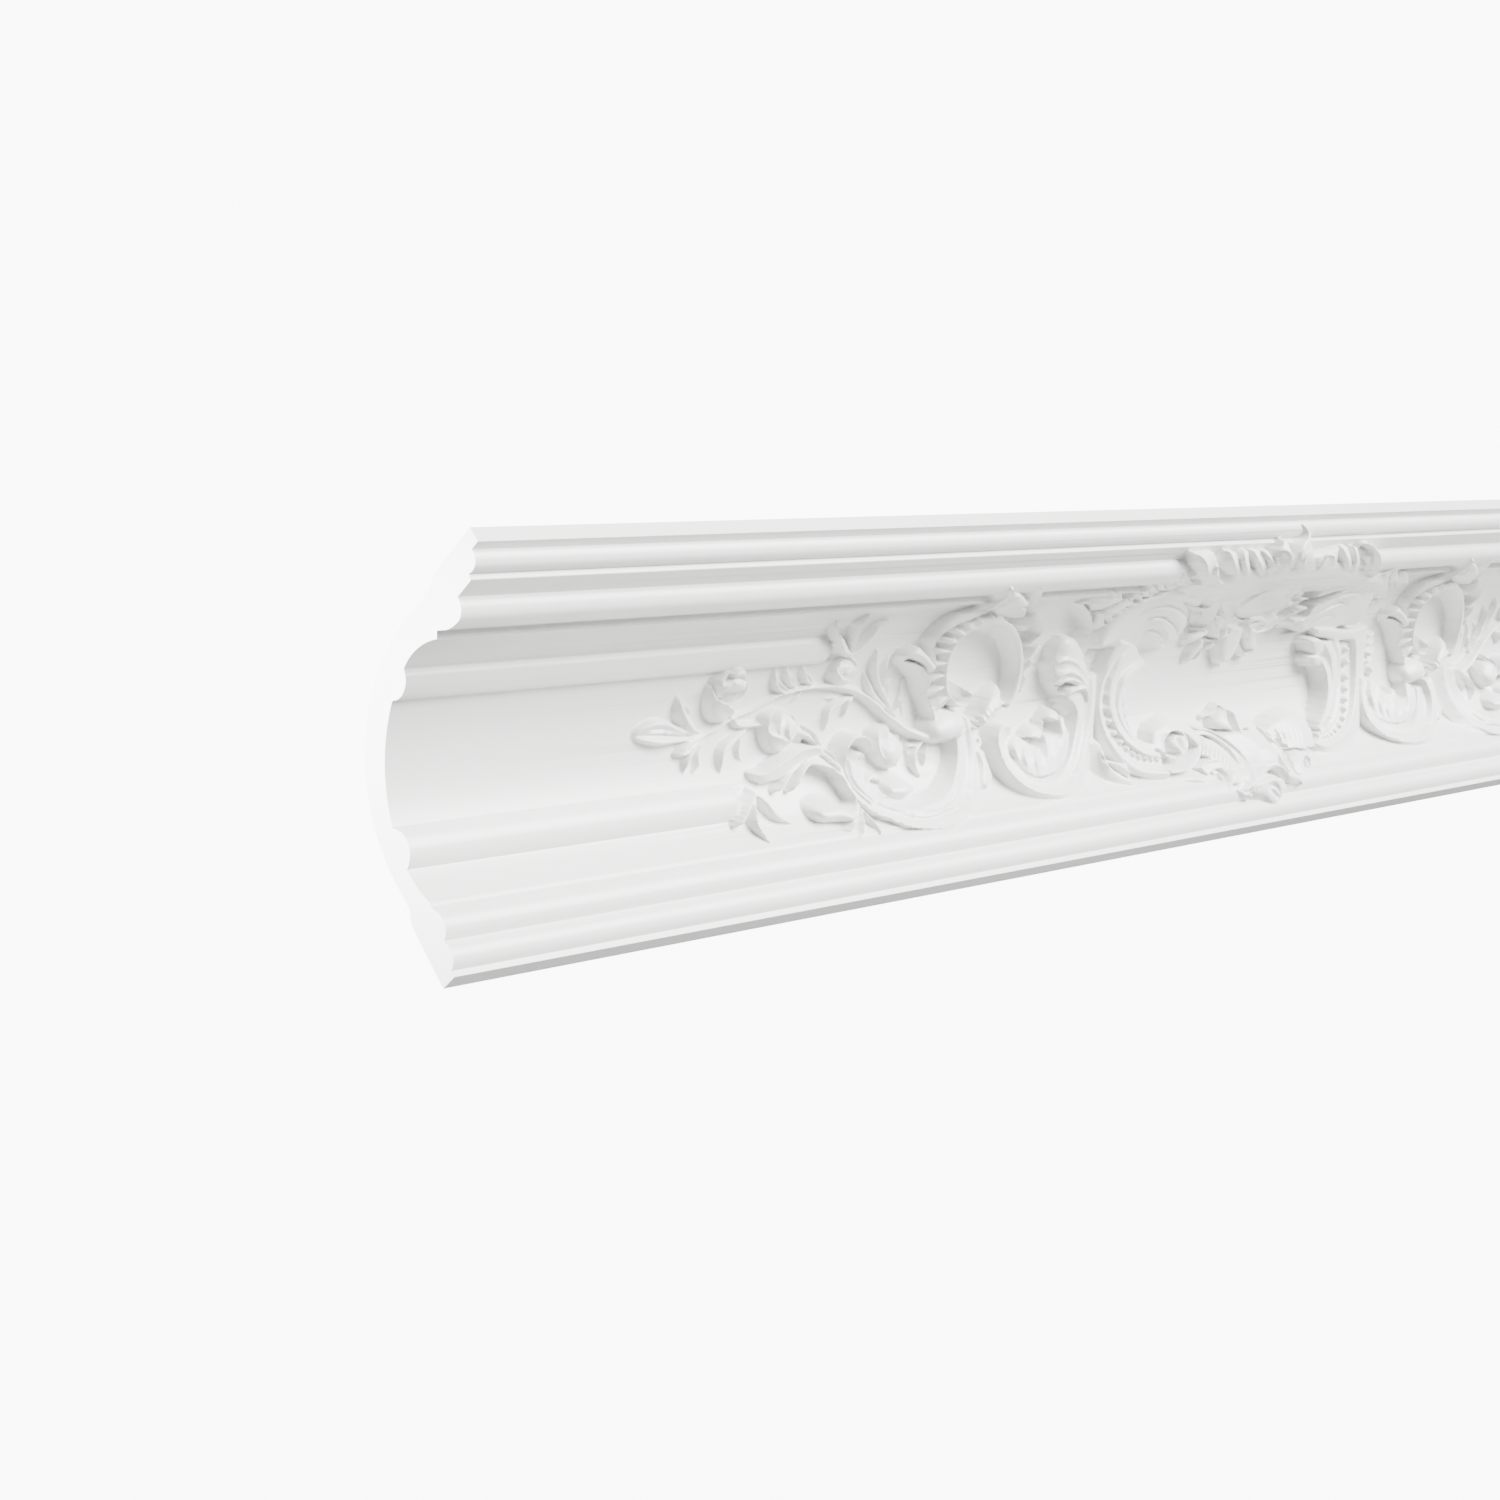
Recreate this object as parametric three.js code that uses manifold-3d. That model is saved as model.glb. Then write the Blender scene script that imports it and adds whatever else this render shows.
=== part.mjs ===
// Cornice moulding with a rocaille frieze: one cast length, cut square at both ends.
// Millimetres, +X along the length, the wall behind at +Y, +Z up. The origin is the middle
// of the face that is glued to the wall.
import * as THREE from 'three';
import { mergeVertices } from 'three/addons/utils/BufferGeometryUtils.js';
import Module from 'manifold-3d';

const wasm = await Module();
wasm.setup();

// Overall sizes of the length
const LENGTH = 1000;
const PROJECTION = 110;
const DROP = 106;

// Back: two glue faces, a relief groove beside each, and a hollow between them
const CEILING_FACE = 24;
const WALL_FACE = 25;
const GROOVE_DEPTH = 2.6;
const GROOVE_WIDTH = 4.5;
const WALL_LAND = 7.5;
const CEILING_LAND = 12.5;
const BACK_RISE = 21.6;

// Mouldings at the ceiling side, from the lip down to the cove: across, down, rise
const LIP_DEPTH = 5.8;
const LIP_STEP = 3.9;
const TOP_BEAD = { across: 6.2, down: 5, rise: 2.5 };
const TOP_FILLET = { across: 0.6, down: 2.2 };
const SOFFIT = 8.7;
const OVOLO_NOSE = { across: 4.6, down: 6.2, rise: 1.5 };
const OVOLO_SLOPE = { across: 10.8, up: 4.3, rise: 1.1 };
const UPPER_FILLET = { across: 1.8, down: 2.1 };
const UPPER_CAVETTO = { across: 15.9, up: 3.9, rise: 1.3 };

// Mouldings at the wall side, from the foot up to the cove: out from the wall, height, rise
const FOOT_OUT = 7.4;
const FOOT_HEIGHT = 2.3;
const LOWER_BEAD = { out: 10.5, height: 9.3, rise: 2.7 };
const UPPER_BEAD = { out: 12.4, height: 11.7, rise: 3.6 };
const LOWER_FILLET = { out: 13.2, height: 2.2 };
const LOWER_CAVETTO = { out: 10.4, height: 15.5, rise: 0.8 };

// The cove between them, and the astragals that run in from each end
const COVE_HOLLOW = 11.9;
const COVE_STEPS = 8;
const ASTRAGAL_RISE = 4.8;
const UPPER_ASTRAGAL = { from: -28.8, to: -16.2, end: 212 };
const LOWER_ASTRAGAL = { from: 26.4, to: 38.7, end: 160 };

// The frieze: its spread along the length, how proud it stands, how deep it is rooted
const FRIEZE_SPREAD = 784;
const RELIEF = 12;
const ROOT = 3.5;

// The frieze is drawn once at these sizes, then fitted to the length and the cove.
// Places along it are counted from the start of a one-metre drawing.
const DRAWN_SPREAD = 784;
const DRAWN_MIDDLE = 500;
const DRAWN_RELIEF = 12;
const DRAWN_CHORD = 70.5;
const STATION_STEP = 13;

// The two pleated rings of the drawing
const RING_SPACING = 380;
const RING = { along: 27.5, across: 20.5, centre: -9.5, rim: 4, proud: 9.5 };
const RING_GAP = { from: 0.62, sweep: 1.76 };

// The cove's circle carries the frieze up to this share of its radius, then flares out
const FLARE_START = 0.79;
const FLARE_SHARE = 0.085;

// Points of the section are (out from the wall, down from the ceiling).
// An arc rises to the room side of its chord when rise is positive.
function arc(points, out, down, rise, steps) {
  const from = points[points.length - 1];
  const chord = new THREE.Vector2(out - from.x, down - from.y);
  const span = chord.length();
  const side = new THREE.Vector2(chord.y, -chord.x).divideScalar(span);
  const radius = (span * span / 4 + rise * rise) / (2 * Math.abs(rise));
  const half = Math.asin(Math.min(1, span / 2 / radius));
  const sign = Math.sign(rise);
  for (let i = 1; i <= steps; i += 1) {
    const angle = -half + (2 * half * i) / steps;
    const along = 0.5 + (radius * Math.sin(angle)) / span;
    const height = sign * (radius * Math.cos(angle) - radius * Math.cos(half));
    points.push(new THREE.Vector2(
      from.x + chord.x * along + side.x * height,
      from.y + chord.y * along + side.y * height,
    ));
  }
}

function line(points, out, down) {
  points.push(new THREE.Vector2(out, down));
}

function step(points, across, down) {
  const from = points[points.length - 1];
  line(points, from.x - across, from.y + down);
}

function curve(points, across, down, rise, steps) {
  const from = points[points.length - 1];
  arc(points, from.x - across, from.y + down, rise, steps);
}

// Front of the section above the cove
const upper = [new THREE.Vector2(PROJECTION, 0)];
step(upper, 0, LIP_DEPTH);
step(upper, LIP_STEP, 0);
curve(upper, TOP_BEAD.across, TOP_BEAD.down, TOP_BEAD.rise, 5);
step(upper, TOP_FILLET.across, TOP_FILLET.down);
step(upper, SOFFIT, 0);
curve(upper, OVOLO_NOSE.across, OVOLO_NOSE.down, OVOLO_NOSE.rise, 4);
curve(upper, OVOLO_SLOPE.across, -OVOLO_SLOPE.up, OVOLO_SLOPE.rise, 3);
step(upper, UPPER_FILLET.across, UPPER_FILLET.down);
curve(upper, UPPER_CAVETTO.across, -UPPER_CAVETTO.up, -UPPER_CAVETTO.rise, 5);

// Front of the section below the cove
const beadFoot = DROP - FOOT_HEIGHT;
const beadMiddle = beadFoot - LOWER_BEAD.height;
const beadTop = beadMiddle - UPPER_BEAD.height;
const filletTop = beadTop - LOWER_FILLET.height;
const coveFoot = filletTop - LOWER_CAVETTO.height;
const coveTop = upper[upper.length - 1];

function front() {
  const points = upper.slice();
  arc(points, LOWER_CAVETTO.out, coveFoot, -COVE_HOLLOW, COVE_STEPS);
  arc(points, LOWER_FILLET.out, filletTop, -LOWER_CAVETTO.rise, 4);
  line(points, UPPER_BEAD.out, beadTop);
  arc(points, LOWER_BEAD.out, beadMiddle, UPPER_BEAD.rise, 6);
  arc(points, FOOT_OUT, beadFoot, LOWER_BEAD.rise, 5);
  line(points, FOOT_OUT, DROP);
  line(points, 0, DROP);
  return points;
}

function section() {
  const points = front();
  const wallTop = DROP - WALL_FACE;
  const ceilingEdge = PROJECTION - CEILING_FACE;
  line(points, 0, wallTop);
  line(points, GROOVE_DEPTH, wallTop - GROOVE_WIDTH);
  line(points, GROOVE_DEPTH, wallTop - GROOVE_WIDTH - WALL_LAND);
  arc(points, ceilingEdge - GROOVE_WIDTH - CEILING_LAND, GROOVE_DEPTH, BACK_RISE, 12);
  line(points, ceilingEdge - GROOVE_WIDTH, GROOVE_DEPTH);
  line(points, ceilingEdge, 0);
  return points;
}

// The circle of the cove carries the frieze: (place across the chord, height off it)
const chordOut = coveTop.x - LOWER_CAVETTO.out;
const chordDown = coveFoot - coveTop.y;
const chordLength = Math.hypot(chordOut, chordDown);
const coveRadius = (chordLength * chordLength / 4 + COVE_HOLLOW * COVE_HOLLOW) / (2 * COVE_HOLLOW);
const toCentre = coveRadius - COVE_HOLLOW;
const centreOut = (coveTop.x + LOWER_CAVETTO.out) / 2 + (toCentre * chordDown) / chordLength;
const centreDown = (coveTop.y + coveFoot) / 2 + (toCentre * chordOut) / chordLength;
const centreAcross = (centreDown - centreOut) / Math.SQRT2;
const centreProud = (centreDown + centreOut) / Math.SQRT2;
const flareCosine = Math.sqrt(1 - FLARE_START * FLARE_START);
const flareStart = coveRadius * FLARE_START;
const flareSlope = FLARE_START / flareCosine;
const flareBase = centreProud - coveRadius * flareCosine;
const flareRise = (PROJECTION + DROP) * FLARE_SHARE;

function carrier(across) {
  const c = Math.abs(across);
  if (c <= flareStart) return centreProud - Math.sqrt(coveRadius * coveRadius - c * c);
  return flareBase + flareRise * (1 - Math.exp((-(c - flareStart) * flareSlope) / flareRise));
}

// From (along the length, across the cove, proud of the carrier) to the part's frame
const acrossScale = chordLength / DRAWN_CHORD;
const alongScale = FRIEZE_SPREAD / DRAWN_SPREAD;
const proudScale = RELIEF / DRAWN_RELIEF;
const mountDown = DROP - WALL_FACE / 2;

function place(along, across, proud) {
  const c = across + centreAcross;
  const n = carrier(across) + proud;
  const out = (n - c) / Math.SQRT2;
  const down = (n + c) / Math.SQRT2;
  return [along, -out, mountDown - down];
}

// A closed solid from a grid of cross-sections, every section a loop of the same count
function loft(sections, closed) {
  const count = sections[0].length;
  const positions = [];
  const indices = [];
  sections.forEach((loop) => loop.forEach((point) => positions.push(...place(...point))));
  const last = closed ? sections.length : sections.length - 1;
  for (let s = 0; s < last; s += 1) {
    const next = (s + 1) % sections.length;
    for (let k = 0; k < count; k += 1) {
      const j = (k + 1) % count;
      const a = s * count + k;
      const b = s * count + j;
      const c = next * count + j;
      const d = next * count + k;
      indices.push(a, b, c, a, c, d);
    }
  }
  if (!closed) {
    const end = (sections.length - 1) * count;
    for (let k = 1; k < count - 1; k += 1) {
      indices.push(0, k + 1, k);
      indices.push(end, end + k, end + k + 1);
    }
  }
  const geometry = new THREE.BufferGeometry();
  geometry.setAttribute('position', new THREE.Float32BufferAttribute(positions, 3));
  geometry.setIndex(indices);
  return geometry;
}

// Section shapes of the carving: (share of the half width, share of the height)
const ROUND = [[-1, null], [-0.55, 1], [0.55, 1], [1, null]];
const LEAF = [[-1, null], [-0.6, 0.9], [0.25, 1], [1, null]];
const BLADE = [[-1, null], [-0.2, 1], [1, null]];
const SCROLL = [[-1, null], [-0.8, 1], [-0.05, 0.6], [0.8, 0.95], [1, null]];

// A stroke of carving: knots of (along, across, half width, height) and a section shape
function stroke(shape, knots, closed = false) {
  const path = new THREE.CatmullRomCurve3(
    knots.map(([x, c]) => new THREE.Vector3(x, c, 0)), closed, 'catmullrom', 0.5,
  );
  const body = new THREE.CatmullRomCurve3(
    knots.map(([, , w, h]) => new THREE.Vector3(w, h, 0)), closed, 'catmullrom', 0.5,
  );
  const stations = Math.max(2, Math.round(path.getLength() / STATION_STEP));
  const sections = [];
  const count = closed ? stations : stations + 1;
  for (let i = 0; i < count; i += 1) {
    const t = i / stations;
    const at = path.getPoint(t);
    const tangent = path.getTangent(t);
    const size = body.getPoint(t);
    const width = Math.max(0.5, size.x);
    const height = Math.max(0.6, size.y);
    sections.push(shape.map(([q, k]) => [
      at.x - tangent.y * width * q,
      at.y + tangent.x * width * q,
      k === null ? -ROOT : height * k,
    ]));
  }
  return { sections, closed };
}

// A boss: a rounded button of petals or a bud
function boss(x, c, alongRadius, acrossRadius, height, sides = 7) {
  const levels = [[1, null], [0.62, 1]];
  const rings = levels.map(([share, k]) => {
    const loop = [];
    for (let i = 0; i < sides; i += 1) {
      const angle = (2 * Math.PI * i) / sides;
      loop.push([
        x + alongRadius * share * Math.cos(angle),
        c + acrossRadius * share * Math.sin(angle),
        k === null ? -ROOT : height * k,
      ]);
    }
    return loop;
  });
  return { sections: rings, closed: false };
}

const leaf = (...knots) => stroke(LEAF, knots);
const blade = (...knots) => stroke(BLADE, knots);
const round = (...knots) => stroke(ROUND, knots);
const scroll = (...knots) => stroke(SCROLL, knots);

// Rose spray with its stem, from its tip leaf to the scroll it springs from
function spray() {
  return [
    round([137, 8, 1.4, 4], [164, 5, 1.5, 4.5], [193, -5, 1.5, 4.5], [223, -5, 1.6, 4.5],
      [249, 4.5, 1.8, 5], [281, 15.5, 2, 6]),
    blade([112, 5.2, 1.2, 1.5], [123, 4, 4, 5], [139, 8, 1.5, 4]),
    blade([143, 7, 1.2, 4], [137, -2, 3.6, 5], [132, -10, 0.8, 3]),
    blade([167, 6, 1.2, 4.5], [161, 13, 3.4, 5], [155, 20, 0.8, 3]),
    blade([202, -7, 1, 4.5], [195, -11, 2.2, 5], [190, -17, 0.8, 3]),
    blade([254, 5, 1.4, 5], [246, -8, 3, 6], [243, -20, 0.8, 3]),
    blade([281, 16, 1.4, 5], [273, 22, 3.4, 5.5], [268, 31, 0.8, 3]),
    boss(157.5, -9, 8, 8.5, 8),
    boss(188, 7.5, 7.5, 8, 8.5),
    boss(222.5, -13.5, 6.3, 5.5, 7),
    boss(250, 19, 8, 9, 9),
  ];
}

// The spray's small leaves
function sprigs() {
  return [
    blade([144, 8, 1.2, 4], [139, 13, 3.6, 4.5], [132, 18, 1, 3]),
    blade([194, -6, 1.2, 4.5], [187, -11, 2.8, 5.5], [183, -17, 0.8, 3]),
    blade([210, -8, 1, 4.5], [203, -12, 2.2, 5], [198, -17, 0.8, 3]),
    blade([236, -1, 1.2, 4.5], [222, -1, 2.6, 5], [217, 9, 0.8, 3]),
    blade([246, 0, 1, 4.5], [241, -6, 2, 4.5], [237, -12, 0.8, 3]),
    blade([170, 4, 1.2, 4], [163, 2.5, 3, 6], [156, -1, 0.8, 4]),
  ];
}

// Leaves that end the two astragals
function terminals() {
  const top = UPPER_ASTRAGAL.end;
  const low = LOWER_ASTRAGAL.end;
  return [
    blade([top + 9, -21, 1.5, 8], [top, -25, 4, 9], [top - 9, -33, 1.2, 7]),
    blade([top + 9, -21, 1.5, 8], [top + 5, -30, 4.2, 10], [top + 3, -38, 1, 9]),
    blade([top + 10, -21, 1.5, 8], [top + 15, -29, 3.6, 8], [top + 24, -33, 0.8, 6]),
    blade([low + 7, 29, 1.5, 7], [low, 33, 4, 9], [low - 8, 39, 1.2, 7]),
    blade([low + 6, 30, 1.5, 7], [low + 4, 38, 3.2, 9], [low + 3, 45, 1, 8]),
    blade([low + 8, 29, 1.5, 6], [low + 12, 35, 3.6, 6], [low + 18, 40, 0.8, 4]),
  ];
}

// Acanthus that opens the frieze, left of the first channel
function acanthus() {
  return [
    leaf([215, 26, 1.8, 8], [207, 18.5, 3.6, 9], [195, 18.5, 4.6, 8], [184, 22, 3.6, 6],
      [173, 24.5, 0.8, 3]),
    leaf([197, 21, 1.5, 7], [190, 26, 3, 6.5], [184, 30, 0.8, 4]),
    leaf([204, 22, 1.5, 7], [200, 27, 3, 7], [193, 31, 0.8, 4]),
    leaf([220, 29, 1.6, 8], [211, 18, 3, 8.5], [204, 9, 0.8, 5]),
    round([196, 21.5, 1.2, 6], [208, 21.5, 1.8, 9], [216, 30, 2, 9], [213, 39, 2, 9],
      [202, 38, 1.4, 8]),
    boss(205, 39, 6.5, 4.6, 8),
    leaf([217, 39, 1.6, 7], [214, 44, 3.4, 7], [211, 49, 0.8, 5]),
    leaf([224, 39, 1.6, 7], [226, 44, 3.6, 7], [224, 49, 0.8, 5]),
    leaf([231, 37, 2.4, 9], [227, 27, 4.4, 10], [230, 18, 4.2, 10], [243, 19, 1, 7]),
    boss(251, 34, 7.5, 5, 8),
  ];
}

// A U-shaped channel with rolled rims
function channel(shift) {
  return [
    scroll(
      [shift - 76, 22, 2.6, 8], [shift - 72, 35, 3.8, 8], [shift - 52, 43, 4.8, 7.5],
      [shift - 27, 42, 5, 7.5], [shift - 12, 32, 5, 8], [shift - 8, 17, 4.4, 9],
    ),
  ];
}

// The pleated ring with its leaves and the fluted tongue below it
function ring(axis) {
  const rim = [];
  const knots = 14;
  for (let i = 0; i <= knots; i += 1) {
    const angle = Math.PI * (RING_GAP.from + (RING_GAP.sweep * i) / knots);
    rim.push([
      axis + RING.along * Math.cos(angle),
      RING.centre + RING.across * Math.sin(angle),
      RING.rim,
      RING.proud,
    ]);
  }
  return [
    stroke(SCROLL, rim),
    boss(axis - 10, 3, 5.5, 5.5, 6.5, 8),
    boss(axis + 13, 3.5, 5, 4.5, 6.5, 6),
    leaf([axis - 26, 12, 2.5, 9.5], [axis - 29, 1, 4.6, 10], [axis - 36, -9, 5, 10],
      [axis - 50, -17.5, 1, 7]),
    leaf([axis - 26, -16, 3, 9.5], [axis - 33, -26, 6.4, 10], [axis - 27, -36, 6.4, 11],
      [axis - 15, -46, 1, 13]),
    leaf([axis + 22, -24, 3, 9.5], [axis + 21, -33, 4.6, 11], [axis + 13, -41, 3.8, 12],
      [axis + 6, -47, 0.8, 13]),
    leaf([axis - 8, -33, 1.5, 10], [axis + 2, -36.5, 2.8, 11], [axis + 13, -34, 0.8, 9]),
    leaf([axis + 20, -12, 2.5, 9], [axis + 27, -18, 4, 9], [axis + 33, -24, 0.8, 8]),
    leaf([axis + 18, 8, 2.4, 8], [axis + 28, -2, 3.6, 9], [axis + 34, -11, 0.8, 8]),
    boss(axis - 14, 13.5, 11, 7, 12),
    round([axis - 1, 16, 3, 9], [axis + 2, 6, 5.5, 15], [axis + 4, -2, 2.5, 9]),
    boss(axis - 2, 33, 5.5, 5.5, 3.6, 6),
    round([axis + 5, 18, 4, 8], [axis + 16, 14, 4.5, 9]),
  ];
}

// A scalloped cup set in a channel
function cup(x) {
  const lobes = [];
  for (let i = 0; i < 3; i += 1) {
    lobes.push(round(
      [x - 17 + 15 * i, 22 - 3 * i, 4.6, 6.5],
      [x - 7 + 6 * i, 36, 3, 3],
    ));
  }
  return lobes;
}

// The S-shaped ribbed leaf that rises out of a channel toward the cartouche
function ribbedLeaf(shift) {
  return [
    leaf([shift + 78, 14, 3, 9], [shift + 74, 2, 5.5, 10], [shift + 62, -6, 7, 10],
      [shift + 55, -15, 5, 8], [shift + 50, -20, 1, 6]),
    round([shift + 60, -4, 1.4, 11], [shift + 70, -9, 1.6, 11.5], [shift + 79, -3, 1.4, 10]),
    scroll([shift + 18, 16, 3, 9], [shift + 16, 30, 4, 8], [shift + 33, 41.5, 4.6, 7.5],
      [shift + 58, 38, 4.6, 7.5], [shift + 74, 24, 4.6, 8], [shift + 77, 8, 4, 9]),
  ];
}

// One side of the cartouche: banded C-scroll with its beads, volutes and feathered back.
// Given for the side toward the start of the length; x is measured from the axis.
function cartoucheSide(axis, hand) {
  const at = (x) => axis + hand * x;
  const put = (knots) => knots.map(([x, c, w, h]) => [at(x), c, w, h]);
  return [
    stroke(SCROLL, put([[-50, -12, 4, 9], [-80, -22, 7, 9], [-103, -8, 7.4, 8.5], [-104, 15, 6, 8],
      [-92, 34, 5.4, 8], [-70, 41, 4.6, 8], [-48, 42, 3, 8]])),
    stroke(ROUND, put([[-70, -9, 1.6, 5.5], [-86, 2, 2, 6], [-90, 16, 2, 6], [-82, 29, 2, 6],
      [-66, 35, 1.6, 6]])),
    stroke(LEAF, put([[-98, -20, 4, 10], [-82, -27, 6, 11], [-62, -27, 6, 11], [-46, -19, 1.5, 9]])),
    stroke(ROUND, put([[-84, -15, 2.4, 9], [-70, -16.5, 3.6, 10], [-58, -13, 1.5, 8]])),
    stroke(LEAF, put([[-112, -14, 3, 9], [-121, -24, 5, 9], [-132, -34, 4.4, 9], [-148, -37, 1, 7]])),
    stroke(LEAF, put([[-105, -24, 3, 10], [-112, -34, 5, 11], [-124, -42, 1, 11]])),
    stroke(ROUND, put([[-76, 32, 2, 7], [-60, 27, 7, 10], [-42, 31, 6.5, 10], [-34, 40, 2.4, 9]])),
    stroke(LEAF, put([[-42, 36, 4, 9], [-28, 40, 6, 9.5], [-14, 44, 3, 9]])),
    stroke(LEAF, put([[-112, 29, 2, 7], [-118, 36, 5, 7.5], [-104, 43, 3, 6], [-92, 46, 1, 4]])),
    stroke(LEAF, put([[-44, 45, 2, 7], [-32, 50, 3.4, 9], [-22, 55, 0.8, 10]])),
  ];
}

// Crest leaves that lap over the mouldings, the cabochon and its drips, and the base
function cartoucheMiddle(axis) {
  const crest = [];
  for (let i = 0; i < 4; i += 1) {
    const lean = 30 + 19 * i;
    [-1, 1].forEach((hand) => {
      crest.push(blade(
        [axis + hand * (lean * 0.62 + 6), -33, 3.2, 13], [axis + hand * (lean + 2), -42, 5.4, 13.5],
        [axis + hand * (lean + 3), -51, 4.6, 12.5], [axis + hand * (lean + 12), -59, 1, 11],
      ));
    });
  }
  return [
    ...crest,
    leaf([axis, -38, 4, 13], [axis - 4, -48, 6, 13.5], [axis - 7, -60, 5, 10], [axis - 10, -71, 1, 6]),
    blade([axis + 5, -40, 3, 13], [axis + 12, -49, 5, 13], [axis + 13, -60, 1, 10]),
    blade([axis - 12, -40, 3, 13], [axis - 19, -50, 4.4, 13], [axis - 22, -62, 1, 10]),
    boss(axis, -30, 20, 9.5, 14),
    round([axis - 34, -22, 4, 9], [axis - 36, -32, 5, 12], [axis - 24, -34, 4, 12]),
    round([axis + 34, -22, 4, 9], [axis + 36, -32, 5, 12], [axis + 24, -34, 4, 12]),
    boss(axis - 5, -11, 9, 9.5, 7),
    boss(axis - 22, -14, 8, 6, 7),
    boss(axis - 32, -8, 7, 5, 5),
    boss(axis + 14, -13, 8, 6, 7),
    boss(axis + 22, -8, 7, 5, 5),
    leaf([axis - 22, 26, 1.4, 5], [axis - 11, 23, 4, 7], [axis + 2, 30, 3, 8]),
    leaf([axis + 22, 29, 1.4, 5], [axis + 10, 26, 4, 7], [axis, 31, 3, 8]),
    boss(axis, 38, 16, 9, 11),
    leaf([axis - 24, 51, 2, 9], [axis, 53, 4.4, 11], [axis + 24, 50, 2, 9]),
  ];
}

// The channel past the second ring, which runs into the closing acanthus
function closingChannel(axis) {
  return [
    scroll([axis + 18, 16, 3, 9], [axis + 16, 30, 4, 8], [axis + 33, 41.5, 4.6, 7.5],
      [axis + 52, 43, 4.8, 7.5], [axis + 72, 35, 3.8, 8]),
  ];
}

// The same strokes turned over, for the far end of the length
function mirrored(strokes) {
  return strokes.map(({ sections, closed }) => ({
    closed,
    sections: sections.map((loop) => loop.map(([x, c, h]) => [2 * DRAWN_MIDDLE - x, c, h])),
  }));
}

// Every stroke of the frieze, from one end of the length to the other
function frieze() {
  const firstRing = DRAWN_MIDDLE - RING_SPACING / 2;
  const secondRing = DRAWN_MIDDLE + RING_SPACING / 2;
  const bothEnds = [...spray(), ...acanthus(), ...terminals()];
  return [
    ...bothEnds,
    ...sprigs(),
    ...mirrored(bothEnds),
    ...ring(firstRing),
    ...ring(secondRing),
    ...channel(firstRing),
    ...channel(secondRing),
    ...ribbedLeaf(firstRing),
    ...cup(firstRing + 38),
    ...cup(secondRing - 50),
    ...closingChannel(secondRing),
    ...cartoucheSide(DRAWN_MIDDLE, 1),
    ...cartoucheSide(DRAWN_MIDDLE, -1),
    ...cartoucheMiddle(DRAWN_MIDDLE),
  ];
}

// Solids for joining: from a closed geometry to a manifold and back
function toSolid(geometry) {
  const bare = geometry.clone();
  bare.deleteAttribute('normal');
  bare.deleteAttribute('uv');
  const merged = mergeVertices(bare, 1e-4);
  const mesh = new wasm.Mesh({
    numProp: 3,
    vertProperties: new Float32Array(merged.attributes.position.array),
    triVerts: new Uint32Array(merged.index.array),
  });
  return new wasm.Manifold(mesh);
}

function volumeOf(geometry) {
  const p = geometry.attributes.position;
  const index = geometry.index;
  const [a, b, c] = [new THREE.Vector3(), new THREE.Vector3(), new THREE.Vector3()];
  let sum = 0;
  for (let i = 0; i < index.count; i += 3) {
    a.fromBufferAttribute(p, index.getX(i));
    b.fromBufferAttribute(p, index.getX(i + 1));
    c.fromBufferAttribute(p, index.getX(i + 2));
    sum += a.dot(b.clone().cross(c)) / 6;
  }
  return sum;
}

function facingOut(geometry) {
  if (volumeOf(geometry) > 0) return geometry;
  const index = geometry.index;
  for (let i = 0; i < index.count; i += 3) {
    const keep = index.getX(i + 1);
    index.setX(i + 1, index.getX(i + 2));
    index.setX(i + 2, keep);
  }
  return geometry;
}

// A run of the section along +X, from the given start
function run(points, start, length) {
  const shape = new THREE.Shape(points);
  const geometry = new THREE.ExtrudeGeometry(shape, { depth: length, bevelEnabled: false });
  const basis = new THREE.Matrix4().makeBasis(
    new THREE.Vector3(0, -1, 0), new THREE.Vector3(0, 0, -1), new THREE.Vector3(1, 0, 0),
  );
  basis.setPosition(start, 0, mountDown);
  return geometry.applyMatrix4(basis);
}

// An astragal: a bar half sunk in the cove between two places across it.
// One runs in from each end of the length to the same place of the frieze.
function astragals({ from, to, end }) {
  const foot = (across, proud) => {
    const c = across * acrossScale + centreAcross;
    const n = carrier(across * acrossScale) + proud;
    return new THREE.Vector2((n - c) / Math.SQRT2, (n + c) / Math.SQRT2);
  };
  const points = [foot(from, -ROOT), foot(from, 0)];
  const last = foot(to, 0);
  arc(points, last.x, last.y, ASTRAGAL_RISE, 7);
  points.push(foot(to, -ROOT));
  const length = LENGTH / 2 - (DRAWN_MIDDLE - end) * alongScale;
  return [run(points, -LENGTH / 2, length), run(points, LENGTH / 2 - length, length)];
}

// A stroke of the drawing as a closed geometry at the part's own sizes
function fitted({ sections, closed }) {
  return facingOut(loft(sections.map((loop) => loop.map(([x, c, h]) => [
    (x - DRAWN_MIDDLE) * alongScale, c * acrossScale, h * proudScale,
  ])), closed));
}

function corniceGeometry() {
  let solid = toSolid(run(section(), -LENGTH / 2, LENGTH));
  const bars = [...astragals(UPPER_ASTRAGAL), ...astragals(LOWER_ASTRAGAL)];
  [...bars, ...frieze().map(fitted)].forEach((geometry) => {
    solid = solid.add(toSolid(geometry));
  });
  const { vertProperties, triVerts } = solid.getMesh();
  const joined = new THREE.BufferGeometry();
  joined.setAttribute('position', new THREE.Float32BufferAttribute(vertProperties, 3));
  joined.setIndex(new THREE.Uint32BufferAttribute(triVerts, 1));
  return joined;
}

const primed = new THREE.MeshStandardMaterial({ color: 0xf4f4f2, roughness: 0.55, metalness: 0 });

const cornice = new THREE.Mesh(corniceGeometry(), primed);
cornice.name = 'cornice_moulding';

const part = new THREE.Group();
part.add(cornice);

export default part;
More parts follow.
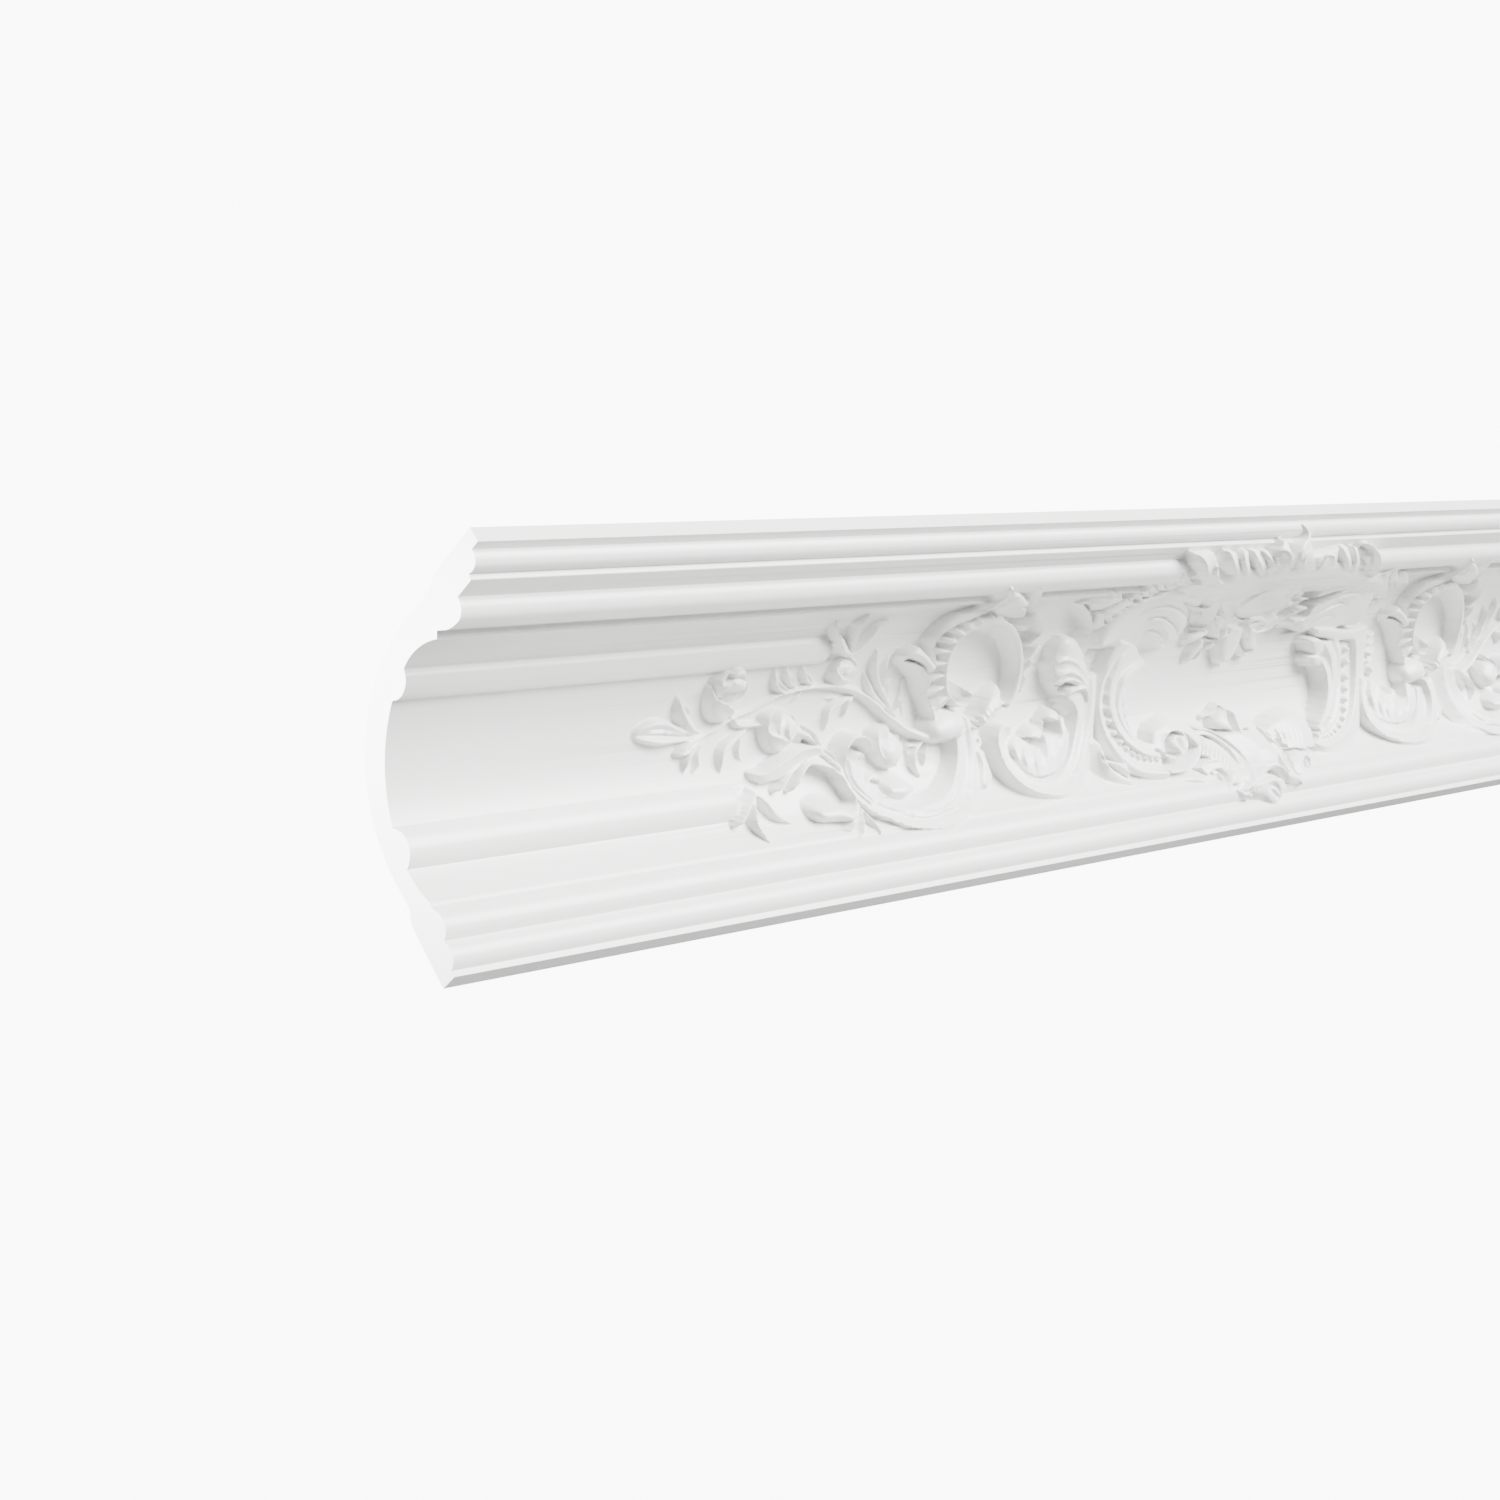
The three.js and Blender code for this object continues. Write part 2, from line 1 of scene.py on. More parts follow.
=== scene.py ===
import math
import bmesh
import bpy
import numpy as np
from mathutils import Matrix, Vector


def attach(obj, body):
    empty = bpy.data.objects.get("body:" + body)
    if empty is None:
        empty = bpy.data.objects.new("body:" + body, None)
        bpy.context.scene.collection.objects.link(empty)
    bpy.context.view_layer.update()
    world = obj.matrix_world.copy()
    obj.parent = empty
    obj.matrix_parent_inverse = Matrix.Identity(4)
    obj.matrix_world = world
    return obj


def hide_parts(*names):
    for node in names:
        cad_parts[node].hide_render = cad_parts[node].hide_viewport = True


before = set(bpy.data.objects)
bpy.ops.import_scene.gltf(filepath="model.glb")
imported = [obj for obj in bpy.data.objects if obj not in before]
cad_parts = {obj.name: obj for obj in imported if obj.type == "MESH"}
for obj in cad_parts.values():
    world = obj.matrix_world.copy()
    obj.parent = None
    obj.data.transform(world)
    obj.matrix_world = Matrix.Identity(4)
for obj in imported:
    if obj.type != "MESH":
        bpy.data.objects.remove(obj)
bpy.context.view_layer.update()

# ---- cornice length
# One length of crown moulding, a metre long, cast in a mould from rigid polyurethane foam.
# It has a hollow back, flat glue faces for wall and ceiling, and a skin of white factory primer.
# The carving is drawn over the cove as heights on a fine grid, x along the length from its left
# end and c across the cove from its middle, downwards; all places and heights are in mm.
# Uncarved places lie buried below the cove. A stroke is never narrower than twice LEAST_HALF, and
# the toe of its wall stands a little outside its edge.
GRID, BURIED, LEAST_HALF, TOE, MARGIN = 0.25, -3.0, 0.35, 0.4, 1.5
along = np.arange(97.0, 903.01, GRID)
across = np.arange(-75.0, 63.01, GRID)
carving = np.full((len(across), len(along)), BURIED)
shift = 0.0
turned_about = None


def laid(knots):
    """Places of one motif after its shift along the length or its turn about an axis."""
    if turned_about is None:
        return [(k[0] + shift,) + tuple(k[1:]) for k in knots]
    return [(2 * turned_about - k[0],) + tuple(k[1:]) for k in knots]


def between(a, b, c, d, t):
    """Smooth curve from b to c, with a before them and d after them."""
    return 0.5 * (2 * b + (c - a) * t + (2 * a - 5 * b + 4 * c - d) * t ** 2
                  + (3 * b - a - 3 * c + d) * t ** 3)


def eased(knots, spacing, closed=False):
    """Smooth curve through the knots, as closely spaced points."""
    k = np.asarray(knots, float)
    if closed:
        p = np.vstack([k[-1:], k, k[:2]])
    else:
        p = np.vstack([2 * k[0] - k[1], k, 2 * k[-1] - k[-2]])
    points = []
    for a, b, c, d in zip(p[:-3], p[1:-2], p[2:-1], p[3:]):
        n = max(2, int(np.hypot(*(c - b)[:2]) / spacing))
        points.append(between(a, b, c, d, np.linspace(0, 1, n, endpoint=False)[:, None]))
    if not closed:
        points.append(p[-2:-1])
    return np.vstack(points)


def around(x, c, reach, xs, cs):
    """Slices of the places xs and cs that lie within reach of x and c, which may be ranges."""
    i0, i1 = np.searchsorted(xs, [np.min(x) - reach, np.max(x) + reach])
    j0, j1 = np.searchsorted(cs, [np.min(c) - reach, np.max(c) + reach])
    return slice(j0, j1), slice(i0, i1)


def stroke_heights(section, knots, closed, wall):
    """Heights of a stroke whose knots are (x, c, half width, height), and the window they lie in."""
    p = eased(laid(knots), 0.3, closed)
    w = np.maximum(p[:, 2], LEAST_HALF)
    window = around(p[:, 0], p[:, 1], w.max() + MARGIN, along, across)
    xs, cs = along[window[1]], across[window[0]]
    gx, gc = np.meshgrid(xs, cs)
    way = np.gradient(p[:, :2], axis=0)
    way /= np.maximum(np.hypot(way[:, 0], way[:, 1])[:, None], 1e-9)
    outside = np.full(gx.shape, np.inf)
    nearest = np.zeros(gx.shape, int)
    for k, (x, c) in enumerate(p[:, :2]):
        spot = around(x, c, w[k] + MARGIN, xs, cs)
        distance = np.hypot(gx[spot] - x, gc[spot] - c) - w[k]
        closer = distance < outside[spot]
        outside[spot] = np.where(closer, distance, outside[spot])
        nearest[spot] = np.where(closer, k, nearest[spot])
    half = w[nearest]
    side = way[nearest, 0] * (gc - p[nearest, 1]) - way[nearest, 1] * (gx - p[nearest, 0])
    if turned_about is not None:
        side = -side
    q = np.sign(side) * np.minimum((outside + half) / half, 1.0)
    rise = np.clip((TOE - outside) / wall, 0, 1) ** 0.7
    return window, np.where(outside > TOE, BURIED, p[nearest, 3] * section(q) * rise)


def line(section, *knots, closed=False, wall=1.0):
    """Raises a stroke from the cove."""
    window, heights = stroke_heights(section, knots, closed, wall)
    carving[window] = np.maximum(carving[window], heights)


def cut(section, *knots, closed=False, wall=1.0):
    """Cuts a stroke into what has been raised."""
    window, depths = stroke_heights(section, knots, closed, wall)
    carving[window] -= np.maximum(depths, 0)


def rank(section, halves, rises, *strokes, wall=1.0):
    """Like strokes side by side, each given by the height of its first place and by its places."""
    for height, *spots in strokes:
        knots = [(x, c, half, height + rise) for (x, c), half, rise in zip(spots, halves, rises)]
        line(section, *knots, wall=wall)


def beads(*places):
    """String of separate beads, each with its x, c, half width and height."""
    for x, c, half, height in places:
        line(bead, (x, c, half, height), (x + 0.2, c, half, height), wall=0.5)


def face(*curves, bulge=0.0, flute=(0, 0.0), smooth=False):
    """Surface stretched from curve to curve; the knots are (x, c, height)."""
    fine = 0.13
    rows = [eased(laid(curve), 0.5) for curve in curves]
    longest = max(np.hypot(*np.diff(row[:, :2], axis=0).T).sum() for row in rows)
    t = np.linspace(0, 1, int(longest / fine) + 2)
    rows = np.array([np.stack([np.interp(t, np.linspace(0, 1, len(row)), row[:, j]) for j in range(3)], 1)
                     for row in rows])
    rows = np.concatenate([2 * rows[:1] - rows[1:2], rows, 2 * rows[-1:] - rows[-2:-1]])
    for a, b, c, d in zip(rows[:-3], rows[1:-2], rows[2:-1], rows[3:]):
        u = np.linspace(0, 1, int(np.hypot(*(c - b)[:, :2].T).max() / fine) + 2)[:, None, None]
        p = between(a, b, c, d, u) if smooth else b * (1 - u) + c * u
        swell = np.sin(np.pi * u[..., 0])
        heights = p[..., 2] + bulge * swell
        if flute[0]:
            waves = 0.5 + 0.5 * np.cos(2 * np.pi * flute[0] * t)[None]
            heights = heights - flute[1] * waves * np.clip(swell, 0, 1) ** 0.5
        i = np.rint((p[..., 0] - along[0]) / GRID).astype(int)
        j = np.rint((p[..., 1] - across[0]) / GRID).astype(int)
        on = (i >= 0) & (i < len(along)) & (j >= 0) & (j < len(across))
        np.maximum.at(carving, (j[on], i[on]), heights[on])


# cross-sections of a stroke, as the share of its height from one edge, q = -1, to the other
def table(*pairs):
    """Section that eases from one given share to the next."""
    places, shares = np.array(pairs).T

    def section(q):
        i = np.clip(np.searchsorted(places, q) - 1, 0, len(places) - 2)
        u = np.clip((q - places[i]) / (places[i + 1] - places[i]), 0, 1)
        u = u * u * (3 - 2 * u)
        return shares[i] * (1 - u) + shares[i + 1] * u
    return section


def dome(q):
    """Full round with steep sides."""
    return np.maximum(1 - np.abs(q) ** 2.4, 0) ** 0.55


def soft(q):
    """Low round that runs out on both sides."""
    return np.maximum(1 - q * q, 0)


def bud(q):
    """Half-round."""
    return np.sqrt(np.maximum(1 - q * q, 0))


def keel(q):
    """Ridge between two sloping sides."""
    return 1 - 0.6 * np.abs(q) ** 1.2


def gouge(depth, rim=0.8):
    """Hollow between two rims."""
    return lambda q: 1 - depth * (1 - np.minimum(np.abs(q) / rim, 1) ** 2.5)


def tilt(low, power, side, lip):
    """Slope up to a lip on one side."""
    def section(q):
        u = np.clip((side * q + 1) / 2, 0, 1)
        return low + (1 - low) * u ** power + lip * np.exp(-((u - 0.9) / 0.09) ** 2)
    return section


trough = table((-1, 0.95), (-0.7, 1), (0, 0.5), (0.7, 1), (1, 0.95))
vein = table((-1, 0.55), (-0.45, 1), (-0.08, 0.8), (0, 0.55), (0.08, 0.8), (0.45, 1), (1, 0.55))
blade = table((-1, 0.7), (-0.2, 0.95), (0.5, 1), (1, 0.85))
bead = table((-1, 0.5), (-0.8, 0.76), (-0.45, 0.94), (0, 1), (0.45, 0.94), (0.8, 0.76), (1, 0.5))
pleat = table((-1, 0.72), (-0.4, 0.95), (0.2, 1), (1, 0.72))

# ---- spray, calyxes and acanthus
# A spray of roses, buds and narrow leaves grows out of an acanthus, whose ribbed channel swings up
# to the ring, and a calyx ends each astragal. All are drawn for the left end and again, turned
# about the middle, for the right end.
MIDDLE = 500.0
for turned_about in (None, MIDDLE):
    # stems, leaves and roses
    line(dome, (143.1, 8.2, 0.89, 3), (154.9, 6.2, 1, 3.5), (165.7, 2.3, 0.86, 4), (176.7, -0.1, 0.77, 4),
         (187.7, -3.9, 0.83, 4), (200.7, -6.1, 1.09, 4), (212.7, -6.7, 1.28, 4), (225.6, -5.5, 1.59, 4.2),
         (237.5, -2.5, 1.75, 4.5), (247.3, 3, 1.69, 5), (256.1, 9, 1.87, 5.5), (265.9, 14.4, 2.09, 6),
         (277.6, 18.4, 2.17, 6.5))
    line(dome, (163.9, 1.7, 0.89, 3.5), (168.9, 5.2, 1.29, 3.5), (177.9, 5.8, 1.23, 3.5),
         (184.9, 6.2, 0.92, 3.5))
    line(trough, (113.8, 6, 0.32, 1.5), (117.9, 4.8, 2.78, 3.5), (125.5, 4.7, 4.84, 4.5),
         (134.7, 6.3, 3.19, 4), (146.1, 8.2, 1.19, 3))
    line(soft, (117.1, 4.6, 0.58, 3.2), (126.6, 4.5, 1.14, 4.2), (138.9, 6.6, 0.79, 3.6))
    line(keel, (148.1, 6.7, 0.69, 3), (141.3, 3.4, 2.61, 5), (137.1, -1.5, 2.92, 5.5),
         (135.5, -5.9, 0.98, 4.5), (135.8, -9.2, 0.22, 2.5))
    line(soft, (145.9, 6.2, 0.44, 3.5), (142.5, 1.1, 0.61, 4.5), (141, -3.4, 0.66, 4.5))
    line(vein, (152.1, 7.7, 0.44, 3), (144.7, 9.7, 1.74, 4), (138.5, 12.6, 2.11, 4.5),
         (134.1, 13.7, 0.33, 3))
    line(vein, (151.1, 8.2, 0.44, 3), (143.6, 12.6, 1.16, 4.2), (139.5, 16.5, 0.98, 4.5),
         (138.6, 20.2, 0.33, 3))
    line(vein, (151.1, 9.2, 0.44, 3), (146.4, 14.2, 0.9, 3.5), (145.4, 18.2, 0.82, 3.5),
         (143.3, 20.8, 0.22, 2.5))
    line(vein, (174.1, 7, 0.44, 3), (165.7, 10.6, 1.54, 4), (159.3, 13.5, 1.2, 5), (157.5, 17.6, 0.98, 4.5),
         (157.6, 21.7, 0.28, 3))
    line(vein, (173.1, 8.2, 0.44, 3), (168.9, 12.2, 0.9, 3.5), (168.1, 16.2, 0.77, 3),
         (170.6, 18.4, 0.22, 2))
    line(trough, (197.9, -4.8, 0.65, 3.5), (191, -7.5, 1.97, 4.5), (186.8, -11, 0.98, 5),
         (185.7, -16.4, 0.33, 4))
    line(trough, (200.9, -6, 0.39, 3.5), (196, -9.9, 1.32, 4.5), (192.8, -13, 0.94, 5),
         (191.2, -17.2, 0.33, 4))
    line(trough, (211.9, -6.8, 0.55, 3.5), (206, -9.9, 1.43, 4.5), (202.5, -13, 0.94, 5),
         (200.5, -17.2, 0.33, 4))
    line(keel, (205.1, -4.8, 0.39, 3), (201.1, -2.8, 0.77, 3), (197.6, -0.1, 0.22, 2))
    line(trough, (261.5, 9.1, 0.55, 4.5), (251.6, -1.5, 0.94, 5.5), (245.6, -9.1, 1.06, 6.5),
         (243.1, -15.1, 0.98, 6.5), (243.8, -20, 0.33, 5))
    line(keel, (255.7, 3.1, 0.55, 4), (251.3, -5, 0.82, 5), (250.6, -12, 0.86, 5.5),
         (253.2, -16.9, 0.28, 4))
    line(trough, (254.7, 4.6, 0.59, 4), (246.5, -1.4, 1.16, 4.5), (242.3, -6, 0.86, 5),
         (239.9, -10.5, 0.28, 4))
    line(keel, (257.1, 3.2, 0.44, 3), (255.9, -3.8, 0.66, 3.5), (259.4, -7.7, 0.22, 2.5))
    line(trough, (236.9, -1.8, 0.44, 3.5), (227.5, 0.5, 1.19, 4.5), (220.6, 3, 0.98, 5.5),
         (218.9, 7, 0.9, 5), (218.3, 10.9, 0.28, 4))
    line(keel, (235.9, -1.8, 0.44, 3.5), (231.6, 1.6, 0.9, 4.2), (229.8, 5.4, 0.66, 3.8),
         (231.6, 6.6, 0.22, 2))
    line(keel, (227.1, -1.8, 0.28, 3), (222.7, -1.3, 0.67, 4), (218.6, -1.3, 0.21, 3))
    line(vein, (280.7, 16.1, 0.55, 4), (274.3, 19.5, 0.98, 5), (268.1, 23, 1.06, 5.5), (266.3, 28, 0.9, 5),
         (269.4, 32.7, 0.28, 3.5))
    line(vein, (280.7, 17.1, 0.55, 4), (277.5, 21.1, 0.9, 4.5), (274.5, 25.1, 0.86, 4.5),
         (274.6, 28.7, 0.28, 3))
    line(keel, (272.5, 21.1, 0.83, 4.5), (266.3, 21, 0.66, 5), (265.3, 25.1, 0.28, 4))
    line(keel, (261.1, 7.2, 0.33, 3), (263.2, 3.1, 0.82, 4), (264.1, -2.3, 0.22, 3))
    line(keel, (267.1, 9.2, 0.33, 3), (264.3, -2.8, 0.77, 3.5), (267.1, -7.8, 0.22, 3))
    line(tilt(0.6, 1, 1, 0.25), (164.1, 0.5, 0.97, 5.5), (156.8, -0.7, 4.07, 7.2), (151.6, -4.7, 2.07, 7.6),
         (150.3, -10.5, 0.66, 6))
    line(tilt(0.6, 1, -1, 0.2), (160.2, -2.2, 1.29, 7.5), (166.9, -5.7, 1.22, 7), (169.4, -11.1, 0.94, 6.5))
    line(tilt(0.55, 1, 1, 0.25), (154.5, -7.3, 1.02, 8), (152.3, -12.3, 1.18, 8.6), (156, -16.6, 0.82, 7.5))
    line(tilt(0.55, 1, -1, 0.2), (161.6, -7.3, 1.1, 8), (166.6, -11.9, 1.14, 8), (164.1, -16.6, 0.82, 7.2))
    line(dome, (154.8, -11.3, 2.32, 8.4), (159.7, -12, 4.21, 8.8), (163.9, -10.8, 3, 8.2))
    line(dome, (157.4, -15.9, 1.33, 9.4), (161, -16.4, 2.6, 9), (163.8, -14.3, 0.82, 8.4))
    line(dome, (157.5, -12.8, 1.39, 9.6), (160.3, -12, 0.82, 9.6), (162.5, -13.4, 0.66, 9.2))
    line(dome, (185.6, 8.9, 4.34, 6.5), (191.2, 7.8, 6.26, 7.5), (195.6, 7.9, 4.26, 6.5))
    line(tilt(0.5, 1, 1, 0.2), (195.9, 13.4, 1.15, 6), (187.3, 13.8, 3.39, 7.4), (181.6, 9.3, 1.26, 8),
         (182.6, 3.1, 1.02, 8), (189, 0.4, 0.44, 7))
    line(tilt(0.55, 1, 1, 0.2), (190.9, 13.7, 0.77, 8.2), (186.6, 9.6, 0.98, 9), (187.2, 4.6, 0.98, 9),
         (191.6, 1.1, 0.44, 8))
    line(tilt(0.55, 1, -1, 0.2), (191.9, 13.1, 0.82, 8.2), (197.4, 10.4, 0.94, 7.6),
         (197.3, 4.4, 0.94, 7.4), (193.8, 1.6, 0.44, 7))
    line(dome, (191.8, 5, 0.77, 9.4), (190.4, 8.5, 0.82, 9.8), (192.8, 11.8, 0.66, 9))
    line(dome, (220.3, -12.4, 3.15, 5), (224.9, -12.6, 4.99, 5.8), (229.3, -12.4, 3.08, 5))
    line(tilt(0.5, 1, 1, 0.2), (228.8, -7.4, 1.18, 5.2), (221.2, -8.7, 2.07, 6.6), (218.2, -13.2, 0.98, 7),
         (221.9, -17.7, 0.66, 6.4))
    line(tilt(0.6, 1, -1, 0.15), (224.2, -7.6, 0.66, 5.2), (229.9, -9.4, 0.88, 5.8),
         (230.9, -14.7, 0.88, 6), (226.3, -18.3, 0.55, 6))
    line(dome, (223.7, -11.8, 0.8, 7.2), (226.1, -12.4, 0.8, 7.2))
    line(dome, (246.6, 18.7, 5.17, 8), (250.6, 20, 7.79, 9), (255, 20.3, 4.81, 8))
    line(tilt(0.55, 1, 1, 0.25), (249.4, 27.2, 0.77, 7), (243.2, 21, 1.02, 9.4), (243.7, 14.2, 0.98, 9.6),
         (249.2, 11.3, 0.5, 8.4))
    line(tilt(0.55, 1, 1, 0.25), (253, 27.3, 0.66, 8), (248.3, 20.5, 0.94, 10.2), (248.7, 14.7, 0.9, 10.2),
         (253.4, 11.9, 0.5, 8.4))
    line(dome, (246.5, 26.5, 0.44, 8), (249.5, 24.2, 0.63, 9.2), (253.5, 19.2, 0.44, 8.8))
    line(dome, (249.6, 26.2, 0.44, 7.6), (252.6, 23.2, 0.63, 8.7), (256, 18.2, 0.44, 8))
    line(dome, (252.6, 25.8, 0.44, 7.2), (255.7, 22.1, 0.63, 8.2), (258.5, 17.2, 0.44, 7.2))
    line(dome, (255.7, 25.5, 0.44, 6.8), (258.8, 21.1, 0.63, 7.7), (261.1, 16.2, 0.44, 6.4))
    # the three-lobed calyx at the end of each astragal
    line(tilt(0.5, 1, -1, 0.2), (224.4, -19.6, 1.24, 7), (215.6, -24.4, 2.79, 9), (208.4, -30.4, 1.02, 9.4),
         (207.1, -34.3, 0.33, 8.6))
    line(tilt(0.5, 1, -1, 0.2), (225.4, -19.6, 0.77, 7), (222, -27.4, 1.22, 9.4), (220.1, -33.4, 1.1, 9.6),
         (222.2, -37.3, 0.44, 8.6))
    line(tilt(0.55, 1, 1, 0.2), (225.4, -19.6, 0.77, 7), (230, -25.9, 1.18, 8), (233, -31.3, 0.94, 8),
         (240.4, -32.6, 0.33, 7))
    line(tilt(0.5, 1, 1, 0.2), (169.9, 30.5, 0.77, 6), (163.6, 34.1, 1.1, 8), (158, 37.7, 1.02, 8),
         (153.8, 40.2, 0.33, 7))
    line(tilt(0.5, 1, 1, 0.2), (170.3, 30.5, 0.66, 6), (165.8, 35.7, 0.98, 8), (163.4, 40.3, 0.9, 8),
         (166.2, 45.9, 0.28, 6.5))
    line(tilt(0.6, 1, -1, 0.2), (169.5, 29.6, 0.66, 5.5), (173.5, 33.9, 1.32, 6), (176.9, 38.6, 1.23, 5),
         (183.9, 41.6, 0.43, 3.5))
    # the acanthus: curled leaves with gouged and rolled lobes
    line(tilt(0.55, 0.8, 1, 0.12), (211, 17.7, 1.74, 8), (200.8, 18.3, 3.37, 8.5), (192, 20.7, 3.65, 8),
         (183.4, 23.8, 3.4, 7), (176.9, 24.9, 2.23, 6), (171.8, 23.6, 0.5, 5))
    line(tilt(0.55, 0.8, -1, 0.12), (209, 18.7, 0.86, 8), (200, 22.7, 1.14, 8), (193.2, 28.2, 1.06, 7.5),
         (189.9, 31.5, 0.33, 6))
    line(tilt(0.55, 0.8, -1, 0.12), (201, 19.7, 0.86, 8), (192.3, 23.8, 1.06, 7.4),
         (185.6, 28.9, 0.98, 6.5), (182.1, 30.8, 0.33, 5.5))
    line(tilt(0.5, 1, -1, 0.15), (216.8, 22.7, 0.82, 8.5), (209.8, 17.1, 1.22, 8.5),
         (205.8, 12.3, 1.62, 8.5), (201.6, 11.1, 0.86, 8), (201.4, 14.8, 0.33, 7))
    line(keel, (213, 17.7, 0.55, 8), (208.3, 11.7, 0.86, 8.5), (206.4, 8.4, 0.28, 7))
    line(tilt(0.35, 1.2, 1, 0.12), (195.9, 26.4, 0.44, 6), (200.2, 21.7, 0.9, 8.5),
         (207.4, 20.2, 2.79, 9.5), (215.1, 24.5, 1.7, 10), (220.7, 31.5, 1.14, 10),
         (220.4, 38.6, 1.06, 9.5), (212.6, 41.6, 1.65, 9), (206.8, 39.7, 0.96, 8.5))
    line(gouge(0.4), (196.9, 24.9, 0.55, 6), (204, 17.7, 0.9, 8), (212.6, 18.6, 2.04, 9),
         (220.4, 26.6, 0.98, 9.5), (226.6, 36.6, 0.94, 9), (234.2, 43.8, 0.9, 7.5))
    line(soft, (213.8, 41.2, 3, 8.5), (205.8, 39.1, 4.54, 8.5), (199, 39.1, 3.66, 8), (196.4, 38.5, 0.8, 6))
    line(dome, (206.4, 37.1, 0.66, 9.4), (208.4, 39.2, 1.09, 9.4), (212, 39.2, 0.67, 9))
    line(tilt(0.55, 1, 1, 0.1), (222, 38.3, 0.82, 8), (217.2, 42.8, 1.18, 7.5), (212.4, 45.4, 0.94, 7),
         (208.9, 46.3, 0.28, 6))
    line(tilt(0.55, 1, 1, 0.1), (222.6, 39.7, 0.82, 8), (219.4, 44.8, 1.02, 7), (214.5, 49, 0.28, 5.5))
    line(tilt(0.55, 1, 1, 0.1), (222, 38.7, 0.77, 8), (225.4, 43.8, 1.14, 7), (227.1, 49, 0.44, 5.5))
    line(tilt(0.45, 1, -1, 0.12), (228.4, 37.6, 1.02, 9.5), (221.5, 30.1, 1.22, 10), (221.1, 21, 1.42, 11),
         (227.6, 15, 2.02, 11.2), (234.9, 15.9, 2.29, 10.5), (240.6, 21, 0.33, 9))
    line(tilt(0.3, 1, -1, 0.1), (231.6, 38.6, 0.9, 9), (227, 31.6, 1.02, 9.5), (227.1, 25.5, 0.98, 10),
         (232.5, 21.1, 0.77, 10), (237.6, 22.6, 0.48, 9))
    line(gouge(0.35), (234.4, 38.8, 0.55, 7), (232.4, 33.7, 0.9, 8), (234.4, 30.1, 0.94, 8.5),
         (239, 29.7, 1.39, 8), (242, 32.3, 0.28, 7))
    line(keel, (236.4, 38.2, 0.44, 7), (239.3, 36.8, 1.1, 7.4), (242.9, 38.5, 0.28, 6))
    line(soft, (244.2, 34.8, 4.12, 7.5), (250.5, 34.7, 5.38, 8), (256.4, 35.2, 2.87, 7))
    line(gouge(0.55, 0.86), (224.4, 27.6, 0.94, 9.5), (229, 36, 1.1, 9), (238, 42.7, 3.07, 8),
         (253.4, 46, 3.32, 7), (271.4, 46.2, 3.02, 7), (287.3, 41.8, 1.65, 7.2), (297.2, 31.8, 1.3, 7.6),
         (301, 19.7, 1.22, 8))
    line(tilt(0.25, 1.4, 1, 0.12), (235.6, 36.9, 0.71, 6.5), (243.6, 41.3, 2, 6.5),
         (257.6, 42.9, 2.73, 6.5), (273.5, 40.9, 2.62, 6.8), (286.3, 33.8, 1.82, 7.4), (293, 24.7, 1.3, 8),
         (293.8, 16.7, 0.98, 8.5))
    # the ribbed channel that swings from the acanthus up to the ring
    seam_1 = ((223.3, 21.4, 8.5), (223.4, 28.5, 8), (228.4, 35.1, 7.5), (239.5, 40.4, 6.5), (254, 42, 6),
              (268.8, 40.9, 6.2), (281.1, 36.3, 6.8), (289.1, 27.5, 7.8), (291.3, 19.4, 8.5),
              (290.8, 13.2, 9))
    face([(244.4, 29.6, 0), (243.9, 33.4, 0.5), (245.3, 35.8, 1), (251.1, 38.7, 1.2), (261.1, 39.8, 1.2),
         (271.4, 38.3, 1), (281.4, 33.1, 1), (288.4, 26.3, 1), (289.3, 20, 2), (288.1, 14.5, 4)], seam_1,
         bulge=-0.6)
    seam_2 = ((216.9, 23.5, 8), (219.4, 32.6, 7.5), (227.5, 40.9, 6.5), (242.5, 46.3, 5.5),
              (258.1, 47.7, 5), (274.9, 46.6, 5.2), (289.2, 41.6, 5.8), (298.1, 31.8, 6.8),
              (300.9, 19.5, 8), (299.3, 11.3, 8.5))
    face(seam_1, [(222, 25.9, 6.5), (224, 33, 6), (231, 39.6, 5.5), (243.6, 44, 4.5), (258.1, 45.5, 4),
         (273.9, 44.5, 4.2), (287.3, 39.3, 4.8), (295.2, 30.1, 5.8), (298, 19.9, 6.5), (296.9, 13.7, 7)],
         seam_2, smooth=True)
    face(seam_2, [(224.4, 25.6, 0), (225.9, 35.1, 0), (232.4, 43.6, 0), (246.9, 49, 0.5),
         (262.9, 50.4, 0.5), (280.9, 49.4, 0.5), (296.9, 44.4, 0.5), (307.4, 34.3, 1), (310.3, 21, 2),
         (307.2, 11.8, 3)])
    line(dome, (223.1, 21.3, 0.9, 8.8), (223.1, 28.4, 0.9, 8.2), (228.1, 35, 0.9, 7.8),
         (239.2, 40.3, 0.9, 6.8), (253.7, 41.9, 0.9, 6.2), (268.5, 40.9, 0.9, 6.5), (280.9, 36.2, 0.9, 7),
         (288.8, 27.5, 0.9, 8.1), (291.1, 19.3, 0.9, 8.8), (290.5, 13.2, 0.9, 9.2))
    line(dome, (216.6, 23.4, 0.8, 8.2), (219.2, 32.6, 0.8, 7.7), (227.3, 40.8, 0.8, 6.7),
         (242.3, 46.3, 0.8, 5.7), (257.9, 47.6, 0.8, 5.2), (274.6, 46.6, 0.8, 5.4), (289, 41.5, 0.8, 6),
         (297.9, 31.7, 0.8, 7), (300.6, 19.4, 0.8, 8.2), (299.1, 11.3, 0.8, 8.7))
turned_about = None

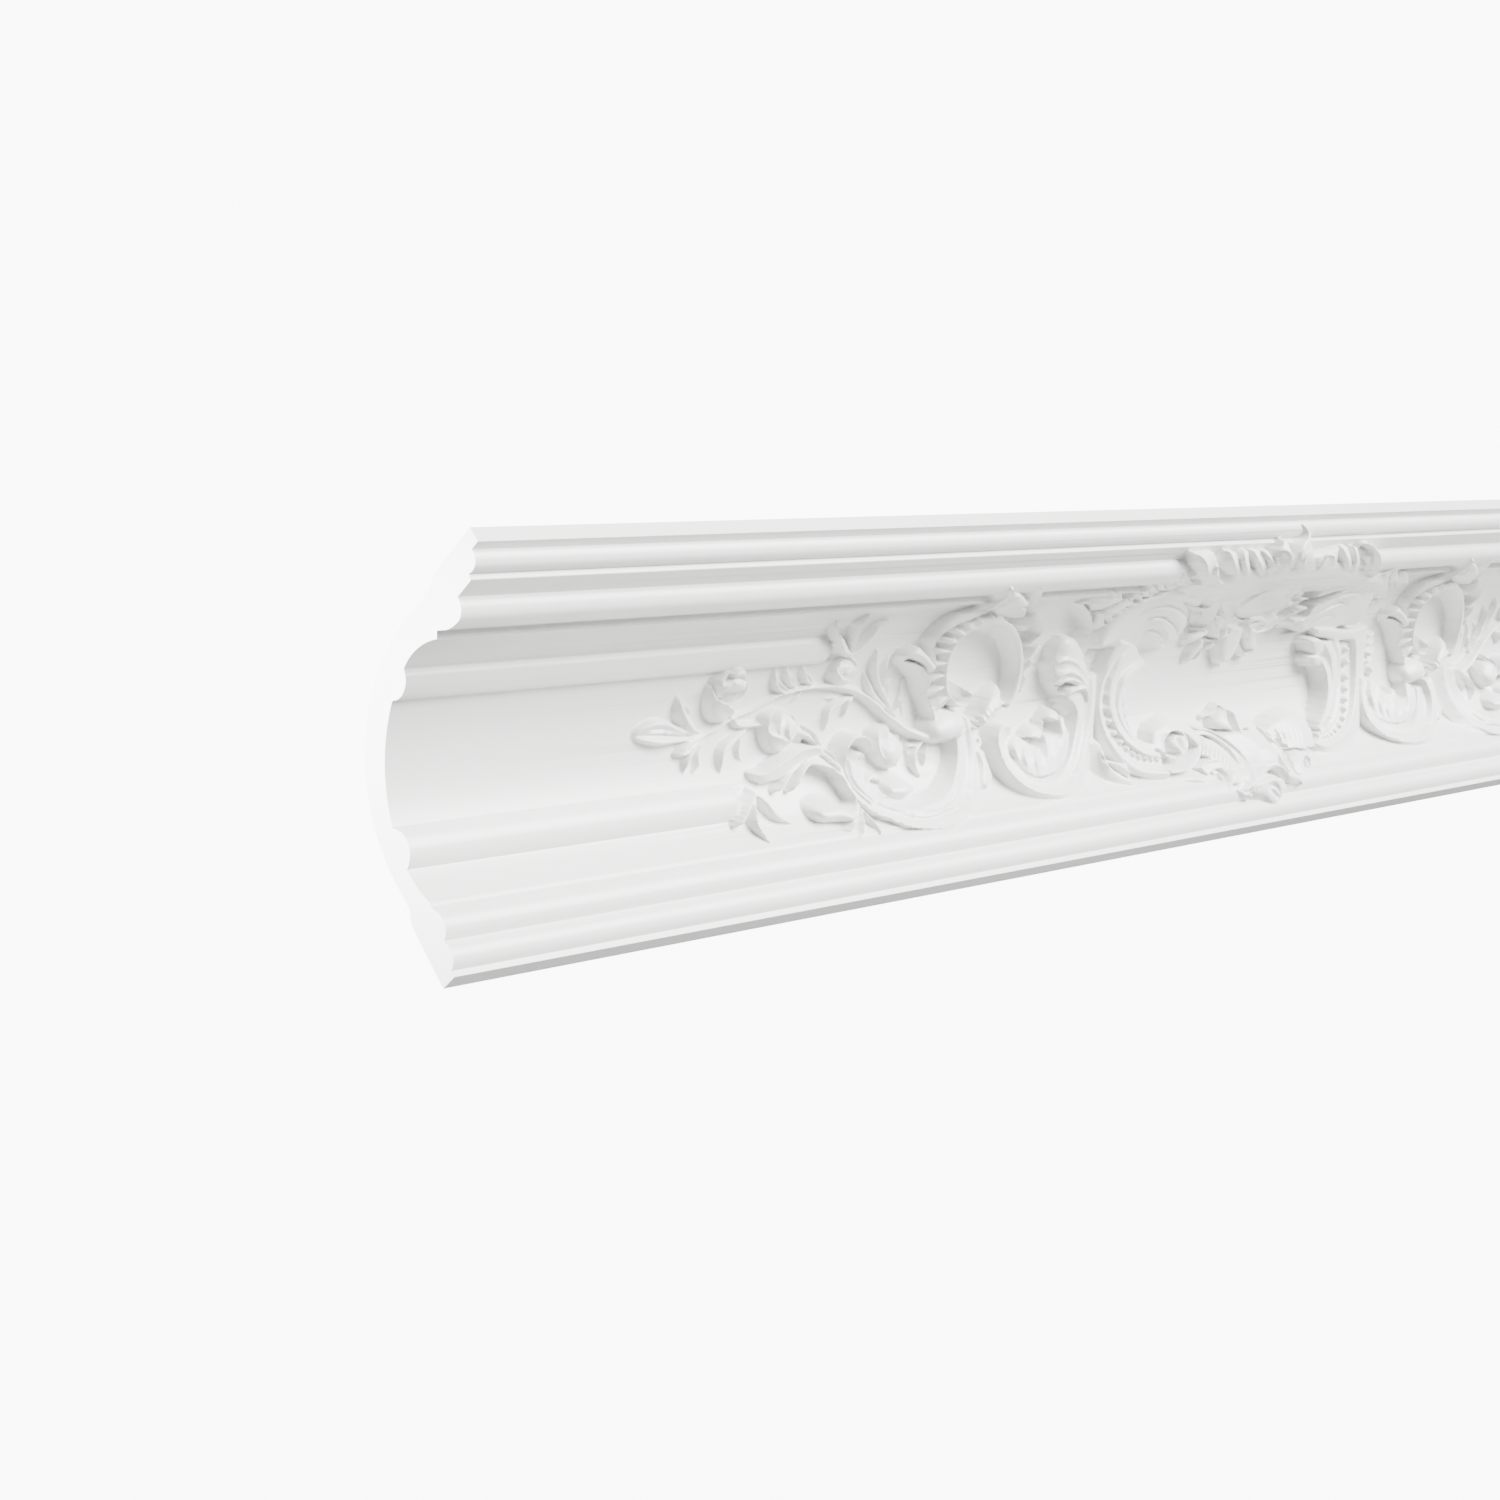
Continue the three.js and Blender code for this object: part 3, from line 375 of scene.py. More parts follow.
# ---- pleated rings
# A ring with a pleated outside and its leaves, ball and fluted tongue stands on both sides of the
# cartouche. The second one copies the first.
RING_SPACING = 380.0
for shift in (0.0, RING_SPACING):
    face([(287.6, 14.4, 0), (283.1, 11.1, 0), (276.7, 6.1, 0), (271.9, 0.3, 0), (268.3, -5.9, 0),
         (261.7, -11.3, 1)], [(278, 10.2, 9), (275.5, 3.1, 10.4), (274.3, -2.5, 10.6), (273.7, -6.7, 10.4),
         (266, -13.3, 9.6), (257.9, -15.3, 5.5)], bulge=0.8)
    face([(260.1, -11.6, 2), (257.9, -15.1, 6), (260.8, -15.9, 8.6), (266.4, -13.9, 10), (273, -9.1, 10.8)],
         [(255.8, -16.8, 5.5), (257.2, -18.5, 8.2), (260.8, -18.5, 9.6), (266.7, -15.6, 10.8),
         (273, -11, 11.2)], [(260, -17.1, 3), (260.6, -19.9, 5), (262.4, -21.1, 6.5), (267.2, -17.8, 9),
         (274.3, -12.5, 10.2)], smooth=True)
    face([(286.9, -6.4, 0), (276.5, -15.7, 0), (269.7, -21.6, 0), (271.6, -27.3, 0), (276.6, -33, 0),
         (286.1, -36.7, 0), (290.9, -39.4, 3), (286.1, -43.2, 9), (288.2, -46.9, 13)], [(279.5, -9.8, 6),
         (273.4, -17.8, 6.4), (269.4, -23.8, 6.8), (271.3, -29.4, 7), (276.2, -33.8, 7.2),
         (283.2, -36.2, 8), (286.1, -39.2, 10), (288.9, -41.8, 12), (288.7, -46.4, 13.6)],
         [(274.6, -13.5, 9.6), (271.6, -20.4, 10.4), (271.5, -25.5, 11), (277.3, -30.1, 11.4),
         (283.4, -32.6, 12), (289.1, -35.4, 12.6), (292.3, -38.2, 13.2), (292.3, -42.4, 13.8),
         (288.7, -46.7, 13.4)], smooth=True)
    line(dome, (286.6, -34.6, 0.7, 13), (288.1, -37.4, 0.9, 13.8), (289.3, -40.8, 1, 14.6),
         (289.6, -43.9, 0.9, 14.8), (287.6, -46.8, 0.6, 14))
    face([(294.3, -37.2, 12.6), (294.1, -39.8, 13.6), (292.8, -43.1, 13.8), (293.9, -44.5, 13)],
         [(297.8, -36.2, 13), (298.1, -39, 14.8), (300.3, -40.5, 15), (300.4, -43.2, 13.4)],
         [(303.1, -36.2, 13.4), (305.6, -37.7, 14.8), (309.7, -37.5, 14.6), (310.3, -39, 13.4)],
         smooth=True)
    face([(294.3, -37.2, 12.6), (300, -37.9, 14), (306.2, -37.5, 14.6), (312.9, -36.2, 14)],
         [(300.8, -32.7, 9), (311, -31.3, 8.4), (320, -30.8, 8.4), (320.8, -32.4, 10)])
    face([(313.5, -41.7, 6), (321.6, -37, 6.4), (326.3, -33.2, 7), (323.8, -30.6, 7), (323.4, -26.7, 6)],
         [(310.2, -43.9, 11), (319.7, -38.2, 10.6), (326.4, -33.2, 10.4), (327.1, -29.2, 9.6),
         (325.4, -25.9, 8.4)], [(309.2, -46.5, 14), (317.8, -40.3, 14), (326.5, -33.6, 13),
         (329, -28.2, 11.6), (328.1, -24, 10)], smooth=True)
    face([(329.7, -26.4, 4), (331.7, -21.9, 4), (337.6, -15.6, 4)], [(333.8, -27, 5), (338.4, -22.5, 5),
         (337.7, -16.7, 5.6)], [(329.5, -31.7, 12), (337.3, -24.7, 11.6), (332.6, -16.5, 9.4)])
    line(dome, (327, -32.5, 0.8, 13), (335.8, -25.2, 1.1, 12.6), (335.5, -20.2, 1, 11.2),
         (331.5, -16.5, 0.8, 9.8))
    face([(339.9, -12, 4), (339, -15.7, 5), (340.7, -19.7, 7)], [(335.8, -11.4, 9), (336.9, -15.2, 10.4),
         (339.3, -18.7, 10.8)], [(336.9, -9.2, 8), (340.5, -11.8, 9), (342.9, -17, 10)], smooth=True)
    face([(340.5, -8.6, 4), (341.6, -2.7, 3.6), (341.1, 4.1, 3)], [(342, -11.8, 10.4), (341.4, -4.5, 9.6),
         (337, 4.2, 7.6)], bulge=-0.6)
    face([(283.6, 9.1, 4.5), (281, 1.6, 5), (280.2, -6, 5.6), (279.1, -14.6, 6.2), (279.1, -20.9, 7),
         (280.8, -26.2, 7.6), (284.7, -29.6, 8.6), (292.3, -32.6, 10), (304, -32.8, 11)], [(287.7, 3.2, 9),
         (284.5, -4.4, 9.6), (282.7, -11.2, 10), (282.2, -18.3, 10.3), (284.8, -24, 10.5),
         (290.8, -27.7, 10.7), (299.2, -29.9, 11), (310.2, -28.5, 11)], bulge=0.3)
    rank(pleat, (0.9, 1.5, 1.9), (0, 0.2, -1.2), (9.4, (287.1, 1.3), (282.3, 3.5), (279.3, 6)),
         (9.6, (285, -3.3), (280.3, -2.1), (277.6, -0.5)),
         (9.8, (283.6, -8.3), (279.3, -7.4), (277.1, -6.2)),
         (10.2, (282.2, -13.3), (278.2, -12.9), (276.4, -12.1)),
         (10.4, (281.9, -18.1), (278.1, -18.2), (276.3, -18)),
         (10.6, (283.1, -22.1), (279.1, -22.8), (277.3, -23.2)),
         (10.8, (285.7, -25), (281.6, -26.4), (279.8, -27.3)),
         (11, (289.7, -27.4), (285.9, -28.9), (284.4, -30.1)),
         (11.2, (294.5, -28.9), (291.2, -30.6), (290.1, -32)),
         (11.4, (300.4, -29.8), (297.9, -31.5), (297.7, -32.8)), wall=1.2)
    face([(297.1, -29, 10), (311.1, -27.2, 9.4), (321.5, -22.2, 8.8), (330, -13.8, 8.4), (333.1, -4.9, 8.2),
         (331.5, 2.6, 8.2), (328.2, 7.1, 8)], [(309.5, -23.2, 0.4), (317, -21.9, 0.2), (324.6, -17.3, 0.2),
         (330, -10.6, 0.2), (332.2, -2.8, 0.2), (331.7, 2.9, 0.2), (329.8, 7.4, 0.6)])
    line(soft, (309.1, -24.7, 0.5, 4.6), (315.8, -23, 0.7, 5.2), (324.6, -17.4, 0.8, 5.4),
         (329.6, -10.9, 0.8, 5.4), (331.8, -2.6, 0.8, 5.2), (330.3, 4.5, 0.6, 5))
    line(table((-1, 0.97), (-0.4, 1), (0.3, 0.95), (1, 0.85)), (291.8, 4.9, 1.2, 9),
         (285.4, -1.6, 1.3, 9.8), (282.1, -11.3, 1.3, 10.4), (281.7, -18.4, 1.3, 10.7),
         (284.5, -24.2, 1.3, 10.9), (290.7, -27.9, 1.4, 11), (299.2, -29.9, 1.7, 11.2),
         (310.7, -28.1, 2, 11), (321.7, -22.4, 2.1, 10.4), (330, -14, 2.1, 10), (333.3, -5.1, 2, 9.6),
         (331.8, 2.9, 1.8, 9.4), (328, 7.4, 1.3, 9), wall=0.8)
    face([(293.4, -2.6, 5), (295.9, 1.9, 4.4), (300.7, 4.8, 4.4), (304.5, 4.9, 6)], [(291.6, -3.8, 8.4),
         (298.5, -1.5, 6.4), (302.8, 0.7, 6), (303.9, 2, 7.6)], bulge=-0.4)
    line(dome, (285.6, -4.3, 0.9, 9.4), (287.8, 1.5, 1.1, 9.8), (292.8, 4.9, 1.2, 9.8),
         (298.1, 6, 1.2, 9.8), (302.3, 4, 1.1, 9.4), (302.6, 1, 0.9, 8.8), (298.3, -1.4, 0.8, 8),
         (292.4, -3.2, 1.2, 8.4))
    line(trough, (333.8, -2.3, 1.5, 9), (332.1, 3.7, 1.9, 9), (328.7, 7.5, 2, 8.6), (324.7, 8.2, 1.6, 8),
         (322.2, 5.1, 1.2, 7.4), (322.6, 1.5, 0.8, 6.6))
    line(bud, (280.4, 14.7, 6, 10.4), (286.1, 13.7, 7.6, 11.2), (293.6, 13.2, 5.8, 10.6))
    line(bud, (292, 17.8, 2, 9.4), (294, 16.4, 2.4, 10.2), (297.3, 15.4, 1.4, 9.6))
    face([(312.5, 17.7, 1), (313.6, 11.8, 1), (314.9, 6.3, 1), (317.7, 2.1, 1), (322.6, -1, 1),
         (325.7, -0.4, 3), (325.2, 2.6, 6)], [(306.7, 16.5, 7), (308, 11.6, 8.4), (310.5, 7.4, 9),
         (313.8, 4.3, 9.2), (317.1, 3.5, 9.4), (321.2, 4.6, 9)], [(305.6, 17.2, 9), (308.9, 14, 10.4),
         (314, 10.6, 11), (319.9, 8, 10.6), (324.7, 6.8, 9.6)], bulge=0.4)
    rank(dome, (0.5, 0.9, 0.7), (0, 1.8, 2.2), (9.4, (304.8, 14.5), (302.8, 15.3), (303.5, 15.9)),
         (9.4, (307, 12), (305.4, 13.2), (306.5, 14.3)), (9.4, (309.2, 10.2), (307.8, 11.6), (309.1, 13)),
         (9.4, (311.4, 8.5), (310.2, 10), (311.7, 11.4)), (9.4, (313.6, 6.8), (312.7, 8.5), (314.5, 10)),
         (9.4, (316, 5.6), (315.3, 7.2), (317.3, 8.6)), wall=0.8)
    line(trough, (307.1, 21.8, 0.8, 6), (309.9, 20.6, 0.9, 6), (311.5, 22.3, 0.9, 6), (308.6, 24.5, 0.9, 6),
         closed=True)
    face([(311.5, 20.6, 1), (309.7, 25.8, 1), (306.2, 31.5, 1), (301.8, 36.2, 0.6), (302.2, 39.7, 0.4)],
         [(307, 25, 4.6), (307.3, 27.6, 4.8), (307.3, 31, 4.8), (305.5, 35.5, 4.2), (304.4, 38.7, 3)],
         [(311.7, 25.6, 4.2), (311.7, 28.2, 4), (312.2, 31.6, 3.6), (312.2, 36.3, 2.6), (307.7, 40.2, 1)],
         smooth=True)
    line(dome, (310.8, 25.4, 0.6, 5), (310.8, 28.7, 0.7, 4.8), (311.6, 32.3, 0.7, 4.2),
         (311.3, 36.1, 0.7, 3.4), (306.8, 39.4, 0.6, 2.6), (301.2, 39.2, 0.5, 2.2))
shift = 0.0

# ---- channel right of the first ring
# A deep channel between two raised lips, which swings down and round to carry the first ring over
# to the cartouche.
seam_3 = ((328.3, 16.9, 8.5), (322.8, 16.2, 9), (317.8, 20.1, 9.5), (316.6, 26.2, 9.2), (318.7, 33.3, 8.6),
          (325.3, 39.6, 7.6), (335.4, 43.4, 6.6), (347, 44.4, 6), (360.6, 40.9, 6.4), (371.7, 34.2, 7.2),
          (379.9, 25.5, 8), (384.8, 15.2, 9), (386.3, 6.1, 9.5), (384.2, -1, 10))
face([(315.4, 13.6, 0), (315.4, 19.6, 0), (316.9, 25.6, 0), (316.4, 31.6, 0), (318.9, 38.6, 0),
     (324.4, 43.1, 0), (336.4, 46.8, 0), (353.4, 48, 0), (369.4, 44.6, 0), (382.4, 38, 0), (392.4, 29.2, 0),
     (399.4, 17.6, 0), (402.4, 7.6, 0), (401.4, -1.4, 0)], seam_3, bulge=0.6)
seam_4 = ((331, 20.5, 6), (326.3, 20.9, 6.2), (323.1, 24.4, 6.4), (322.6, 29.4, 6.4), (325.5, 35.2, 6),
          (331.4, 39.7, 5.6), (339.9, 42.2, 5.2), (349.1, 42.3, 5), (360.9, 38.6, 5.2), (370.2, 32.6, 5.8),
          (376.9, 24.3, 6.6), (381, 14.6, 7.4), (381.9, 7.5, 8), (378.3, 1.4, 8.5))
face(seam_3, seam_4, bulge=-0.2)
seam_5 = ((335.1, 22.3, 5), (329.4, 23.1, 5.6), (325.1, 25.9, 6.4), (324.6, 29.8, 6.6), (327.2, 34.5, 6.4),
          (332.5, 38, 6), (340.2, 39.9, 5.8), (349.2, 39.5, 5.8), (359, 36, 6), (366.9, 30.4, 6.6),
          (373, 22.6, 7.4), (376.7, 15, 8), (373.4, 9.9, 8.4), (369.4, 7.4, 8.4))
face(seam_4, seam_5, bulge=0.2)
face(seam_5, [(340.7, 24.9, 2.5), (336.7, 26.4, 2.5), (332.8, 28.8, 3), (332.8, 32.2, 3), (334.7, 35.2, 3),
     (339.2, 37.5, 2.6), (345.4, 38.5, 2.4), (352.9, 37.9, 2.4), (361.1, 34.5, 2.6), (367.2, 28.8, 3),
     (372.2, 22.3, 3), (374.2, 16.8, 3), (371.2, 13.3, 3), (367.7, 11.9, 2.5)], bulge=-0.3)
line(dome, (328, 16.8, 1, 8.8), (322.5, 16.1, 1, 9.3), (317.4, 20, 1, 9.8), (316.3, 26.1, 1, 9.5),
     (318.4, 33.2, 1, 8.9), (325, 39.5, 1, 7.9), (335, 43.4, 1, 6.9), (346.7, 44.3, 1, 6.3),
     (360.3, 40.8, 1, 6.7), (371.4, 34.1, 1, 7.5), (379.5, 25.4, 1, 8.3), (384.5, 15.1, 1, 9.3),
     (385.9, 6, 1, 9.8), (383.9, -1.1, 1, 10.3))
line(dome, (334.7, 22.2, 0.9, 5.3), (329.1, 23, 0.9, 5.9), (324.8, 25.8, 0.9, 6.7), (324.2, 29.8, 0.9, 6.9),
     (326.9, 34.4, 0.9, 6.7), (332.2, 37.9, 0.9, 6.3), (339.9, 39.8, 0.9, 6.1), (348.9, 39.4, 0.9, 6.1),
     (358.7, 35.9, 0.9, 6.3), (366.5, 30.4, 0.9, 6.9), (372.7, 22.6, 0.9, 7.7), (376.3, 14.9, 0.9, 8.3),
     (373.1, 9.8, 0.9, 8.7), (369.1, 7.3, 0.9, 8.7))

# ---- rolled leaf
# A short leaf at the head of the channel, with its tip rolled over.
face([(362.3, -18.8, 1), (358.4, -14.9, 0), (357.4, -7, 0), (359.9, 0.5, 0), (365, 6.3, 0), (371.8, 9.9, 0),
     (376.1, 11.4, 2)], [(360.4, -19, 6), (357.6, -14.9, 7), (357.7, -9.1, 7.6), (358.9, -3.3, 8.6),
     (361.5, 1.6, 9.4), (366.2, 5.3, 9.6), (371.4, 5.1, 9.8)], bulge=0.8)
face([(360.4, -19, 6), (357.6, -14.9, 7), (357.7, -9.1, 7.6), (358.9, -3.3, 8.6), (361.5, 1.6, 9.4)],
     [(363.5, -19.6, 7), (363.4, -15.8, 9.4), (365.2, -10, 10), (366.9, -4.5, 10.4), (369, 1, 10.4)],
     [(370, -18.9, 6), (375.9, -13.1, 8.2), (380.6, -6.4, 9), (383.6, 0.1, 9.4), (385.7, 6.1, 9)],
     smooth=True)
line(dome, (357.1, -4.8, 0.8, 9), (357.7, -8.3, 1.2, 10.4), (362.8, -9.8, 1.4, 11.4),
     (370.4, -7.9, 1.3, 11.2), (379.6, -2.7, 0.9, 10.2))
line(dome, (359.6, 0.4, 0.9, 9.8), (360.9, -3, 1.4, 11.4), (366.6, -4.1, 1.6, 12), (374.3, -1.8, 1.4, 11.6),
     (381.8, 3.3, 1, 10.4))
line(soft, (362.9, 3.1, 0.8, 9.6), (364.6, 0.2, 1.3, 11), (370, -0.5, 1.4, 11.6), (378.4, 2.1, 1.1, 11))
line(dome, (367, 9.1, 1, 9.4), (368.8, 5.1, 1.5, 11), (374.3, 3.9, 1.5, 11.4), (380.7, 4.5, 1.3, 11),
     (383.6, 9.7, 1, 10))

# ---- leaves behind the cartouche
# Leaves that lie against the ovolo and come out from behind the cartouche.
face([(356.4, -33.9, 0), (362.4, -31.4, 0), (368.4, -28.4, 0), (374.4, -24.4, 0), (373.9, -19.4, 0),
     (376.3, -16, 2), (382.1, -10.5, 4), (387.1, -2.7, 5)], [(356.8, -35.3, 1.5), (360.9, -35.3, 7),
     (369.3, -31.6, 8.5), (374.3, -27.9, 9.5), (378.8, -22.8, 9), (378.8, -18.8, 9), (381.8, -12.8, 9),
     (384.8, -4.8, 9)], bulge=0.8)
face([(356.4, -34.4, 0), (361.3, -38, 2), (366, -40, 6), (370.7, -41.5, 10)], [(357.3, -34, 2),
     (361.9, -35.3, 7), (370.8, -33.8, 9), (375.6, -36.1, 12)], bulge=0.5)
face([(367, -35, 6), (369.8, -38.8, 9), (374.6, -41.3, 11)], [(370.9, -31.3, 7), (376.8, -32.3, 9),
     (381.6, -36.6, 12)], bulge=0.8)
face([(378, -30, 6), (380.8, -33.8, 9), (383.6, -37.6, 12)], [(377.9, -26.5, 8), (384.8, -28.3, 9),
     (390.6, -34.6, 12)], bulge=0.6)
rank(soft, (1.6, 1.9, 0.8), (0, -0.5, -3), (11.5, (376.6, -30.4), (379.6, -26.8), (384.8, -22.1)),
     (11.5, (380.8, -33.3), (383.8, -29.7), (389, -25)), (11.5, (385, -35.9), (388, -32.3), (393.2, -27.7)),
     (11.5, (389.2, -38.4), (392.2, -34.7), (397.4, -30.1)),
     (11.5, (393.4, -40.5), (396.4, -36.9), (401.6, -32.2)),
     (11.5, (397.6, -42.4), (400.6, -38.8), (405.8, -34.1)))
face([(379.4, 37.6, 0), (384.4, 42.6, 0), (392.4, 46.1, 0), (402.4, 48.1, 0)], [(380.9, 27, 8),
     (386.8, 28.2, 9), (385.9, 35.5, 8), (400.6, 44.4, 4.5)], bulge=0.8)
face([(386.1, 29.5, 4), (390.1, 34.5, 4), (389.1, 39.5, 4)], [(389.8, 27.8, 9), (386.3, 32.2, 9),
     (386.9, 38, 8)])
face([(393.2, 37.8, 3), (397.2, 40.8, 3), (403.2, 43.8, 3)], [(388.9, 36.1, 8), (393.9, 36.5, 8),
     (400.9, 38.3, 7)], bulge=0.6)

# ---- channel left of the second ring
# A deep channel between two raised lips, from the cartouche to the second ring.
seam_6 = ((617, 14.4, 8), (614.3, 24, 7.5), (613.6, 32.5, 7), (616.2, 38, 6.5), (623, 42.1, 6),
          (632, 44.8, 6), (642.7, 46, 6), (654.8, 45.2, 6.4), (667.9, 40.7, 7), (676.3, 33.7, 8),
          (679.5, 26, 9), (676.6, 18.8, 9.5))
face([(625.9, 16.1, 0), (621.6, 26.5, 0), (619.2, 35.2, 0), (620.6, 41.2, 0), (627.1, 45.1, 0),
     (637, 47.6, 0), (650, 48.8, 0), (663.8, 48, 0), (679.8, 43.3, 0), (692.3, 35.9, 0), (698.2, 28.5, 0),
     (695.8, 21.1, 2)], seam_6, bulge=0.4)
face(seam_6, [(624.5, 15.8, 5), (621.7, 24.8, 5), (620.8, 31.6, 5), (623.4, 36.6, 5), (628.7, 40.1, 5),
     (637.9, 42.5, 5), (650.7, 42.3, 5), (663.9, 39.1, 5), (674.1, 33, 5), (677.4, 26.4, 5.4),
     (675.1, 22.2, 6)], [(620.2, 16.3, 6.5), (616.8, 25.8, 6.4), (618.3, 32.7, 6.2), (625.4, 37.2, 6),
     (635.9, 39.8, 6), (647.7, 40, 6), (658.7, 36.7, 6.2), (666.9, 29.9, 6.6), (669.9, 22.8, 7)],
     [(629.6, 17.9, 3), (626.7, 26.3, 3.4), (626.9, 32.1, 4), (632.8, 36, 4), (641.9, 38.3, 4),
     (651, 38.3, 4), (660, 35.5, 4), (667.3, 29.8, 4), (670.5, 24.2, 4)])
line(dome, (616.4, 14.3, 0.9, 8.3), (613.7, 23.9, 0.9, 7.8), (613.1, 32.4, 0.9, 7.3),
     (615.7, 37.9, 0.9, 6.8), (622.5, 42, 0.9, 6.3), (631.5, 44.7, 0.9, 6.3), (642.2, 45.9, 0.9, 6.3),
     (654.3, 45.1, 0.9, 6.8), (667.4, 40.6, 0.9, 7.3), (675.8, 33.6, 0.9, 8.3), (678.9, 25.9, 0.9, 9.3),
     (676, 18.7, 0.9, 9.8), wall=0.8)
line(dome, (619.7, 16.2, 0.8, 6.8), (616.3, 25.7, 0.8, 6.8), (617.8, 32.6, 0.8, 6.5),
     (624.9, 37.2, 0.8, 6.3), (635.4, 39.8, 0.8, 6.3), (647.2, 39.9, 0.8, 6.3), (658.2, 36.6, 0.8, 6.5),
     (666.4, 29.8, 0.8, 6.9), (669.3, 22.7, 0.8, 7.3), wall=0.8)
line(dome, (623.7, 15.7, 0.6, 5.5), (621, 24.7, 0.6, 5.5), (620.1, 31.5, 0.6, 5.5), (622.7, 36.5, 0.6, 5.5),
     (628, 40, 0.6, 5.5), (637.2, 42.4, 0.6, 5.5), (650, 42.2, 0.6, 5.5), (663.2, 38.9, 0.6, 5.5),
     (673.3, 32.9, 0.6, 5.5), (676.6, 26.3, 0.6, 5.9), (674.3, 22.1, 0.6, 6.5), wall=0.8)

# ---- scalloped cups
# A small cup with a scalloped rim stands in each of the two channels: first the left one,
face([(330.9, 20.6, 4.5), (333.6, 21, 5.5), (337.9, 23.3, 6), (342.5, 25.4, 6), (348.1, 27.1, 6),
     (351.1, 22.1, 7), (356.2, 21.9, 7), (360.7, 22.4, 7), (362.2, 17, 8), (365.3, 14.4, 8)],
     [(326.5, 24.8, 6.4), (327.5, 26.7, 7.4), (331, 28.8, 8), (336.5, 30.8, 8.2), (342, 31.6, 8.4),
     (347.4, 30.8, 8.4), (352.2, 29.6, 8.6), (357.5, 27.6, 8.8), (362.3, 23.9, 9), (366.1, 20, 8.8)],
     [(326.1, 28, 6), (327.4, 31.6, 6.2), (330.4, 34.9, 6.2), (335.2, 37.3, 6.2), (340, 38.1, 6.2),
     (346.2, 38, 6.4), (352.9, 36.6, 6.6), (360.3, 33.3, 6.8), (365.8, 28.5, 7), (368.9, 23, 7.2)],
     smooth=True)
rank(bud, (1.3, 2.1, 1), (0, 2.2, -0.2), (7.4, (330.6, 21.7), (326.5, 25.9), (329.6, 31.6)),
     (7.4, (337.5, 24.7), (331.9, 29), (333, 34.9)), (7.4, (344.9, 27), (338.9, 31.1), (338.3, 36.5)),
     (7.4, (353.2, 22.6), (347.2, 29.8), (345.2, 36.4)), (7.4, (360.3, 22.7), (355, 28.1), (353.2, 34.6)),
     (7.4, (366.3, 16.1), (362.2, 22.9), (360.7, 30.5)), wall=1.2)
face([(341.9, 21, 2), (345.6, 18.4, 3), (350, 18.4, 4), (352.4, 20.4, 5)], [(337.9, 23.3, 6),
     (341.1, 22.6, 7), (344.4, 22.7, 7.6), (347.6, 23.8, 7.6)], bulge=0.6)
face([(354.1, 19.4, 2), (355, 15.1, 3), (358.5, 12.2, 4), (362.3, 12.3, 5.4), (364.3, 14, 6.4)],
     [(350.2, 21.6, 7), (351.6, 17.8, 8), (354.6, 15.9, 8.6), (357.3, 16, 9), (360.5, 17.6, 8.6)],
     bulge=0.6)
# then the right one.
face([(624.6, 18.1, 4.5), (628, 15.6, 5.5), (634, 19.1, 6.2), (639.8, 24.1, 6.4), (646.4, 21.3, 7),
     (650.3, 27.4, 6.6), (654.7, 26.5, 7), (659.3, 20, 7.6), (667.2, 22.5, 7.8)], [(618.6, 23.5, 6.6),
     (622.3, 25, 7.6), (627.7, 27.7, 8), (633.2, 29.9, 8.2), (638.5, 30.7, 8.4), (643.4, 31.9, 8.4),
     (649.5, 31.9, 8.4), (656.4, 29.4, 8.6), (665.1, 27.2, 8)], [(617.3, 27.2, 6.2), (619.8, 32.2, 6.4),
     (624.8, 35, 6.4), (629.9, 36.6, 6.4), (635.7, 37.5, 6.4), (641.3, 37.9, 6.4), (647.4, 37.5, 6.6),
     (655.8, 35.3, 6.8), (664.1, 31.1, 7)], smooth=True)
rank(bud, (1.3, 1.9, 1), (0, 1.8, -0.2), (7.6, (625.6, 17), (620.7, 24.1), (622.5, 31.6)),
     (7.6, (632.6, 20.3), (627, 27.4), (627.6, 34.3)), (7.6, (638.5, 24.4), (632.3, 29.6), (632.6, 35.5)),
     (7.6, (646.4, 22.8), (638.7, 30.1), (637.5, 36.4)), (7.6, (653, 27.4), (645.3, 31.9), (643, 36.2)),
     (7.6, (661.2, 22.1), (653.4, 29.6), (649.2, 35.7)), wall=1.2)

# ---- leaves on the right back of the cartouche
# Leaves that grow out from the back of the right C-scroll.
line(blade, (625.6, -6.9, 0.7, 5), (628.2, -5.6, 1.6, 5.6), (635.4, -6.5, 0.6, 4))
line(blade, (628, -1.6, 0.7, 5), (629.9, -1.6, 1.5, 5.6), (636.1, -3.3, 0.6, 4))
line(blade, (627.8, 2.6, 0.7, 5), (630.8, 3.5, 1.6, 5.6), (637.7, 2.1, 0.6, 4))
line(blade, (627.7, 7.5, 0.7, 5), (629.4, 7.5, 1.5, 5.6), (636.1, 6.1, 0.6, 4))
line(bud, (632.2, 16.1, 0.8, 3), (633.5, 13.6, 1, 3.5), (632.4, 12, 2.1, 5), (634.4, 11.2, 1.6, 4.6))
face([(627.3, -20.4, 0), (623, -26.7, 1), (607.6, -34.3, 4), (597.2, -39.4, 6)], [(622.4, -23.1, 6),
     (617.4, -27.3, 7.5), (608.5, -31.6, 8.5), (603.7, -36.2, 9), (609.1, -38.1, 8)], bulge=0.6)
face([(623.7, -28.8, 4), (614, -34.2, 5), (608.6, -38, 5.5)], [(619.6, -30, 8), (611.9, -34.4, 9),
     (608.5, -38.5, 7.5)], [(623.2, -30.3, 7), (617.2, -34, 7.6), (614.6, -37.6, 6)], bulge=0.3)
face([(628.6, -29.9, 4), (618.5, -35.3, 5), (613.4, -38.8, 5.5)], [(624.5, -31.1, 8), (616.3, -35.5, 9),
     (613.3, -39.3, 7.5)], [(628.1, -31.5, 7), (621.8, -35.1, 7.6), (619.5, -38.4, 6)], bulge=0.3)
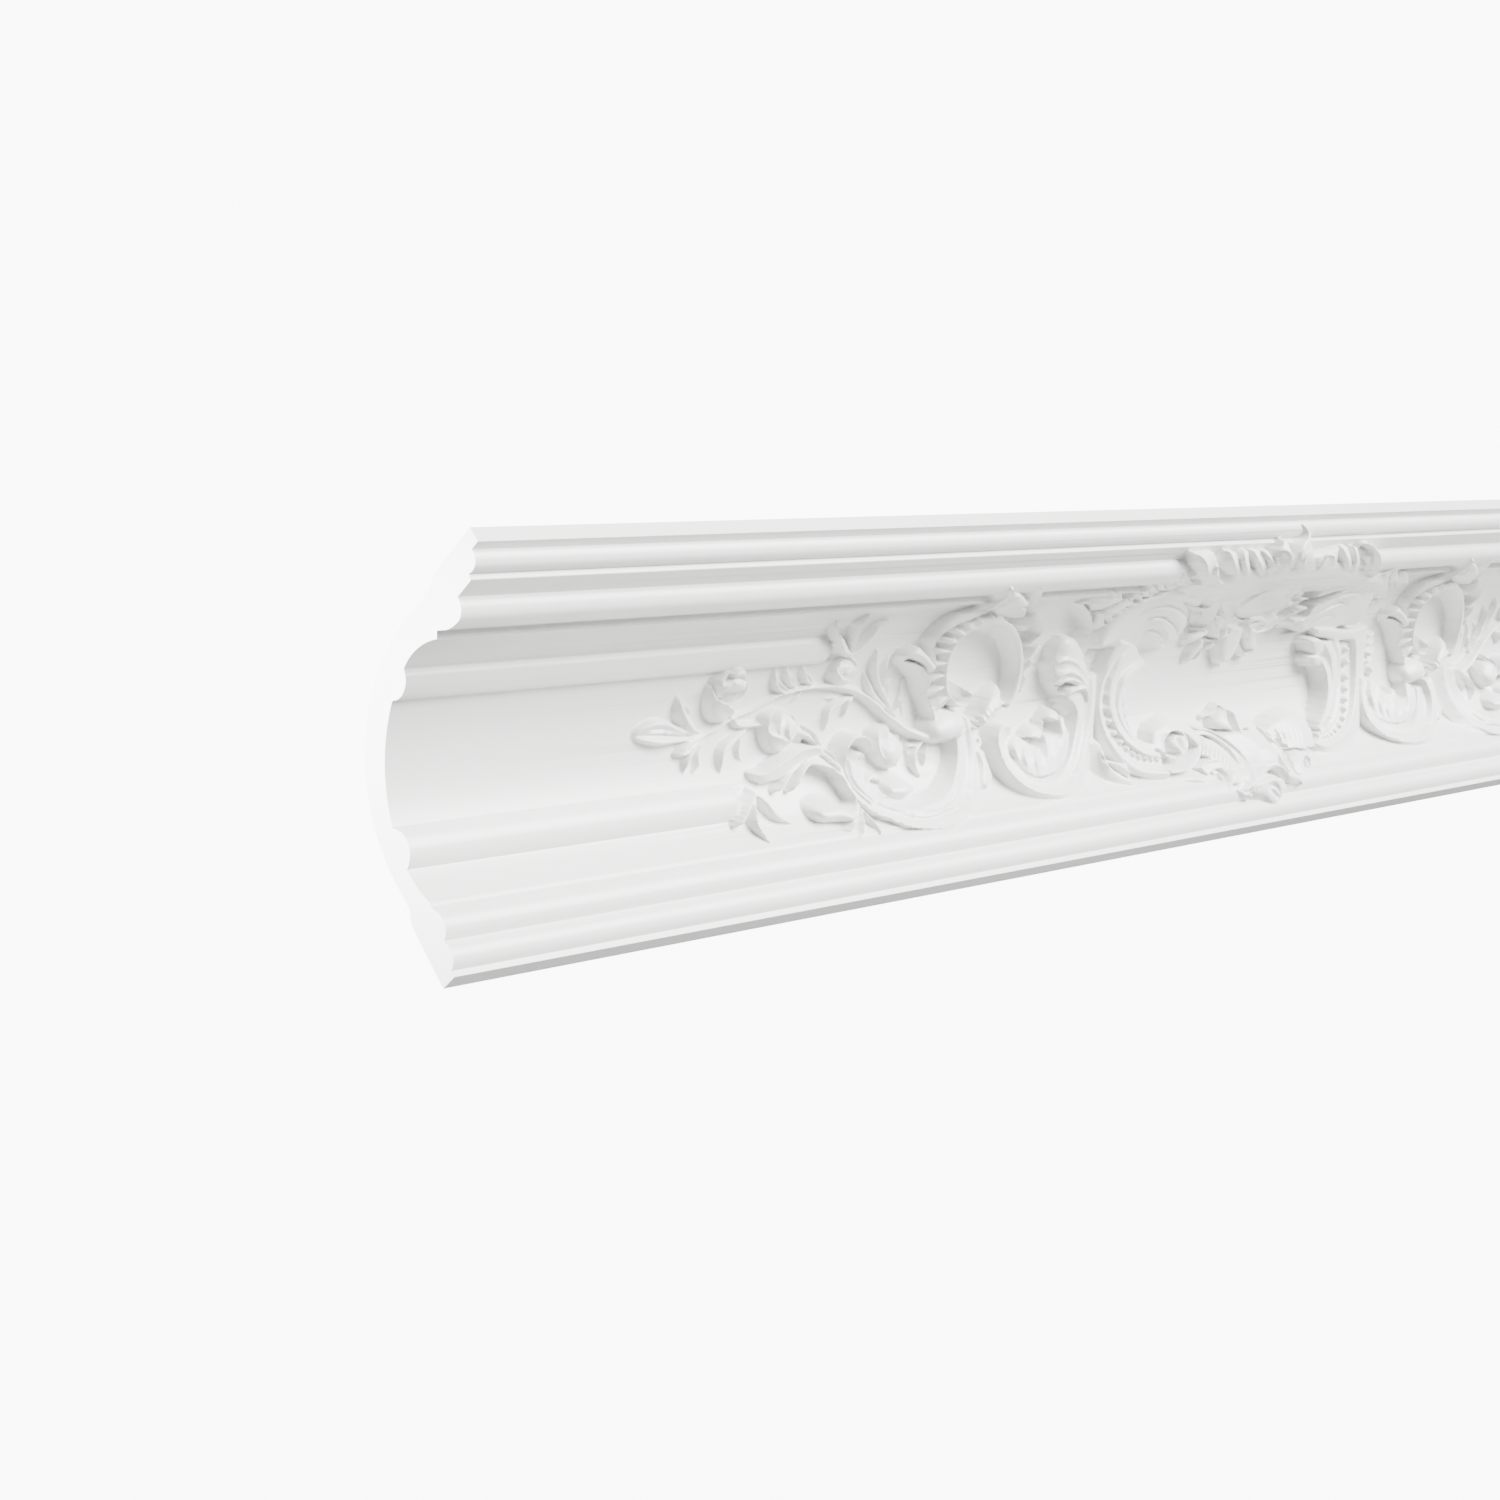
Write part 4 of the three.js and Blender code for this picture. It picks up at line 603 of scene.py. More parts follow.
face([(633.5, -31, 4), (623, -36.5, 5), (618.1, -39.7, 5.5)], [(629.3, -32.2, 8), (620.8, -36.7, 9),
     (618, -40.2, 7.5)], [(632.9, -32.6, 7), (626.2, -36.3, 7.6), (624.3, -39.3, 6)], bulge=0.3)
face([(638.3, -32.2, 4), (627.3, -37.7, 5), (622.8, -40.5, 5.5)], [(634, -33.3, 8), (625.1, -37.9, 9),
     (622.6, -41, 7.5)], [(637.6, -33.7, 7), (630.6, -37.4, 7.6), (629, -40.1, 6)], bulge=0.3)

# ---- C-scrolls of the cartouche
# Two facing C-scrolls frame the cartouche, each a raised rib with a string of beads and short ribs
# inside it: first the left one,
seam_7 = ((412.2, -13.5, 8.5), (405.1, -9.3, 8.5), (399.5, -4, 8.5), (395.7, 2.2, 8.4), (393.8, 8.7, 8.2),
          (393.1, 14.5, 8), (393.5, 20.2, 7.8), (395.3, 26.7, 7.6), (399.1, 32.3, 7.4), (404.7, 37.6, 7.2),
          (412.5, 41, 7), (427.9, 43.1, 7))
face([(402.9, -5.9, 0), (399.8, 0, 0), (398.2, 6.6, 0), (397.2, 13.1, 0), (395.6, 19.5, 0),
     (393.6, 25.6, 0), (394.5, 31.2, 0), (397.3, 36.1, 0), (402, 41, 0), (409.6, 43.8, 0), (419.3, 45.8, 0),
     (432.5, 46.5, 0)], [(404, -15.6, 9), (399.5, -11, 7.5), (397.4, -5.2, 6), (395.3, 1.9, 5),
     (393.7, 9.2, 5), (393, 15.6, 5), (392.8, 22, 5), (394.1, 28.4, 5), (397, 34.3, 5), (402.4, 39.5, 5),
     (410.7, 43.1, 4.5), (429.1, 44.7, 4.5)], seam_7, bulge=0.5)
seam_8 = ((420.2, -12, 4.4), (413.4, -7.6, 4.4), (407.6, -2.3, 4.4), (403.9, 3.7, 4.2), (401.7, 10.2, 4.2),
          (400.8, 15.6, 4.2), (401, 20.9, 4.2), (402.6, 26.9, 4.2), (406.3, 32, 4.2), (411.4, 36.7, 4.2),
          (418.7, 39.7, 4.2), (429.9, 40.7, 4.2))
face(seam_7, seam_8)
seam_9 = ((420.6, -11.2, 4.4), (414.8, -7.1, 4.4), (409.5, -1.8, 4.4), (406.4, 4.1, 4.2),
          (404.7, 10.4, 4.2), (404.2, 16.2, 4.2), (404.8, 20.9, 4.2), (406.9, 26.3, 4.2),
          (410.3, 30.9, 4.2), (415.3, 35, 4.2), (421.9, 37.5, 4.2), (432, 38.9, 4.2))
face(seam_8, seam_9, bulge=-0.3)
face(seam_9, [(418.8, -11.7, 6), (409.7, -9, 8.2), (404.5, -2.5, 8.6), (401.5, 3.3, 8.6), (400.2, 9.8, 8.6),
     (400.5, 16.3, 8.6), (402.7, 22.9, 8.4), (406.6, 28.1, 8.2), (412.2, 32.3, 8), (419.2, 35.3, 7.6),
     (428.9, 36.9, 7)], [(423.8, -10, 5), (413.5, -7.7, 8), (406.7, -1.5, 8.8), (403.3, 3.9, 8.8),
     (401.9, 9.9, 8.8), (402.5, 15.9, 8.8), (405.1, 21.8, 8.6), (409.4, 27.5, 8.4), (415.4, 31.6, 8),
     (422.2, 34.2, 7.6), (430.5, 35.9, 6.6)], [(428.3, -7.2, 3.5), (419.8, -4.9, 5.4), (412.6, 0.2, 6.4),
     (408.7, 5.5, 6.6), (407.2, 10.6, 6.6), (407.5, 16.4, 6.6), (409.9, 21.9, 6.6), (413.9, 27.5, 6.4),
     (419.3, 31.4, 6.2), (425.6, 33.6, 6)], [(433.8, -3.2, 3.6), (421.8, -1.9, 7.4), (412.8, 0.6, 9),
     (408.6, 5.9, 9.2), (406.3, 11.6, 9.2), (406.1, 17.4, 9.2), (408.2, 23.2, 9), (413, 28.6, 8.4),
     (419.4, 32.1, 7.6), (426.7, 34, 6.6)], [(436.2, -2, 2.4), (426.6, 0.1, 5), (416.8, 2.2, 7.6),
     (412.3, 6.9, 8), (410, 12.2, 8), (409.6, 17.9, 8), (411.3, 23.5, 8), (415.9, 28.4, 7.4),
     (421.7, 31.5, 6.8), (428.4, 33.4, 6)], [(438.7, -1, 1), (427.9, 1.4, 4.4), (417.6, 3.6, 8),
     (412.9, 7.3, 9.2), (410.7, 12, 9.6), (410.4, 17.6, 9.6), (411.9, 23.4, 9.4), (416, 27.9, 8.6),
     (422, 30.6, 7.4), (428.6, 32.8, 6.4)])
line(dome, (411.5, -13.6, 1, 8.9), (404.5, -9.4, 1, 8.9), (398.9, -4.1, 1, 8.9), (395.1, 2.1, 1, 8.8),
     (393.3, 8.6, 1, 8.6), (392.6, 14.4, 1, 8.4), (393, 20.1, 1, 8.2), (394.8, 26.6, 1, 8),
     (398.6, 32.2, 1, 7.8), (404.2, 37.5, 1, 7.6), (412.1, 40.9, 1, 7.4), (427.4, 43, 1, 7.4), wall=0.8)
line(dome, (418.3, -11.8, 0.75, 6.3), (409.2, -9.1, 0.75, 8.5), (404, -2.6, 0.75, 8.9),
     (401, 3.2, 0.75, 8.9), (399.7, 9.7, 0.75, 8.9), (400, 16.3, 0.75, 8.9), (402.3, 22.8, 0.75, 8.8),
     (406.1, 28, 0.75, 8.5), (411.7, 32.2, 0.75, 8.3), (418.8, 35.2, 0.75, 7.9), (428.4, 36.8, 0.75, 7.3),
     wall=0.8)
line(dome, (423.4, -10.1, 0.75, 5.3), (413.1, -7.8, 0.75, 8.3), (406.2, -1.6, 0.75, 9.1),
     (402.9, 3.9, 0.75, 9.1), (401.5, 9.8, 0.75, 9.1), (402.1, 15.8, 0.75, 9.1), (404.7, 21.7, 0.75, 8.9),
     (409, 27.4, 0.75, 8.7), (415, 31.5, 0.75, 8.3), (421.8, 34.1, 0.75, 7.9), (430.1, 35.8, 0.75, 6.9),
     wall=0.8)
line(dome, (433.2, -3.3, 0.8, 4), (421.3, -2, 0.8, 7.8), (412.3, 0.5, 0.8, 9.4), (408.1, 5.8, 0.8, 9.6),
     (405.7, 11.5, 0.8, 9.6), (405.5, 17.3, 0.8, 9.6), (407.7, 23.1, 0.8, 9.4), (412.5, 28.5, 0.8, 8.8),
     (418.9, 32, 0.8, 8), (426.3, 33.9, 0.8, 7), wall=0.8)
line(dome, (438.4, -1, 0.7, 1.2), (427.6, 1.4, 0.7, 4.6), (417.3, 3.6, 0.7, 8.2), (412.7, 7.2, 0.7, 9.4),
     (410.4, 11.9, 0.7, 9.8), (410.1, 17.6, 0.7, 9.8), (411.6, 23.4, 0.7, 9.6), (415.7, 27.9, 0.7, 8.8),
     (421.8, 30.6, 0.7, 7.6), (428.3, 32.7, 0.7, 6.6), wall=0.8)
beads((410.2, -9, 1.4, 6.8), (406.4, -5.1, 1.84, 7.5), (402.2, 1.2, 2.16, 8), (400, 8.4, 2.27, 8.2),
      (399, 14.3, 2.21, 8.1), (399.5, 19.9, 2.16, 8), (401.4, 25, 2.05, 7.8), (404.4, 29, 1.94, 7.7),
      (407.5, 32.1, 1.84, 7.5), (410.9, 34.4, 1.62, 7.1), (414.3, 36, 1.51, 7), (418.2, 37.1, 1.4, 6.8),
      (422.3, 37.8, 1.3, 6.6), (426.6, 38.2, 1.19, 6.5))
# then the right one.
face([(577.8, 6.1, 0), (579.6, 11.8, 0), (580.5, 17.5, 0), (578.8, 22.9, 0), (576, 26.7, 0),
     (571.3, 30.6, 0), (567.6, 32.9, 0.5), (564.9, 35.4, 2)], [(575.5, 4.9, 8), (579.1, 8.4, 9.6),
     (580, 12.8, 10.4), (579, 18.3, 10.6), (576, 23.6, 10.4), (571.7, 28, 9.8), (565.3, 33, 8.6),
     (562.5, 34.8, 7.6)], bulge=0.8)
face([(566.7, -1.5, 1.5), (565.4, -5.8, 2), (566.8, -7.9, 3), (569.6, -8.4, 4)], [(566.5, -1.6, 8.4),
     (564.8, -5.2, 9.4), (564.6, -7.6, 9.6), (567.5, -8.5, 9)], [(575.2, 1.8, 8), (577.7, -1.1, 9),
     (578.1, -4, 9.2), (576.7, -6.5, 8.6)], bulge=1)
face([(569.6, 4.5, 1), (568.5, 2.3, 1.6), (568.2, 1, 2.4)], [(568.8, 6.2, 7.6), (567.6, 3.3, 8.8),
     (566.9, 0.4, 9)], [(574.8, 6.3, 8), (576.3, 4.5, 9.4), (575.7, 1.6, 9.6)], bulge=1)
line(table((-1, 0.85), (-0.4, 1), (0.3, 0.9), (1, 0.7)), (563.8, -6.9, 1.8, 9.4), (569.4, -6.7, 2.2, 10.2),
     (576.8, -3.5, 2.2, 10.6), (582.5, 1.4, 2, 10.6), (585.3, 8.2, 1.6, 10.4), (584.8, 15.5, 1.4, 10.2),
     (581.3, 22.4, 1.3, 10), (575.3, 28.3, 1.2, 9.6), (568.8, 32.5, 1, 8.6), (564.3, 34.6, 0.8, 7.6))
line(table((-1, 0.9), (-0.4, 1), (0.3, 0.9), (1, 0.75)), (566.2, 2, 1.8, 9), (570.4, 1.8, 2, 10),
     (575.5, 4.5, 1.8, 10.8), (578.9, 9.4, 1.4, 11), (579.4, 15.8, 1.2, 11), (576.8, 22, 1.1, 10.8),
     (572, 27.6, 1, 10.2), (565.7, 32.6, 0.8, 8.8))
face([(562.5, 34.8, 7.6), (571.7, 28, 9.8), (576, 23.6, 10.4), (579, 18.3, 10.6), (580, 12.8, 10.4),
     (579.1, 8.4, 9.6), (575.5, 4.9, 8)], [(566, 36.1, 7), (580.5, 28.8, 8.4), (586.2, 22.9, 8.8),
     (589.3, 16.8, 9), (589.8, 8.7, 9.2), (587.7, 0.3, 9), (579.5, -5.9, 8)], bulge=-0.5)
seam_10 = ((588.7, -6.2, 8), (594.1, 0.7, 8.6), (595.2, 9.1, 8.6), (593.4, 17.1, 8.6), (590, 23.2, 8.6),
           (584.5, 29.1, 8.4), (577.7, 33.4, 8), (569, 36.3, 7.4), (561.6, 37.3, 7))
face([(579.5, -5.9, 8), (587.7, 0.3, 9), (589.8, 8.7, 9.2), (589.3, 16.8, 9), (586.2, 22.9, 8.8),
     (580.5, 28.8, 8.4), (572.5, 33.7, 7.6), (566, 36.1, 7)], seam_10, bulge=-0.8)
seam_11 = ((598.3, -4.7, 5.4), (599.1, 1.4, 5.4), (599.4, 9.8, 5.4), (597.5, 17.8, 5.4), (594.1, 23.9, 5.4),
           (587.7, 30.5, 5.4), (580.7, 34.4, 5.4), (570.7, 37, 5.4), (562.9, 37.7, 5.4))
face(seam_10, seam_11)
seam_12 = ((607.4, -4.2, 5.4), (609.8, 2.1, 5.4), (610, 10.4, 5.4), (607.5, 18.4, 5.4), (603.8, 24.6, 5.4),
           (597.6, 31.2, 5.4), (587.8, 36.5, 5.4), (576.9, 39.4, 5.4), (564.5, 40.6, 5.4),
           (559.5, 39.8, 5.4))
face(seam_11, seam_12, bulge=-0.3)
seam_13 = ((618.8, -4.6, 8), (619, 2.3, 7), (621.1, 11.1, 5.5), (619.5, 19.2, 5), (616.8, 25.5, 4.5),
           (611.1, 31.5, 4), (604.3, 36.4, 3.6), (593, 41.6, 3.2), (578.7, 44.8, 3), (565.4, 45.3, 3),
           (556.6, 43.3, 3))
face(seam_12, [(608.9, -5, 8), (611.5, 1.8, 8), (611.6, 10.1, 8), (609.3, 18.2, 7.9), (605.8, 24.4, 7.8),
     (599.5, 31, 7.6), (588.7, 37, 7.3), (575.6, 40.7, 7), (561.8, 41.9, 6.8), (555.1, 40.2, 6.8)], seam_13)
face(seam_13, [(635.8, -1.7, 0), (634.4, 4.2, 0), (632.8, 12.5, 0), (629.9, 20.6, 0), (625.6, 26.8, 0),
     (619.2, 32.6, 0), (610.7, 38.1, 0), (596.9, 44.1, 0), (581.7, 47.5, 0), (568, 48.3, 0),
     (555.9, 46.4, 0)])
line(dome, (588.2, -6.3, 0.7, 8.3), (593.6, 0.6, 0.7, 8.9), (594.7, 9, 0.7, 8.9), (592.9, 17, 0.7, 8.9),
     (589.5, 23.1, 0.7, 8.9), (584, 29, 0.7, 8.7), (577.3, 33.3, 0.7, 8.3), (568.6, 36.2, 0.7, 7.7),
     (561.2, 37.2, 0.7, 7.3), wall=0.8)
line(dome, (608.3, -5.1, 0.9, 8.3), (611, 1.7, 0.9, 8.3), (611.1, 10.1, 0.9, 8.3), (608.8, 18.1, 0.9, 8.2),
     (605.3, 24.3, 0.9, 8.1), (599, 30.9, 0.9, 7.9), (588.3, 37, 0.9, 7.6), (575.2, 40.6, 0.9, 7.3),
     (561.4, 41.8, 0.9, 7.1), (554.7, 40.1, 0.9, 7.1), wall=0.8)
beads((603.9, -0.3, 2.05, 8.2), (603.9, 5.7, 2.48, 8.7), (602.8, 13.1, 2.48, 8.7), (601, 18.6, 2.32, 8.5),
      (598.5, 23.5, 2.21, 8.4), (595.2, 27.9, 2.11, 8.2), (590.9, 31.9, 1.94, 8), (585.1, 34.9, 1.73, 7.7),
      (579.3, 36.7, 1.51, 7.4), (574.4, 37.8, 1.35, 7.2), (570.4, 38.4, 1.24, 7.1), (567.2, 38.7, 1.19, 7),
      (564.7, 38.7, 1.08, 6.9), (562.7, 38.4, 1.03, 6.8))
face([(566, -13.4, 8.4), (586, -11.5, 8.2), (605.9, -10.5, 8), (618.8, -12.3, 7.4)], [(571.8, -8.9, 8.2),
     (590.4, -6, 8), (605.1, -4.8, 8), (621.2, -3.1, 7.4)])

# ---- backs and horns of the scrolls
# The notched back and the fluted horn are drawn on the left scroll and again, turned about the
# middle of the cartouche, on the right one.
CARTOUCHE_MIDDLE = 498.5
for turned_about in (None, CARTOUCHE_MIDDLE):
    line(blade, (382.3, -28.9, 0.6, 7), (381.2, -27.3, 1.4, 8.5), (382.8, -25, 1.1, 10),
         (388.1, -24.1, 0.5, 9.5))
    line(blade, (383.8, -31.7, 0.6, 7.5), (382.7, -30.1, 1.4, 9), (384.8, -27.7, 1.1, 10.3),
         (390.2, -26.8, 0.5, 9.8))
    line(blade, (385.3, -34.2, 0.6, 8), (384.3, -32.8, 1.4, 9.5), (387, -30.3, 1.1, 10.7),
         (392.5, -29.4, 0.5, 10.2))
    line(blade, (387.6, -36.4, 0.6, 8.5), (386.6, -35.1, 1.4, 10), (389.8, -32.5, 1.1, 11.1),
         (395.4, -31.6, 0.5, 10.6))
    line(blade, (390, -38.6, 0.6, 9), (389.1, -37.3, 1.4, 10.5), (392.9, -34.7, 1.1, 11.4),
         (398.6, -33.8, 0.5, 10.9))
    line(blade, (392.3, -40.7, 0.6, 9.5), (391.5, -39.5, 1.4, 11), (395.9, -36.8, 1.1, 11.8),
         (401.8, -35.9, 0.5, 11.2))
    line(blade, (395.1, -42.3, 0.6, 10), (394.3, -41.1, 1.4, 11.5), (399.3, -38.4, 1.1, 12.1),
         (405.3, -37.5, 0.5, 11.6))
    line(blade, (397.6, -43.8, 0.6, 10.5), (396.8, -42.8, 1.4, 12), (402.5, -40, 1.1, 12.4),
         (408.6, -39, 0.5, 11.9))
    line(blade, (400.8, -45, 0.6, 11), (399.8, -44, 1.4, 12.5), (406.2, -41.2, 1.1, 12.8),
         (412.4, -40.2, 0.5, 12.3))
    face([(389.9, -12.2, 0), (389.2, -19.6, 0), (393.4, -25.1, 0), (398.6, -31.8, 2), (404, -36.4, 5),
         (409.8, -40, 8), (421, -41.3, 9.5), (439.7, -39.9, 9)], [(388.2, -13.1, 6), (387, -20.8, 7),
         (388.5, -27, 8.5), (393.5, -33, 10), (402, -36.6, 11.5), (415.6, -37.9, 12.5), (432, -36.2, 12.5),
         (447.4, -33.6, 11)], [(391, -12.3, 7.5), (390.2, -19.5, 9), (392.9, -26, 10), (398.4, -31.4, 11),
         (406, -34, 12), (418, -34.9, 12.5), (435.6, -32.7, 12), (450, -29.5, 10)], bulge=0.3)
    face([(391, -12.3, 7.5), (390.2, -19.5, 9), (392.9, -26, 10), (398.4, -31.4, 11), (405.4, -34.1, 12.4),
         (416.5, -35.1, 13.4), (432, -32.6, 13.4), (444.7, -26.1, 12)], [(396.5, -12.8, 6.6),
         (398, -18.5, 8.2), (402.1, -23.1, 9.4), (407.1, -26.3, 10.4), (412.8, -28.6, 11.4),
         (421.3, -29.5, 12.4), (434.4, -26.9, 12.4), (447.3, -19.5, 10.6)], [(402.6, -12.3, 5.6),
         (405.6, -16, 7), (409.4, -18.8, 8), (413.3, -21.1, 9), (417.2, -22.6, 9.8), (423, -23.2, 10.8),
         (433.5, -20.7, 10.8), (445.3, -13.6, 8.6)], [(410.3, -10.7, 4.4), (414.3, -12.9, 5.2),
         (417.1, -14.3, 6), (419.9, -15.6, 6.8), (423.4, -16, 7.4), (427.7, -16.1, 8.2),
         (433.2, -14.7, 8.2), (438.7, -11.3, 6.6)], [(418.9, -9, 2), (423.3, -9.6, 2), (427.9, -9.8, 2),
         (431.8, -9.8, 2), (435.8, -9.7, 2), (440.6, -9.5, 2), (445.4, -9.3, 2), (449.8, -10.2, 2)],
         smooth=True)
    cut(soft, (403.7, -28.6, 0.78, 0.6), (407.8, -30.9, 1.17, 1.1), (413.4, -32, 1.42, 1.5),
        (420.3, -32.2, 1.5, 1.7), (431.1, -30.3, 1.38, 1.6), (444.3, -24.6, 1.1, 1.2),
        (449.6, -18.6, 0.7, 0.7), wall=1.5)
    cut(soft, (412.4, -24.4, 0.83, 0.7), (416.5, -26, 1.25, 1.5), (421.4, -26.5, 1.48, 1.9),
        (427, -25.7, 1.45, 2), (437.5, -21.6, 1.18, 1.6), (445.8, -15.9, 0.73, 0.9), wall=1.5)
    cut(soft, (417.3, -18, 0.71, 0.6), (420.7, -19.3, 1.08, 1.3), (425.1, -19.5, 1.2, 1.6),
        (430.9, -17.8, 1.02, 1.4), (437.6, -14.2, 0.61, 0.8), wall=1.5)
    line(dome, (408.9, -27.8, 0.5, 11.4), (413.2, -29.5, 0.8, 12.6), (419.7, -29.9, 0.9, 13.2),
         (427.9, -28.7, 0.9, 13.2), (439, -24.5, 0.9, 12.2), (447.1, -17.5, 0.7, 10))
    line(dome, (415.6, -21, 0.5, 9.6), (420.4, -22.2, 0.8, 11), (427, -21.6, 0.9, 11.6),
         (436.1, -17.6, 0.9, 10.8), (441.7, -12.5, 0.7, 8.4))
    line(dome, (419.2, -16.1, 0.5, 7.6), (422.4, -17.1, 0.8, 8.8), (427.7, -17, 0.9, 9.4),
         (434.4, -14.5, 0.9, 9), (436.6, -11.5, 0.7, 7.2))
turned_about = None

# ---- foot of the left scroll
# The rolled foot and the hatched flutes beside it.
face([(426.6, 31.7, 0), (431.4, 27, 0), (438.3, 22.8, 0), (447, 21, 0), (455.9, 22.7, 0), (465, 26.8, 0),
     (472.6, 30.5, 1)], [(425.6, 33.1, 6.5), (427.1, 29, 7), (431, 25.3, 8), (438.1, 23.8, 8.6),
     (446.4, 25, 9), (455, 28.2, 9), (461.9, 31.7, 8.6)], [(435.1, 37.1, 6), (435.2, 32.9, 7),
     (436.9, 29.1, 8.4), (442.8, 27, 9.6), (449.3, 28.5, 10), (453.6, 31.8, 9.8), (457.3, 35.1, 8.6)],
     bulge=1.2)
line(dome, (435.4, 30, 0.8, 9.6), (437.4, 27.3, 1.1, 10.8), (442.2, 26.2, 1.2, 11.4),
     (447.3, 27.9, 1.3, 11.6), (448.8, 31.6, 1.3, 11.4), (445.9, 35.2, 1.2, 10.6), (440.1, 37.5, 1, 9.4),
     (434.6, 37.8, 0.8, 8))
face([(439.3, 30.7, 7), (440, 34.4, 5), (441.3, 37.8, 4.5)], [(443.8, 28.2, 9.5), (444.3, 32.6, 8),
     (443.5, 36.8, 7)], [(449.3, 29.7, 10.5), (448.4, 33, 10.5), (444.5, 36.1, 9.5)], bulge=0.6)
line(bud, (441.8, 32.8, 2.6, 9.8), (441.2, 34.1, 3.4, 11), (442.7, 36, 2.6, 9.8))
line(table((-1, 0.8), (-0.3, 1), (0.4, 0.85), (1, 0.6)), (460, 27.3, 0.8, 6), (461.1, 29.9, 1.6, 9),
     (459.3, 34.3, 2, 9.4), (452.8, 38.8, 2, 9), (442.7, 42.2, 1.6, 8), (430.9, 43.1, 1.2, 7))
face([(465.9, 31.6, 6), (471.8, 32.7, 7), (476.6, 35.5, 7.6), (480.5, 39.5, 7.6), (481.1, 44, 7.4),
     (478.8, 48.1, 7), (476.3, 52.1, 6)], [(459.5, 39, 6), (464.6, 40.1, 6.6), (469, 41.6, 6.8),
     (471.6, 43.7, 6.8), (472.7, 46.2, 6.6), (472.2, 49.3, 6.4), (471.1, 52.5, 5.6)], bulge=0.3)
rank(soft, (0.6, 0.95, 0.8, 0.4), (0, 1.6, 0.6, -0.6),
     (8, (468.7, 31.8), (463.6, 34.2), (460.4, 37.5), (459.5, 38.4)),
     (8, (471.1, 32.8), (465.9, 35.2), (462.9, 38.5), (461.9, 39.4)),
     (8, (473.3, 34.1), (468.1, 36.3), (465.3, 39.5), (464.3, 40.4)),
     (8, (475.4, 35.4), (470.2, 37.4), (467.4, 40.5), (466.3, 41.4)),
     (8, (477.2, 36.9), (472, 38.7), (468.9, 41.5), (467.8, 42.4)),
     (8, (478.7, 38.5), (473.7, 40.1), (470.4, 42.6), (469.2, 43.5)),
     (8, (479.6, 40.2), (474.6, 41.6), (471, 43.9), (469.8, 44.8)),
     (8, (480.2, 42), (475.4, 43.1), (471.6, 45.2), (470.2, 46)),
     (8, (480, 43.9), (475.4, 44.8), (471.4, 46.5), (470.2, 47.4)),
     (8, (479, 45.8), (474.7, 46.5), (470.9, 48.1), (469.8, 48.9)),
     (8, (477.2, 47.8), (473.4, 48.3), (470.4, 49.6), (469.4, 50.5)),
     (8, (475.4, 49.8), (472.1, 49.9), (469.3, 50.9), (468.4, 51.9)))

# ---- crest
# Curled leaves to both sides of a flame, over the top of the cartouche.
face([(413.9, -44.7, 6), (417.4, -46.1, 8), (421, -47.5, 10), (437.5, -46.3, 11), (448.8, -49.4, 11.2),
     (467.3, -49, 11.4), (481.2, -50.3, 11.6), (497, -50.7, 12), (514.2, -50.9, 11.8), (534.3, -50.1, 11.2),
     (555.5, -47.1, 10.8), (577.1, -44.8, 10), (604.6, -41.5, 7)], [(416.4, -39.8, 10), (420.7, -41.1, 12),
     (424.8, -42.5, 14), (441.1, -41.3, 15), (452.8, -44.4, 15.2), (471.6, -43.8, 15.4),
     (485.1, -45.2, 15.6), (500.9, -45.5, 16), (518.2, -45.7, 15.8), (539, -44.8, 15.2),
     (560.8, -41.6, 14.8), (581.3, -39.4, 14), (607.2, -36.2, 11)], [(423, -36, 9.2), (427.7, -37.3, 11.2),
     (432.3, -38.6, 13.2), (448.4, -37.4, 14.2), (461.4, -40.3, 14.4), (480.2, -39.8, 14.6),
     (494.5, -41.1, 14.8), (510.6, -41.3, 15.2), (528.3, -41.4, 15), (548.9, -40.5, 14.4),
     (569.6, -37.4, 14), (589.5, -35.2, 13.2), (614.7, -32, 10.2)], [(431.6, -32.1, 6.6),
     (436.6, -33.3, 8.6), (441.6, -34.6, 10.6), (457.7, -33.4, 11.6), (471.6, -36.2, 11.8),
     (490.5, -35.6, 12), (505.5, -36.9, 12.2), (521.9, -37.1, 12.6), (539.9, -37.2, 12.4),
     (560.5, -36.2, 11.8), (580.4, -33.2, 11.4), (599.9, -30.9, 10.6), (624.6, -27.7, 7.6)],
     [(439.7, -28.7, 3.5), (445, -29.9, 5.5), (450.3, -31.1, 7.5), (466.4, -29.9, 8.5), (481, -32.7, 8.7),
     (500, -32.1, 8.9), (515.4, -33.3, 9.1), (532.1, -33.5, 9.5), (550.3, -33.5, 9.3), (570.9, -32.6, 8.7),
     (590.4, -29.5, 8.3), (609.7, -27.3, 7.5), (633.9, -24.1, 4.5)], smooth=True)
face([(429.2, -42.7, 9.5), (418.9, -46.8, 8), (412.4, -50.5, 7), (410.6, -53.6, 5.5)], [(429, -43.5, 15),
     (420.2, -49.5, 14.5), (414, -55, 12), (407.9, -58.3, 9.5)], [(441.5, -41.6, 15.5), (432.4, -48.2, 14),
     (426.1, -54.4, 11), (422.4, -58.8, 8)], bulge=-0.5)
line(dome, (430.9, -42.7, 1, 15.4), (419.6, -49.6, 1.2, 15), (413.3, -55.1, 1.1, 12.6),
     (407.1, -58.4, 0.8, 10))
line(dome, (427.8, -49.2, 0.8, 14), (425.3, -51.9, 1, 14.6), (428.4, -48.5, 1.2, 15.4),
     (436.6, -44.6, 1.3, 16), (447.2, -42, 1.3, 16), (450.5, -44, 1.2, 15.6), (450.5, -47, 0.9, 14.6))
